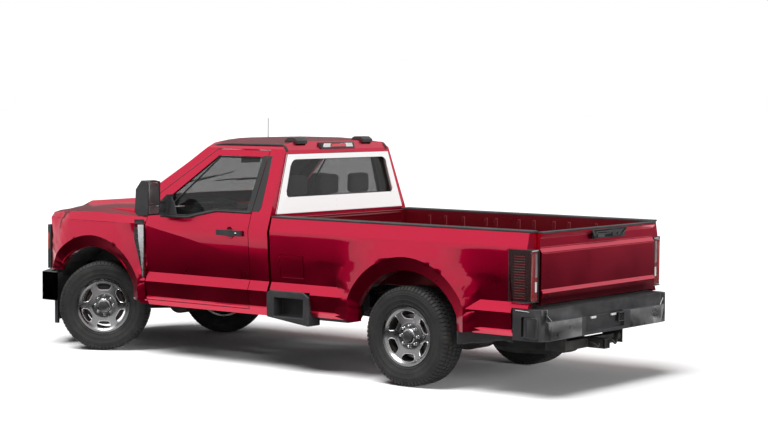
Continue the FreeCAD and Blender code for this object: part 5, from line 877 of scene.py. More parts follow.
@dataclass
class Panels(Assembly):
    """The body's painted panels, its glass and its plain pieces, from the CAD nodes."""

    edge: float = 0.006
    cab_middle: Point = (0.55, 0.0, 1.15)
    inside: float = 0.12
    floor: float = 0.66
    headroom: float = 1.6
    lining_y: float = 0.97

    def inwards(self, centre: Vector, normal: Vector) -> bool:
        """Whether a face of the cab looks at its middle."""
        return (Vector(self.cab_middle) - centre).dot(normal) > self.inside

    def build(self) -> None:
        """Dresses each node that keeps its CAD shape."""
        bench = self.bench
        cab = bench.shell("cab_shell", RED, Body.CHASSIS, self.edge)
        bench.part_finish(cab, CABIN, lambda c, n: c.z > self.floor and self.inwards(c, n) and n.z > -0.6)
        bench.part_finish(cab, HEADLINING, lambda c, n: c.z > self.headroom and self.inwards(c, n))
        bench.part_finish(cab, CHASSIS_BLACK, lambda c, n: c.z < 0.7 and n.z < -0.7 and abs(c.y) < 0.9)
        for side, body, sign in (("left", Body.LEFT_DOOR, 1), ("right", Body.RIGHT_DOOR, -1)):
            door = bench.shell("door_" + side, RED, body, self.edge)
            bench.part_finish(door, CABIN, lambda c, n, s=sign: n.y * s < -0.5 and abs(c.y) < self.lining_y)
            bench.shell("door_glass_" + side, TINT, body, 0.0008, 1)
        for node, finish, edge in (
            # The bed box takes the darker red: painted shade inside the bed.
            ("bed_box", SHADED_BED_RED, 0.003),
            ("rear_window_surround", WHITE, 0.003),
            ("windshield", TINT, 0.001),
            ("rear_window", TINT, 0.001),
            ("bed_rail_caps", BLACK_TRIM, 0.004),
            ("grille", CHROME, 0.006),
            ("radiator", ALUMINIUM, 0.002),
            ("tail_lamps", DARK_LENS, 0.004),
            ("box_steps", BLACK_TRIM, 0.008),
            ("roof_lamps", BLACK_TRIM, 0.006),
            ("antenna", BLACK_TRIM, 0.0015),
            ("hitch_receiver", CHASSIS_BLACK, 0.002),
            ("ladder_frame", CHASSIS_BLACK, 0.003),
            ("front_axle", CAST, 0.003),
            ("rear_axle", CAST, 0.003),
            ("leaf_springs", CHASSIS_BLACK, 0.002),
            ("front_springs", CHASSIS_BLACK, 0.001),
            ("powertrain", CAST, 0.008),
            ("drive_shafts", CHASSIS_BLACK, 0.002),
            ("fuel_tank", BLACK_TRIM, 0.012),
            ("exhaust", STEEL, 0.002),
            ("spare_wheel", TYRE, 0.006),
        ):
            bench.shell(node, finish, Body.CHASSIS, edge)
        sides = bench.shell("bedsides", RED, Body.CHASSIS, self.edge, 2, 0.055)
        # The bedsides' inner faces take the darker red: painted shade inside the bed.
        bench.part_finish(sides, SHADED_BED_RED, lambda c, n: n.y * c.y < 0.0 and abs(c.y) < 0.96 and c.z < 1.3)
        bench.part_finish(sides, CHASSIS_BLACK, lambda c, n: abs(c.y) < 0.93 and c.z < 0.8)
        fenders = bench.shell("front_fenders", RED, Body.CHASSIS, self.edge, 2, 0.05)
        bench.part_finish(fenders, CHASSIS_BLACK, lambda c, n: abs(c.y) < 0.925 and c.z < 1.16 and c.x < 2.56)
        lamps = bench.shell("headlamps", LAMP_CLEAR, Body.CHASSIS, 0.006)
        bench.part_finish(lamps, LAMP_DARK, lambda c, n: n.x < 0.55)
        bench.shell("hood", RED, Body.HOOD, 0.008)
        bench.shell("tailgate", RED, Body.TAILGATE, 0.004)
        bench.shell("tailgate_trim", BLACK_TRIM, Body.TAILGATE, 0.003)
        bench.shell("fuel_door", RED, Body.FUEL_DOOR, 0.002)
        bench.shell("steering_wheel", CABIN, Body.HAND_WHEEL, 0.003)
        for side, body in (("left", Body.LEFT_DOOR), ("right", Body.RIGHT_DOOR)):
            bench.shell("mirror_" + side, BLACK_TRIM, body, 0.008)
        for side, body in (("left", Body.LEFT_KNUCKLE), ("right", Body.RIGHT_KNUCKLE)):
            bench.shell("knuckle_" + side, CAST, body, 0.002)
        for corner in (Body.FRONT_LEFT, Body.FRONT_RIGHT, Body.REAR_LEFT, Body.REAR_RIGHT):
            place = corner.value.removesuffix("_wheel")
            # The rims take the darkened chrome: painted shade in their reflections.
            bench.shell("rim_" + place, SHADED_WHEEL_CHROME, corner, 0.003)


@dataclass
class RoadWheel(Assembly):
    """A road wheel at the origin with its outside at +Y: tyre, window borders, nuts, cap and brake disc."""

    radius: float = 0.411
    pitches: int = 70
    windows: int = 6
    nuts: int = 8
    nut_circle: float = 0.0835
    window_low: float = 0.138
    window_half: float = 0.066
    disc_edge: float = 0.206
    disc_edge_y: float = 0.092

    def carcass(self) -> Piece:
        """The tyre's body, with raised bands round its side walls."""
        half = [
            (0.2325, 0.102), (0.247, 0.109), (0.256, 0.119), (0.262, 0.1215), (0.264, 0.1255),
            (0.268, 0.1255), (0.271, 0.1235), (0.29, 0.1305), (0.298, 0.1325), (0.3, 0.135),
            (0.304, 0.135), (0.306, 0.1335), (0.322, 0.1355), (0.338, 0.1358), (0.34, 0.1369),
            (0.344, 0.1369), (0.346, 0.135), (0.36, 0.133), (0.372, 0.13), (0.384, 0.1245),
            (0.394, 0.114), (0.4015, 0.1), (0.4035, 0.06), (0.4045, 0.0),
        ]
        profile = half + [(r, -y) for r, y in reversed(half[:-1])] + [(0.2325, 0.102)]
        return self.bench.turned("tyre_carcass", profile, ORIGIN, Axis.Y, 96)

    def block(self, name: str, section: Outline, share: float, shift: float, edge: float) -> Piece:
        """One block of the tread.

        Args:
            name: the block's name.
            section: its outline across the tyre.
            share: how much of the tread's pitch it takes.
            shift: how far it stands along the tread, as a share of the pitch.
            edge: how far its edges are rounded.

        Returns:
            The block.
        """
        pitch = math.tau * self.radius / self.pitches
        return self.bench.plate(name, section, pitch * share, cross_plane(pitch * shift), edge)

    def tread(self) -> Piece:
        """The tread's blocks: two shoulder lugs and three rows between them, repeated round the tyre."""
        shoulder = (
            (0.088, 0.4), (0.089, 0.4092), (0.106, 0.407), (0.119, 0.4015),
            (0.1285, 0.3885), (0.1325, 0.378), (0.13, 0.374), (0.123, 0.384),
        )
        middle = ((0.034, 0.398), (0.035, 0.4101), (0.079, 0.4098), (0.081, 0.398))
        centre = ((-0.026, 0.399), (-0.025, 0.4102), (0.025, 0.4102), (0.026, 0.399))
        blocks = []
        for side in (1, -1):
            lug = [(side * y, z) for y, z in shoulder]
            row = [(side * y, z) for y, z in middle]
            blocks.append(self.block("shoulder_lug", lug, 0.74, 0.12 * side, 0.0016))
            blocks.append(self.block("middle_block", row, 0.72, -0.16 * side, 0.0014))
        blocks.append(self.block("centre_block", centre, 0.78, 0.3, 0.0014))
        return self.bench.around(self.bench.join("tyre_tread", blocks), self.pitches)

    def side_blocks(self) -> Piece:
        """Short ribs on the outer wall under the shoulder."""
        section = ((0.133, 0.35), (0.1362, 0.351), (0.1358, 0.362), (0.133, 0.364))
        rib = self.bench.plate("wall_rib", section, 0.011, cross_plane(0.0), 0.0006)
        return self.bench.around(rib, self.pitches)

    def window_borders(self) -> Piece:
        """The raised bright border round each of the wheel's windows."""
        low, high, half = self.window_low, self.disc_edge, self.window_half
        shares = ((0.5, 0.0), (0.72, 0.1), (0.95, 0.45), (1.0, 0.62), (0.93, 0.8), (0.62, 0.95), (0.25, 1.0))
        ring = [(half * x, low + (high - low) * y) for x, y in shares]
        ring += [(-x, y) for x, y in reversed(ring)]
        points = []
        for x, z in ring:
            reach = math.hypot(x, z)
            wider = 1.0 + 0.004 / reach
            points.append((x * 1.05, self.disc_face(reach) + 0.0015, z * wider))
        border = self.bench.bead("window_border", points, 0.0048, True, True)
        return self.bench.around(border, self.windows)

    def disc_face(self, reach: float) -> float:
        """How far out the wheel's disc stands at a distance from its centre."""
        hub, edge, lip = (0.118, 0.062), (self.disc_edge, self.disc_edge_y), (0.218, 0.112)
        (near, near_y), (far, far_y) = (hub, edge) if reach < edge[0] else (edge, lip)
        return near_y + (reach - near) / (far - near) * (far_y - near_y)

    def nut_ring(self) -> Piece:
        """Hexagon nuts with round washers and pointed ends."""
        place = (0.0, 0.0, self.nut_circle)
        nut = self.bench.drum("wheel_nut", (0.0, 0.0755, self.nut_circle), 0.0125, 0.023, Axis.Y, 6)
        self.bench.press(nut, LEFT, 0.0035, 0.004)
        self.bench.soften(nut, 0.0012)
        washer = self.bench.turned(
            "washer",
            [(0.0, 0.064), (0.0165, 0.064), (0.0165, 0.0675), (0.0145, 0.069), (0.0, 0.069)],
            place, Axis.Y, 20,
        )
        stud = self.bench.turned(
            "stud",
            [(0.0, 0.085), (0.0062, 0.085), (0.0062, 0.093), (0.0045, 0.095), (0.0, 0.095)],
            place, Axis.Y, 14,
        )
        return self.bench.around(self.bench.join("wheel_nuts", [nut, washer, stud]), self.nuts)

    def nut_pockets(self) -> Piece:
        """The dark round pockets that the nuts stand in."""
        profile = (
            (0.0, 0.0625), (0.0185, 0.0625), (0.0185, 0.068), (0.0172, 0.0684), (0.0168, 0.0655),
            (0.0, 0.0655),
        )
        pocket = self.bench.turned("nut_pocket", profile, (0.0, 0.0, self.nut_circle), Axis.Y, 20)
        return self.bench.around(pocket, self.nuts)

    def cap(self) -> Piece:
        """The plain domed hub cap."""
        profile = [
            (0.0, 0.095), (0.0435, 0.095), (0.0435, 0.0985), (0.0405, 0.1005), (0.037, 0.099),
            (0.034, 0.1003), (0.0, 0.1035),
        ]
        return self.bench.turned("hub_cap", profile, ORIGIN, Axis.Y, 40)

    def cap_ring(self) -> Piece:
        """The bright ring round the cap."""
        profile = [
            (0.043, 0.084), (0.0625, 0.084), (0.0635, 0.0865), (0.06, 0.0895), (0.0465, 0.0915),
            (0.043, 0.0895), (0.043, 0.084),
        ]
        return self.bench.turned("cap_ring", profile, ORIGIN, Axis.Y, 56)

    def brake_disc(self) -> Piece:
        """The brake disc behind the wheel's windows, with a vent gap round its edge."""
        profile = [
            (0.058, 0.03), (0.094, 0.03), (0.098, 0.024), (0.178, 0.024), (0.179, 0.016), (0.172, 0.014),
            (0.172, 0.006), (0.179, 0.004), (0.178, -0.004), (0.098, -0.004), (0.094, 0.014),
            (0.058, 0.014), (0.058, 0.03),
        ]
        return self.bench.turned("brake_disc", profile, ORIGIN, Axis.Y, 64)

    def barrel_shadow(self) -> Piece:
        """A dark sleeve inside the wheel's barrel, behind the disc: painted shade where the barrel lies in
        shadow.
        """
        profile = [(0.207, 0.058), (0.207, -0.06), (0.2055, -0.06), (0.2055, 0.058), (0.207, 0.058)]
        return self.bench.turned("barrel_painted_shade", profile, ORIGIN, Axis.Y, 56)

    def valve(self) -> Piece:
        """The tyre's valve."""
        return self.bench.turned(
            "valve",
            [(0.0, 0.0), (0.005, 0.0), (0.004, 0.01), (0.0032, 0.012), (0.0032, 0.026), (0.0, 0.027)],
            (0.212, 0.088, 0.0), Axis.Y, 12,
        )

    def build(self) -> None:
        """Makes the wheel once and copies it to the four corners."""
        parts = (
            (self.join_tyre(), TYRE, "tyre"),
            (self.window_borders(), WHEEL_BRIGHT, "window_borders"),
            (self.nut_ring(), WHEEL_BRIGHT, "wheel_nuts"),
            (self.nut_pockets(), SMOOTH_BLACK, "nut_pockets"),
            (self.cap(), CAP_GREY, "hub_cap"),
            (self.cap_ring(), WHEEL_BRIGHT, "cap_ring"),
            (self.brake_disc(), STEEL, "brake_disc"),
            (self.barrel_shadow(), CAST, "barrel_painted_shade"),
            (self.valve(), RUBBER, "valve"),
        )
        steer = Matrix.Rotation(math.radians(STEERED), 4, "Z")
        for body, sign, front in (
            (Body.FRONT_LEFT, 1, True), (Body.FRONT_RIGHT, -1, True),
            (Body.REAR_LEFT, 1, False), (Body.REAR_RIGHT, -1, False),
        ):
            if front:
                kingpin = Matrix.Translation((FRONT_AXLE_X, sign * KINGPIN_Y, AXLE_HEIGHT))
                place = kingpin @ steer @ Matrix.Translation((0.0, sign * KINGPIN_TO_WHEEL, 0.0))
            else:
                place = Matrix.Translation((REAR_AXLE_X, sign * REAR_WHEEL_Y, AXLE_HEIGHT))
            flip = sign < 0
            corner = body.value.removesuffix("_wheel")
            for piece, finish, name in parts:
                copy = self.bench.copied(piece, f"{name}_{corner}_piece", flip, place)
                self.bench.dress(copy, finish, body, ["tyre_" + corner] if name == "tyre" else ())
        for piece, _, _ in parts:
            bpy.data.objects.remove(piece)

    def join_tyre(self) -> Piece:
        """The carcass with its tread and ribs."""
        return self.bench.join("tyre", [self.carcass(), self.tread(), self.side_blocks()])


@dataclass
class Lamps(Assembly):
    """The lenses, lights and reflectors of the lamps."""

    tail_x: float = -2.8415
    tail_inner: float = 0.89
    tail_outer: float = 0.998

    def tail(self) -> None:
        """The side lens, the rear column of lights and the light line of each tail lamp."""
        bench = self.bench
        rear = cross_plane(self.tail_x)
        low_y, high_y = self.tail_inner + 0.006, self.tail_outer - 0.01
        middle = low_y + 0.024
        for name, across, up, finish, proud in (
            ("tail_dotted", (low_y, high_y), (0.78, 1.166), DOTTED_LENS, 0.006),
            ("tail_stripe", (high_y - 0.034, high_y - 0.008), (0.8, 1.14), RED_LENS, 0.0078),
            ("tail_reflector", (middle - 0.012, middle + 0.014), (0.965, 1.15), GREY_LENS, 0.0078),
            ("tail_reverse", (middle - 0.012, middle + 0.016), (0.85, 0.93), WHITE_LENS, 0.0082),
        ):
            block = bench.plate(name + "_left", oblong(across, up), proud, rear, 0.002)
            bench.press(block, BACK, 0.005, -0.0012)
            bench.both(block, finish)
        side = side_plane(0.9985)
        ribs = []
        for step in range(17):
            z = 0.8 + step * 0.0205
            ribs.append(bench.plate("tail_rib", oblong((-2.79, -2.69), (z, z + 0.003)), 0.006, side, 0.001))
        bench.both(bench.join("tail_ribs_left", ribs), RED_LENS)
        line = bench.bead(
            "tail_light_line_left",
            [(-2.655, 0.994, 1.17), (-2.825, 0.994, 1.172), (-2.8405, 0.985, 1.172), (-2.8425, 0.898, 1.173)],
            0.0035, False, True,
        )
        bench.both(line, WHITE_LENS)
        frame = [
            (-2.64, 0.9965, 0.772), (-2.64, 0.9965, 1.18), (-2.838, 0.9965, 1.18), (-2.841, 0.886, 1.18),
            (-2.841, 0.886, 0.772), (-2.838, 0.9965, 0.772),
        ]
        bench.both(bench.bead("tail_frame_left", frame, 0.006, True), SMOOTH_BLACK)

    def high_stop(self) -> None:
        """The third brake lamp's lenses: white at each end and red between them."""
        bench = self.bench
        x = bench.meet("roof_lamps", (-0.5, 0.0, 1.915), FORWARD).x - 0.001
        face = cross_plane(x)
        red = bench.plate(
            "stop_lens_red",
            [(-0.112, 1.894), (0.108, 1.894), (0.1, 1.937), (-0.106, 1.937)],
            0.006, face, 0.002,
        )
        bench.press(red, BACK, 0.006, -0.0015)
        bench.dress(red, STOP_RED)
        for side, sign in SIDES:
            outline = [
                (sign * y, z) for y, z in ((0.114, 1.894), (0.216, 1.894), (0.196, 1.937), (0.106, 1.937))
            ]
            white = bench.plate("stop_lens_white_" + side, outline, 0.006, face, 0.002)
            bench.dress(white, WHITE_LENS)

    def head(self) -> None:
        """The bowls, the bulbs and the side markers of the head lamps."""
        bench = self.bench
        for name, y, z, radius in (
            ("high_beam", 0.7, 1.02, 0.075), ("low_beam", 0.82, 1.02, 0.07), ("park", 0.76, 0.85, 0.062)
        ):
            front = bench.meet("headlamps", (3.2, y, z), BACK).x
            bowl = bench.turned(
                name + "_bowl_left",
                [
                    (0.0, -0.055), (radius * 0.4, -0.05), (radius * 0.8, -0.028), (radius, 0.0),
                    (radius + 0.004, 0.0), (radius * 0.84, -0.032), (radius * 0.42, -0.056), (0.0, -0.061),
                ],
                (front - 0.006, y, z), Axis.X, 40,
            )
            bench.both(bowl, MIRROR)
            bulb = bench.turned(
                name + "_bulb_left",
                [(0.0, -0.05), (0.01, -0.05), (0.012, -0.03), (0.009, -0.018), (0.0, -0.012)],
                (front - 0.006, y, z), Axis.X, 20,
            )
            bench.both(bulb, WHITE_LENS)
        side = bench.meet("headlamps", (2.62, 1.3, 0.98), RIGHT)
        marker = bench.plate(
            "side_marker_left", [(2.612, 0.9), (2.628, 0.9), (2.634, 1.05), (2.616, 1.05)], 0.006,
            side_plane(side.y + 0.0005), 0.002,
        )
        bench.both(marker, AMBER_LENS)

    def roof(self) -> None:
        """A small amber lens on the front of each roof lamp."""
        bench = self.bench
        for side, sign in SIDES:
            y = sign * 0.464
            place = bench.meet("roof_lamps", (0.5, y, 1.962), BACK)
            lens = bench.pad(
                "roof_lens_" + side,
                ((place.x - 0.01, y - 0.04, 1.953), (place.x + 0.002, y + 0.04, 1.972)),
                FORWARD, (0.004, 0.002), 0.004,
            )
            bench.dress(lens, AMBER_LENS)

    def build(self) -> None:
        """Dresses every lamp."""
        self.tail()
        self.high_stop()
        self.head()
        self.roof()


@dataclass
class SideTrim(Assembly):
    """The fender vents, the belt and roof mouldings, the pillar panels, the mirror glasses and handles."""

    def side_y(self, node: str, x: float, z: float) -> float:
        """How far out a node's left side is at a place."""
        return self.bench.meet(node, (x, 1.6, z), RIGHT).y

    def vent(self) -> None:
        """The vent behind the front wheel: a dark field, its louvres and a bright bar."""
        bench = self.bench
        outline = [
            (1.308, 1.236), (1.428, 1.232), (1.434, 1.05), (1.352, 0.802), (1.326, 0.712), (1.308, 0.712)
        ]
        probes = ((1.33, 1.2), (1.41, 1.2), (1.33, 1.05), (1.41, 1.06), (1.33, 0.85))
        y = max(self.side_y("front_fenders", x, z) for x, z in probes)
        face = side_plane(y - 0.001)
        field_piece = bench.plate("vent_field_left", outline, 0.006, face, 0.002)
        bench.press(field_piece, LEFT, 0.007, -0.0035)
        bench.both(field_piece, SMOOTH_BLACK)
        louvres = []
        for step in range(9):
            z = 1.2 - step * 0.048
            front = 1.416 if z > 1.05 else 1.416 - (1.05 - z) * 0.34
            louvres.append(
                bench.bar("vent_louvre", (1.318, y - 0.002, z - 0.01), (front, y + 0.0045, z + 0.004), 0.003)
            )
        bench.both(bench.join("vent_louvres_left", louvres), BLACK_TRIM)
        bar = bench.plate(
            "vent_bar_left",
            [(1.312, 1.19), (1.382, 1.186), (1.376, 1.05), (1.348, 0.9), (1.33, 0.722), (1.312, 0.722)],
            0.016, face, 0.003,
        )
        bench.both(bar, SATIN_SILVER)

    def belt(self) -> None:
        """The belt moulding under the side glass and the seal round it."""
        bench = self.bench
        line = [
            (0.078, 1.346), (0.3, 1.346), (0.47, 1.346), (0.54, 1.334), (0.7, 1.3), (0.79, 1.278),
            (0.95, 1.276), (1.12, 1.276),
        ]
        points = [(x, self.side_y("door_left", x, z) + 0.002, z) for x, z in line]
        bench.on_doors(bench.bead("belt_moulding_left", points, 0.011), BLACK_TRIM)
        ring = [
            (0.128, 1.358), (0.49, 1.358), (0.79, 1.292), (1.03, 1.292), (1.04, 1.372), (0.603, 1.814),
            (0.104, 1.814),
        ]
        seal = [(x, self.side_y("door_glass_left", min(x, 1.02), z) + 0.002, z) for x, z in ring]
        bench.on_doors(bench.bead("glass_seal_left", seal, 0.008, True), RUBBER)

    def pillar_panels(self) -> None:
        """The smooth black panels behind the side glass, on the door's frame and on the cab."""
        bench = self.bench
        for name, node, outline, left, right in (
            (
                "door_pillar_panel_left", "door_left",
                [(0.124, 1.356), (0.068, 1.356), (0.059, 1.5), (0.05, 1.7), (0.044, 1.832), (0.098, 1.832)],
                Body.LEFT_DOOR, Body.RIGHT_DOOR,
            ),
            (
                "cab_pillar_panel_left", "cab_shell",
                [
                    (0.062, 1.356), (-0.005, 1.358), (-0.022, 1.374), (-0.028, 1.4), (-0.008, 1.832),
                    (0.036, 1.832), (0.042, 1.7), (0.053, 1.5),
                ],
                Body.CHASSIS, Body.CHASSIS,
            ),
        ):
            x = sum(point[0] for point in outline) / len(outline)
            low = Vector((0.0, self.side_y(node, x, 1.42), 1.42))
            high = Vector((0.0, self.side_y(node, x, 1.8), 1.8))
            lean = (high - low).normalized()
            flat = [(px, (pz - low.z) / lean.z) for px, pz in outline]
            panel = bench.plate(
                name, flat, 0.003, facing(low + Vector((0.0, 0.0012, 0.0)), FORWARD, lean), 0.001
            )
            bench.both(panel, GLOSS_BLACK, left, right)

    def roof_strips(self) -> None:
        """The strip in each roof ditch, from the windscreen's corner over the roof to the rear glass."""
        bench = self.bench
        points = []
        for x, y in (
            (0.94, 0.716), (0.8, 0.712), (0.64, 0.706), (0.45, 0.704), (0.25, 0.703), (0.08, 0.702),
            (-0.03, 0.702), (-0.08, 0.703),
        ):
            place = bench.meet("cab_shell", (x, y, 2.3), DOWN)
            points.append((place.x, place.y, place.z + 0.003))
        edge = points[-1][2]
        for drop in (0.016, 0.034, 0.056):
            place = bench.meet("cab_shell", (-0.6, 0.7, edge - drop), FORWARD)
            points.append((place.x - 0.003, place.y, place.z))
        bench.both(bench.bead("roof_strip_left", points, 0.011, False, True), BLACK_TRIM)

    def mirror_faces(self) -> None:
        """The flat glass above and the round one below in each mirror head."""
        bench = self.bench
        place = bench.meet("mirror_left", (0.3, 1.15, 1.47), FORWARD)
        face = cross_plane(place.x - 0.001)
        for name, outline in (
            (
                "mirror_glass_upper_left",
                [
                    (1.12, 1.396), (1.246, 1.396), (1.25, 1.54), (1.238, 1.574), (1.214, 1.588),
                    (1.14, 1.584), (1.122, 1.566),
                ],
            ),
            (
                "mirror_glass_lower_left",
                [(1.122, 1.318), (1.13, 1.308), (1.236, 1.308), (1.244, 1.318), (1.246, 1.38), (1.12, 1.38)],
            ),
        ):
            glass = bench.plate(name, outline, 0.005, face, 0.001)
            bench.press(glass, BACK, 0.006, 0.0012)
            bench.on_doors(glass, SIDE_MIRROR)
        rim = [
            (1.114, 1.31), (1.126, 1.3), (1.242, 1.3), (1.253, 1.312), (1.256, 1.548), (1.242, 1.582),
            (1.218, 1.595), (1.134, 1.592), (1.114, 1.572),
        ]
        edge = bench.bead("mirror_rim_left", [(place.x - 0.001, y, z) for y, z in rim], 0.006, True)
        bench.on_doors(edge, SMOOTH_BLACK)
        foot = self.side_y("door_left", 1.03, 1.275)
        outline = [(0.93, 0.0), (1.112, 0.0), (1.106, 0.11), (1.048, 0.176), (0.99, 0.114)]
        plane = facing((0.0, foot - 0.008, 1.286), FORWARD, (0.0, -0.28, 0.96))
        sail = bench.plate("mirror_sail_left", outline, 0.01, plane, 0.004)
        bench.on_doors(sail, BLACK_TRIM)

    def door_furniture(self) -> None:
        """The hand recess behind each door handle, with a darker red bowl of painted shade in its cup, and
        the lock.
        """
        bench = self.bench
        y = max(self.side_y("door_left", 0.27, z) for z in (1.12, 1.2, 1.215))
        ring = [
            (0.0, 0.0), (0.04, 0.0), (0.047, 0.0008), (0.0505, 0.0022), (0.0525, 0.0016), (0.0535, -0.002),
            (0.0, -0.002),
        ]
        dish = bench.turned("handle_recess_left", ring, (0.272, y, 1.168), Axis.Y, 44)
        bench.on_doors(dish, RED)
        # A darker red bowl just proud of the recess: painted shade where the handle's cup lies in shadow.
        bowl = bench.turned(
            "handle_shadow_left",
            [(0.0, 0.0008), (0.036, 0.0008), (0.0395, 0.0016), (0.0395, -0.001), (0.0, -0.001)],
            (0.272, y + 0.0004, 1.168), Axis.Y, 44,
        )
        bench.on_doors(bowl, SHADE_RED)
        grip = bench.meet("mirror_left", (0.182, 1.4, 1.166), RIGHT)
        lock = bench.turned(
            "door_lock_left",
            [(0.0, -0.002), (0.01, -0.002), (0.01, 0.001), (0.008, 0.002), (0.0, 0.0015)],
            grip, Axis.Y, 24,
        )
        bench.on_doors(lock, CHROME)
        for name, z in (("upper", 1.08), ("lower", 0.66)):
            hinge = bench.drum(f"door_hinge_{name}_left", (1.293, 0.93, z), 0.009, 0.07, Axis.Z, 16)
            bench.soften(hinge, 0.002)
            bench.both(hinge, RED)

    def build(self) -> None:
        """Makes all the side trim."""
        self.vent()
        self.belt()
        self.pillar_panels()
        self.roof_strips()
        self.mirror_faces()
        self.door_furniture()


@dataclass
class Rear(Assembly):
    """The rear bumper, the tailgate's fittings, the hitch and the valances."""

    recess: tuple[float, float] = (-0.345, 0.405)
    pad_end: float = 0.87
    side_end: float = 0.955
    chrome_top: float = 0.62
    face_x: float = -2.9405
    gate_x: float = -2.868

    def bumper(self) -> None:
        """The chrome bumper with its black step, middle and pockets."""
        bench = self.bench
        # The bumper takes the darkened chrome: painted shade in its reflections.
        bumper = bench.shell("rear_bumper", SHADED_BUMPER_CHROME, Body.CHASSIS, 0.008)
        right, left = self.recess
        for y in (left, right, self.pad_end, -self.pad_end, self.side_end, -self.side_end):
            bench.split(bumper, (0.0, y, 0.0), LEFT)
        bench.split(bumper, (0.0, 0.0, self.chrome_top), UP)
        bench.part_finish(bumper, BLACK_TRIM, self.is_black)
        for name, low, high in (("left", 0.03, 0.86), ("middle", -0.33, 0.0), ("right", -0.86, -0.36)):
            pad = bench.pad(
                f"bumper_pad_{name}",
                ((-2.921, low, 0.7165), (-2.745, high, 0.7215)),
                UP, (0.01, -0.0015), 0.002,
            )
            bench.dress(pad, BLACK_TRIM)
        treads = []
        for step in range(7):
            x = -2.758 - step * 0.025
            treads.append(
                bench.bar("bumper_tread", (x - 0.004, -0.84, 0.719), (x + 0.004, 0.84, 0.7245), 0.0015)
            )
        bench.dress(bench.join("bumper_treads", treads), RUBBER)

    def is_black(self, centre: Vector, normal: Vector) -> bool:
        """Whether a face of the bumper is black: its step, middle and ends, and what looks up or inwards."""
        right, left = self.recess
        step = centre.z > self.chrome_top - 0.003 and abs(centre.y) < self.pad_end
        middle = right < centre.y < left
        return step or middle or abs(centre.y) > self.side_end or normal.x > 0.5 or abs(normal.z) > 0.6

    def bumper_face(self) -> None:
        """The number-plate recess, its lamp, the socket and the frames of the corner steps."""
        bench = self.bench
        x = self.face_x
        face = cross_plane(x)
        frame = bench.bead(
            "plate_frame",
            [(x, 0.346, 0.492), (x, 0.346, 0.616), (x, -0.25, 0.616), (x, -0.25, 0.492)],
            0.004, True,
        )
        bench.dress(frame, BLACK_TRIM)
        for side, y in (("left", 0.2), ("right", -0.11)):
            lamp = bench.pad(
                "plate_lamp_" + side,
                ((-2.93, y - 0.035, 0.592), (-2.912, y + 0.035, 0.612)),
                DOWN, (0.003, -0.002), 0.003,
            )
            bench.dress(lamp, WHITE_LENS)
        socket = bench.plate("socket_plate", oblong((-0.162, -0.268), (0.538, 0.612)), 0.008, face, 0.003)
        bench.press(socket, BACK, 0.012, -0.006)
        bench.dress(socket, SMOOTH_BLACK)
        ring = [
            (-2.776, 0.5), (-2.784, 0.486), (-2.886, 0.486), (-2.9, 0.5), (-2.904, 0.64), (-2.894, 0.656),
            (-2.786, 0.656), (-2.774, 0.642),
        ]
        pocket = bench.plate("corner_step_left", ring, 0.022, side_plane(0.979), 0.004)
        bench.press(pocket, LEFT, 0.012, -0.012)
        bench.both(pocket, BLACK_TRIM)
        strip = bench.bead(
            "bumper_line_left",
            [(-2.7, 0.986, 0.706), (-2.8, 0.986, 0.7), (-2.88, 0.97, 0.694), (-2.915, 0.93, 0.688)],
            0.005, False, True,
        )
        bench.both(strip, CHROME)
        for side, outer, corner, inner in (("left", 0.9, 0.835, 0.412), ("right", -0.9, -0.835, -0.352)):
            points = [(-2.932, outer, 0.674), (x, corner, 0.616), (-2.9415, inner, 0.6125)]
            bench.dress(bench.bead("chrome_line_" + side, points, 0.0034), CHROME)

    def hitch(self) -> None:
        """The collar of the receiver, the chain loops and the wiring plug."""
        bench = self.bench
        collar = bench.pad(
            "receiver_collar", ((-2.938, -0.04, 0.33), (-2.918, 0.04, 0.41)), BACK, (0.012, -0.016), 0.004
        )
        bench.dress(collar, CHASSIS_BLACK)
        for side, sign in SIDES:
            loop = [
                (-2.88, sign * 0.1, 0.395), (-2.925, sign * 0.1, 0.385), (-2.93, sign * 0.135, 0.35),
                (-2.925, sign * 0.17, 0.385), (-2.88, sign * 0.17, 0.395),
            ]
            bench.dress(bench.bead("chain_loop_" + side, loop, 0.008, False, True), CHASSIS_BLACK)
        plug = bench.turned(
            "wiring_plug",
            [(0.0, -0.02), (0.026, -0.02), (0.03, 0.0), (0.03, 0.016), (0.024, 0.02), (0.0, 0.018)],
            (-2.88, -0.245, 0.405), Axis.X, 28,
        )
        bench.dress(plug, RUBBER)

    def gate(self) -> None:
        """The tailgate's handle, its lock and the seams at its ends."""
        bench = self.bench
        x = self.gate_x
        face = cross_plane(x)
        bezel = bench.plate(
            "handle_bezel", [(0.112, 1.226), (0.146, 1.3), (-0.4, 1.3), (-0.3, 1.226)], 0.006, face, 0.003
        )
        bench.press(bezel, BACK, 0.014, -0.004)
        bench.dress(bezel, BLACK_TRIM, Body.TAILGATE)
        paddle = bench.plate(
            "handle_paddle",
            [(0.07, 1.236), (0.095, 1.284), (-0.17, 1.284), (-0.17, 1.236)],
            0.01, face, 0.004,
        )
        bench.press(paddle, BACK, 0.016, -0.003)
        bench.dress(paddle, SMOOTH_BLACK, Body.TAILGATE)
        lock = bench.turned(
            "gate_lock",
            [(0.0, -0.004), (0.013, -0.004), (0.013, 0.002), (0.01, 0.004), (0.0, 0.003)],
            (x, -0.242, 1.258), Axis.X, 24,
        )
        bench.dress(lock, CHROME, Body.TAILGATE)
        sides = (0.858, 0.4, 0.0, -0.4, -0.858)
        for name, z, depth in (("upper", 1.193, 0.0045), ("middle", 1.146, 0.0035), ("lower", 0.853, 0.0045)):
            points = [(bench.meet("tailgate", (-3.2, y, z), FORWARD).x + 0.001, y, z) for y in sides]
            bench.dress(bench.bead(f"gate_line_{name}", points, depth), RED, Body.TAILGATE)

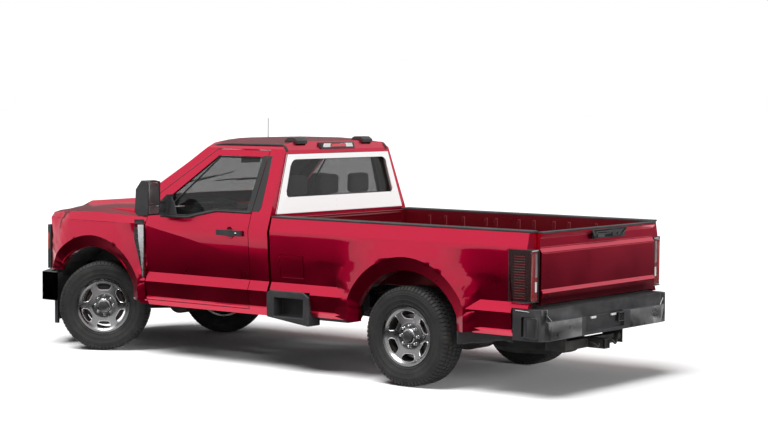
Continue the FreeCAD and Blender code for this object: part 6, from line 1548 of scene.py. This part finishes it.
    def valance(self) -> None:
        """The black valance behind each rear wheel, with its wavy lower edge."""
        bench = self.bench
        top = [(-2.1, 0.52), (-2.64, 0.528)]
        wave = [
            (-2.64, 0.44), (-2.56, 0.452), (-2.49, 0.446), (-2.42, 0.424), (-2.34, 0.412), (-2.26, 0.408),
            (-2.18, 0.392), (-2.1, 0.386),
        ]
        piece = bench.plate("valance_left", top + wave, 0.006, side_plane(0.93), 0.002)
        bench.press(piece, LEFT, 0.012, -0.002)
        bench.both(piece, BLACK_TRIM)

    def build(self) -> None:
        """Makes the pieces at the back."""
        self.bumper()
        self.bumper_face()
        self.hitch()
        self.gate()
        self.valance()


@dataclass
class Bed(Assembly):
    """The ribs, hooks and lips of the load bed, and the white panel's dark edge."""

    rib_places: tuple[float, ...] = (
        -0.52, -0.7, -0.9, -1.148, -1.256, -1.502, -1.661, -1.87, -2.024, -2.3, -2.5
    )

    def ribs(self) -> None:
        """The upright ribs pressed in the inner walls."""
        bench = self.bench
        ribs = []
        for x in self.rib_places:
            top = bench.meet("bedsides", (x, 0.0, 1.2), LEFT)
            low = 0.83 if abs(x - REAR_AXLE_X) > 0.6 else 1.0
            rib = bench.block("bed_rib", (x - 0.016, top.y - 0.009, low), (x + 0.016, top.y + 0.002, 1.275))
            bench.press(rib, RIGHT, 0.006, 0.0)
            ribs.append(bench.soften(rib, 0.005))
        # The ribs take the darker red of the bed's inside: painted shade.
        bench.both(bench.join("bed_ribs_left", ribs), SHADED_BED_RED)

    def hooks(self) -> None:
        """The tie-down hooks in the bed's corners."""
        bench = self.bench
        for name, x in (("front", -0.33), ("rear", -2.6)):
            y = bench.meet("bedsides", (x, 0.0, 1.1), LEFT).y
            loop = [
                (x - 0.03, y + 0.002, 1.12), (x - 0.03, y - 0.03, 1.12), (x + 0.03, y - 0.03, 1.12),
                (x + 0.03, y + 0.002, 1.12),
            ]
            bench.both(bench.bead(f"tie_hook_{name}_left", loop, 0.006, False, True), CHASSIS_BLACK)
            foot = bench.pad(
                f"tie_foot_{name}_left",
                ((x - 0.048, y - 0.005, 1.095), (x + 0.048, y + 0.002, 1.145)),
                RIGHT, (0.006, 0.0015), 0.003,
            )
            bench.both(foot, CHASSIS_BLACK)

    def panel_edge(self) -> None:
        """The dark edge round the white panel."""
        bench = self.bench
        ring = [(0.892, 1.34), (0.71, 1.851), (-0.71, 1.851), (-0.892, 1.34)]
        points = []
        for y, z in ring:
            start = (-0.6, y * 0.985, min(max(z, 1.348), 1.842))
            points.append((bench.meet("rear_window_surround", start, FORWARD).x + 0.004, y, z))
        bench.dress(bench.bead("panel_edge", points, 0.0032, True), RUBBER)

    def glass_seal(self) -> None:
        """The seal of the rear glass."""
        bench = self.bench
        ring = [
            (0.76, 1.5), (0.668, 1.79), (0.64, 1.804), (-0.64, 1.804), (-0.668, 1.79), (-0.76, 1.5),
            (-0.74, 1.48), (0.74, 1.48),
        ]
        seal = []
        for y, z in ring:
            start = (-0.6, y * 0.97, min(max(z, 1.49), 1.795))
            seal.append((bench.meet("rear_window", start, FORWARD).x - 0.002, y, z))
        bench.dress(bench.bead("rear_glass_seal", seal, 0.006, True), RUBBER)

    def window_corners(self) -> None:
        """The rounded corners of the white panel's window."""
        bench, size, overlap, steps = self.bench, 0.052, 0.004, 6
        low, high = (bench.meet("rear_window_surround", (-0.6, 0.0, z), FORWARD) for z in (1.41, 1.83))
        lean = (high - low).normalized()
        plane = facing(low + Vector((-0.0005, 0.0, 0.0)), LEFT, lean)
        inward = Vector((-1.0, 0.0))
        fillets = []
        for y, z, up in ((0.765, 1.48, 1), (0.661, 1.804, -1)):
            corner = Vector((y, (z - low.z) / lean.z))
            slope = Vector((-0.104, 0.33 / lean.z)).normalized() * up
            centre = corner + inward * size + slope * size
            arc = [corner + inward * size]
            for step in range(steps + 1):
                turn = step / steps * math.pi / 2
                arc.append(centre - inward * size * math.sin(turn) - slope * size * math.cos(turn))
            outline = [tuple(corner - inward * overlap - slope * overlap)] + [tuple(point) for point in arc]
            for sign in (1, -1):
                fillets.append(
                    bench.plate("window_corner", [(sign * py, pz) for py, pz in outline], 0.004, plane)
                )
        bench.dress(bench.join("window_corners", fillets), WHITE)

    def front_lip(self) -> None:
        """The pressed lines across the bed's front wall."""
        bench = self.bench
        ribs = []
        for z in (1.285, 1.2, 1.08, 0.96):
            x = bench.meet("bed_box", (-1.2, 0.3, z), FORWARD).x
            ribs.append(
                bench.bar("front_wall_rib", (x - 0.01, -0.8, z - 0.012), (x + 0.001, 0.8, z + 0.012), 0.005)
            )
        # The front wall's ribs take the darker red of the bed's inside: painted shade.
        bench.dress(bench.join("front_wall_ribs", ribs), SHADED_BED_RED)

    def build(self) -> None:
        """Makes the bed's fittings."""
        self.ribs()
        self.hooks()
        self.panel_edge()
        self.window_corners()
        self.glass_seal()
        self.front_lip()


@dataclass
class Front(Assembly):
    """The grille's mesh, the lower bumper, its lamps and hooks, the wipers, the cowl and the arch liners."""

    dam_top: float = 0.428

    def grille(self) -> None:
        """A fine mesh behind the chrome bars and a dark back plate."""
        bench = self.bench
        face = cross_plane(2.712)
        back = bench.plate("grille_back", oblong((-0.56, 0.56), (0.77, 1.13)), 0.006, face, 0.002)
        bench.press(back, FORWARD, 0.02, -0.002)
        bench.dress(back, SMOOTH_BLACK)
        bars = []
        for step in range(18):
            z = 0.78 + step * 0.02
            bars.append(
                bench.bar("grille_slat", (2.716, -0.555, z - 0.003), (2.732, 0.555, z + 0.003), 0.002)
            )
        for step in range(29):
            y = -0.546 + step * 0.039
            bars.append(bench.bar("grille_post", (2.714, y - 0.003, 0.775), (2.729, y + 0.003, 1.125), 0.002))
        bench.dress(bench.join("grille_mesh", bars), BLACK_TRIM)

    def bumper(self) -> None:
        """The chrome bumper with its dark air dam, number-plate pad, fog lamps and tow hooks."""
        bench = self.bench
        bumper = bench.shell("front_bumper", CHROME, Body.CHASSIS, 0.024, 3)
        bench.split(bumper, (0.0, 0.0, self.dam_top), UP)
        bench.part_finish(bumper, BLACK_TRIM, lambda c, n: c.z < self.dam_top or n.x < -0.4)
        for side, sign in SIDES:
            place = bench.meet("front_bumper", (3.4, sign * 0.66, 0.52), BACK)
            ring = bench.turned(
                f"fog_bezel_{side}",
                [
                    (0.0, -0.01), (0.062, -0.01), (0.062, 0.002), (0.054, 0.006), (0.046, -0.004),
                    (0.0, -0.004),
                ],
                place, Axis.X, 36,
            )
            bench.dress(ring, SMOOTH_BLACK)
            lens = bench.turned(
                f"fog_lens_{side}",
                [(0.0, -0.002), (0.044, -0.002), (0.043, 0.002), (0.025, 0.005), (0.0, 0.006)],
                place, Axis.X, 36,
            )
            bench.dress(lens, WHITE_LENS)
            hook = [
                (2.86, sign * 0.4, 0.42), (2.925, sign * 0.4, 0.42), (2.935, sign * 0.4, 0.4),
                (2.925, sign * 0.4, 0.375), (2.86, sign * 0.4, 0.372),
            ]
            bench.dress(bench.bead(f"tow_hook_{side}", hook, 0.01, False, True), CHASSIS_BLACK)
        apron = bench.bar("bumper_apron", (2.69, -0.62, 0.684), (2.716, 0.62, 0.754), 0.004)
        bench.dress(apron, BLACK_TRIM)
        x = bench.meet("front_bumper", (3.4, 0.0, 0.56), BACK).x
        pad = bench.pad(
            "front_plate_pad",
            ((x - 0.004, -0.165, 0.5), (min(x + 0.004, 2.945), 0.165, 0.64)),
            FORWARD, (0.012, -0.002), 0.003,
        )
        bench.dress(pad, BLACK_TRIM)

    def cowl(self) -> None:
        """The cowl under the windscreen, its slots and the two wipers."""
        bench = self.bench
        slots = []
        for step in range(22):
            y = -0.63 + step * 0.06
            place = bench.meet("cab_shell", (1.575, y, 2.0), DOWN)
            slot = bench.block(
                "cowl_slot", (1.552, y - 0.022, place.z - 0.002), (1.604, y + 0.022, place.z + 0.0025)
            )
            bench.press(slot, UP, 0.004, -0.0015)
            slots.append(bench.soften(slot, 0.001))
        bench.dress(bench.join("cowl_slots", slots), BLACK_TRIM)
        for name, y in (("left", 0.52), ("right", -0.06)):
            path = []
            for share in (0.0, 0.5, 1.0):
                place = bench.meet("windshield", (1.4 - 0.08 * share, y - 0.5 * share, 2.4), DOWN)
                path.append((place.x + 0.012, place.y, place.z + 0.016))
            bench.dress(bench.bead(f"wiper_arm_{name}", path, 0.006, False, True), BLACK_TRIM)
            end = Vector(path[-1])
            along = (end - Vector(path[0])).normalized() * 0.26
            blade = [
                end - along + Vector((-0.004, 0.0, -0.006)),
                end + Vector((-0.004, 0.0, -0.008)),
                end + along * 0.8 + Vector((-0.008, 0.0, -0.006)),
            ]
            bench.dress(bench.bead(f"wiper_blade_{name}", blade, 0.005), RUBBER)

    def liners(self) -> None:
        """The dark liners in the front wheel arches."""
        bench = self.bench
        profile = [(0.588, 0.6), (0.592, 0.6), (0.592, 0.955), (0.588, 0.955), (0.588, 0.6)]
        liner = bench.turned("front_liner_left", profile, (FRONT_AXLE_X, 0.0, AXLE_HEIGHT), Axis.Y, 64)
        with bench.editing(liner):
            bench.pick(liner, lambda c, n: c.z < 0.66)
            bpy.ops.mesh.delete(type="FACE")
        bench.both(liner, CHASSIS_BLACK)

    def build(self) -> None:
        """Makes the pieces at the front."""
        self.grille()
        self.bumper()
        self.cowl()
        self.liners()


@dataclass
class Cabin(Assembly):
    """The padded bench, its headrests, the dash's fittings, the inner mirror and the door cards."""

    voxel: float = 0.014
    pressure: float = 4.0
    frames: int = 14

    def cushion(self, name: str, low: Point, high: Point, crown: float) -> Piece:
        """A pad that swells between its corners.

        Args:
            name: the pad's name.
            low: its lowest corner.
            high: its highest corner.
            crown: how far its points may move.

        Returns:
            The pad.
        """
        bench = self.bench
        pad = bench.block(name, low, high)
        bench.soften(pad, 0.03, 3)
        remesh = pad.modifiers.new("voxels", "REMESH")
        remesh.mode, remesh.voxel_size = "VOXEL", self.voxel
        bench.apply(pad, remesh)
        rest = [vertex.co.copy() for vertex in pad.data.vertices]
        cloth = pad.modifiers.new("cover", "CLOTH")
        cloth.settings.use_pressure = True
        cloth.settings.uniform_pressure_force = self.pressure
        cloth.settings.effector_weights.gravity = 0.0
        cloth.settings.quality = 4
        cloth.point_cache.frame_end = self.frames
        for step in range(1, self.frames + 1):
            bpy.context.scene.frame_set(step)
        bench.apply(pad, cloth)
        bpy.context.scene.frame_set(1)
        for vertex, start in zip(pad.data.vertices, rest):
            move = vertex.co - start
            if move.length > crown:
                vertex.co = start + move * (crown / move.length)
        smooth = pad.modifiers.new("smooth", "SUBSURF")
        smooth.levels = smooth.render_levels = 1
        bench.apply(pad, smooth)
        bpy.ops.object.shade_smooth()
        return pad

    def seat(self) -> None:
        """The split bench: three cushions, three backs and three headrests on posts."""
        bench = self.bench
        lean = Matrix.Rotation(-math.atan2(0.09, 0.55), 4, "Y")
        foot = (0.08, 0.0, 0.905)
        leaning = Matrix.Translation(foot) @ lean @ Matrix.Translation([-value for value in foot])
        pads = []
        for name, low_y, high_y in (
            ("left", 0.215, 0.665), ("middle", -0.195, 0.195), ("right", -0.665, -0.215)
        ):
            cushion = self.cushion(f"seat_cushion_{name}", (0.085, low_y, 0.775), (0.54, high_y, 0.9), 0.018)
            back = self.cushion(f"seat_back_{name}", (0.03, low_y, 0.905), (0.13, high_y, 1.4), 0.018)
            back.data.transform(leaning)
            middle = (low_y + high_y) / 2
            head = self.cushion(
                f"headrest_{name}", (-0.045, middle - 0.125, 1.48), (0.045, middle + 0.125, 1.655), 0.012
            )
            for number, side in enumerate((0.06, -0.06)):
                post = bench.bead(
                    f"headrest_post_{name}_{number}",
                    [(0.03, middle + side, 1.36), (0.012, middle + side, 1.43), (0.0, middle + side, 1.5)],
                    0.006,
                )
                bench.dress(post, CHROME)
            pads += [cushion, back, head]
        for number, pad in enumerate(pads):
            bench.dress(pad, SEAT_CLOTH, Body.CHASSIS, ["bench_seat"] if number == 0 else ())
        base = bench.bar("seat_base", (0.06, -0.64, 0.735), (0.52, 0.64, 0.785), 0.012)
        bench.dress(base, CABIN)

    def dash(self) -> None:
        """The dash's hood, vents, screen, glove box and steering column."""
        bench = self.bench
        bench.shell("dashboard", CABIN, Body.CHASSIS, 0.02)
        hood = bench.pad(
            "gauge_hood", ((0.87, 0.23, 1.33), (1.12, 0.57, 1.38)), BACK, (0.012, -0.03), 0.014, 3
        )
        bench.dress(hood, CABIN)
        x = bench.meet("dashboard", (0.4, 0.0, 1.22), FORWARD).x
        screen = bench.pad(
            "dash_screen", ((x - 0.006, -0.13, 1.16), (x + 0.01, 0.11, 1.29)), BACK, (0.01, -0.003), 0.003
        )
        bench.dress(screen, GLOSS_BLACK)
        for name, y in (("one", 0.68), ("two", 0.16), ("three", -0.18), ("four", -0.68)):
            vent = bench.turned(
                f"dash_vent_{name}",
                [(0.0, -0.006), (0.044, -0.006), (0.044, 0.004), (0.038, 0.008), (0.034, 0.0), (0.0, 0.0)],
                (x - 0.002, y, 1.235), Axis.X, 30,
            )
            bench.dress(vent, SMOOTH_BLACK)
        glove = bench.pad(
            "glove_box", ((x - 0.006, -0.62, 1.01), (x + 0.01, -0.26, 1.15)), BACK, (0.008, 0.002), 0.006
        )
        bench.dress(glove, CABIN)
        column = bench.bead("steering_column", [(0.872, 0.4, 1.222), (1.06, 0.4, 1.135)], 0.036)
        bench.dress(column, CABIN)

    def mirror(self) -> None:
        """The inner mirror on the windscreen and the sun visors."""
        bench = self.bench
        head = bench.pad(
            "inner_mirror", ((0.905, -0.125, 1.735), (0.928, 0.125, 1.795)), BACK, (0.006, -0.002), 0.01, 3
        )
        bench.dress(head, SMOOTH_BLACK)
        stem = bench.bead("inner_mirror_stem", [(0.925, 0.0, 1.775), (0.985, 0.0, 1.795)], 0.008)
        bench.dress(stem, SMOOTH_BLACK)
        for side, sign in SIDES:
            visor = bench.bar(
                "sun_visor_" + side, (0.66, sign * 0.16, 1.848), (0.83, sign * 0.56, 1.862), 0.006
            )
            bench.dress(visor, HEADLINING)

    def door_cards(self) -> None:
        """The armrest, the speaker and the inner handle of each door."""
        bench = self.bench
        y = bench.meet("door_left", (0.6, 0.2, 1.05), LEFT).y
        rest = bench.block("armrest_left", (0.32, y - 0.055, 1.0), (0.9, y + 0.004, 1.055))
        bench.soften(rest, 0.018, 3)
        bench.on_doors(rest, CABIN)
        speaker = bench.turned(
            "door_speaker_left",
            [(0.0, -0.004), (0.078, -0.004), (0.082, 0.0), (0.078, 0.006), (0.0, 0.006)],
            (0.98, y, 0.74), Axis.Y, 36,
        )
        bench.on_doors(speaker, SMOOTH_BLACK)
        pull = bench.bead(
            "door_pull_left",
            [
                (0.8, y - 0.004, 1.135), (0.8, y - 0.022, 1.135), (0.92, y - 0.022, 1.135),
                (0.92, y - 0.004, 1.135),
            ],
            0.006, False, True,
        )
        bench.on_doors(pull, CHROME)

    def build(self) -> None:
        """Makes the cabin."""
        self.seat()
        self.dash()
        self.mirror()
        self.door_cards()


@dataclass
class Studio:
    """The floor, the soft lights and the camera."""

    place: Point = (-11.29, 13.837, 2.393)
    yaw: float = -52.418
    pitch: float = 3.4595
    roll: float = 0.007
    lens: float = 93.36
    sky: float = 0.12
    sun_power: float = 3.5
    sun_angle: float = 36.0
    sun_from: Point = (0.03, 0.44, 0.9)
    fill_power: float = 2.4
    fill_angle: float = 22.0
    fill_from: Point = (-0.96, 0.18, 0.19)
    floor_bounce: float = 0.34

    def camera(self) -> None:
        """Stands the camera where the photograph was taken."""
        data = bpy.data.cameras.new("camera")
        data.lens, data.sensor_width = self.lens, 36.0
        data.clip_start, data.clip_end = 0.1, 400.0
        camera = linked("camera", data)
        yaw, pitch = math.radians(self.yaw), math.radians(self.pitch)
        ahead = Vector((math.cos(yaw) * math.cos(pitch), math.sin(yaw) * math.cos(pitch), -math.sin(pitch)))
        right = Vector((math.sin(yaw), -math.cos(yaw), 0.0))
        up = right.cross(ahead)
        cosine, sine = math.cos(self.roll), math.sin(self.roll)
        right, up = right * cosine + up * sine, up * cosine - right * sine
        turn = Matrix((right, up, -ahead)).transposed()
        camera.matrix_world = Matrix.Translation(self.place) @ turn.to_4x4()
        bpy.context.scene.camera = camera

    def seen(self, tree: bpy.types.NodeTree) -> Socket:
        """One where the camera, a mirror or glass looks, nought for other light."""
        path = tree.nodes.new("ShaderNodeLightPath")
        most = path.outputs["Is Camera Ray"]
        for ray in ("Is Glossy Ray", "Is Transmission Ray"):
            larger = tree.nodes.new("ShaderNodeMath")
            larger.operation = "MAXIMUM"
            tree.links.new(most, larger.inputs[0])
            tree.links.new(path.outputs[ray], larger.inputs[1])
            most = larger.outputs[0]
        return most

    def floor(self) -> None:
        """Lays a pale floor that keeps the shadow."""
        bpy.ops.mesh.primitive_plane_add(size=300.0)
        floor = bpy.context.object
        floor.name = "studio_floor"
        graph = Graph(floor.name)
        graph.set(Roughness=1.0, Specular_IOR_Level=0.0)
        bounce = (self.floor_bounce, self.floor_bounce, self.floor_bounce)
        graph.feed("Base Color", graph.mix(self.seen(graph.material.node_tree), bounce, (1.0, 1.0, 1.0)))
        floor.data.materials.append(graph.material)

    def world(self) -> None:
        """Even light from the sky, with a white backdrop where the camera, metal or glass sees it."""
        world = bpy.data.worlds.new("studio")
        bpy.context.scene.world = world
        world.use_nodes = True
        tree = world.node_tree
        back = tree.nodes["Background"]
        back.inputs["Color"].default_value = (1.0, 1.0, 1.0, 1.0)
        strength = tree.nodes.new("ShaderNodeMapRange")
        strength.inputs["To Min"].default_value = self.sky
        strength.inputs["To Max"].default_value = 1.0
        tree.links.new(self.seen(tree), strength.inputs["Value"])
        tree.links.new(strength.outputs["Result"], back.inputs["Strength"])

    def suns(self) -> None:
        """One broad soft light high on the front left, and a weak one from behind."""
        for name, power, angle, place in (
            ("broad_light", self.sun_power, self.sun_angle, self.sun_from),
            ("fill_light", self.fill_power, self.fill_angle, self.fill_from),
        ):
            data = bpy.data.lights.new(name, "SUN")
            data.energy, data.angle = power, math.radians(angle)
            lamp = linked(name, data)
            lamp.rotation_euler = Vector(place).to_track_quat("Z", "Y").to_euler()
            lamp.visible_glossy = name == "broad_light"

    def painted_reflection_cards(self) -> None:
        """Dark cards, and one faintly glowing grey card, that only the truck's gloss sees: painted
        reflections that darken its paint and chrome.
        """
        for name, centre, size, turn, grey in (
            ("card_left", (0.0, 5.0, 0.28), (18.0, 0.56), (math.pi / 2, 0.0, 0.0), 0.0),
            ("card_left_low", (0.0, 3.25, 0.012), (18.0, 3.5), (0.0, 0.0, 0.0), 0.0),
            ("card_back", (-7.0, -3.5, 0.5), (14.0, 1.0), (math.pi / 2, 0.0, math.pi / 2), 0.02),
            ("card_back_low", (-5.25, -3.5, 0.012), (3.5, 14.0), (0.0, 0.0, 0.0), 0.02),
            ("card_far", (11.0, -12.0, 5.0), (40.0, 10.0), (math.pi / 2, 0.0, math.radians(37.6)), 0.16),
        ):
            bpy.ops.mesh.primitive_plane_add(size=1.0, location=centre, rotation=turn)
            card = bpy.context.object
            card.name = name
            card.scale = (size[0], size[1], 1.0)
            graph = Graph(name)
            graph.set(
                Base_Color=(0.0, 0.0, 0.0), Roughness=1.0, Specular_IOR_Level=0.0,
                Emission_Color=(1.0, 1.0, 1.0), Emission_Strength=grey,
            )
            card.data.materials.append(graph.material)
            # Hidden from the camera, from shadows and from diffuse light: they show only as painted
            # reflections.
            card.visible_camera = card.visible_diffuse = False
            card.visible_transmission = card.visible_shadow = False

    def build(self) -> None:
        """Builds the studio."""
        self.camera()
        self.floor()
        self.world()
        self.suns()
        self.painted_reflection_cards()
        bpy.context.scene.view_settings.view_transform = "Standard"


def facing(origin: Sequence[float], across: Sequence[float], up: Sequence[float]) -> Matrix:
    """A plane through a point, with its X across and its Y up."""
    across, up = Vector(across).normalized(), Vector(up).normalized()
    out = across.cross(up).normalized()
    turn = Matrix((across, out.cross(across), out)).transposed()
    return Matrix.Translation(Vector(origin)) @ turn.to_4x4()


def oblong(across: tuple[float, float], up: tuple[float, float]) -> list[tuple[float, float]]:
    """The four corners of an oblong."""
    (near, far), (low, high) = across, up
    return [(near, low), (far, low), (far, high), (near, high)]


def cross_plane(x: float) -> Matrix:
    """The upright plane across the truck at an X."""
    return facing((x, 0.0, 0.0), LEFT, UP)


def side_plane(y: float) -> Matrix:
    """The upright plane along the truck at a Y."""
    return facing((0.0, y, 0.0), FORWARD, UP)


def linked(name: str, data: bpy.types.ID) -> Piece:
    """A new object of the scene with this data."""
    piece = bpy.data.objects.new(name, data)
    bpy.context.scene.collection.objects.link(piece)
    return piece


def main() -> None:
    """Builds the truck's looks around the frame, then the studio."""
    logging.basicConfig(level=logging.INFO, format="%(message)s")
    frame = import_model()
    bench = Bench(frame)
    Studio().build()
    for assembly in (Panels, RoadWheel, Lamps, SideTrim, Rear, Bed, Front, Cabin):
        assembly(bench).build()
        LOG.info("%s is made", assembly.__name__)


if __name__ == "__main__":
    main()
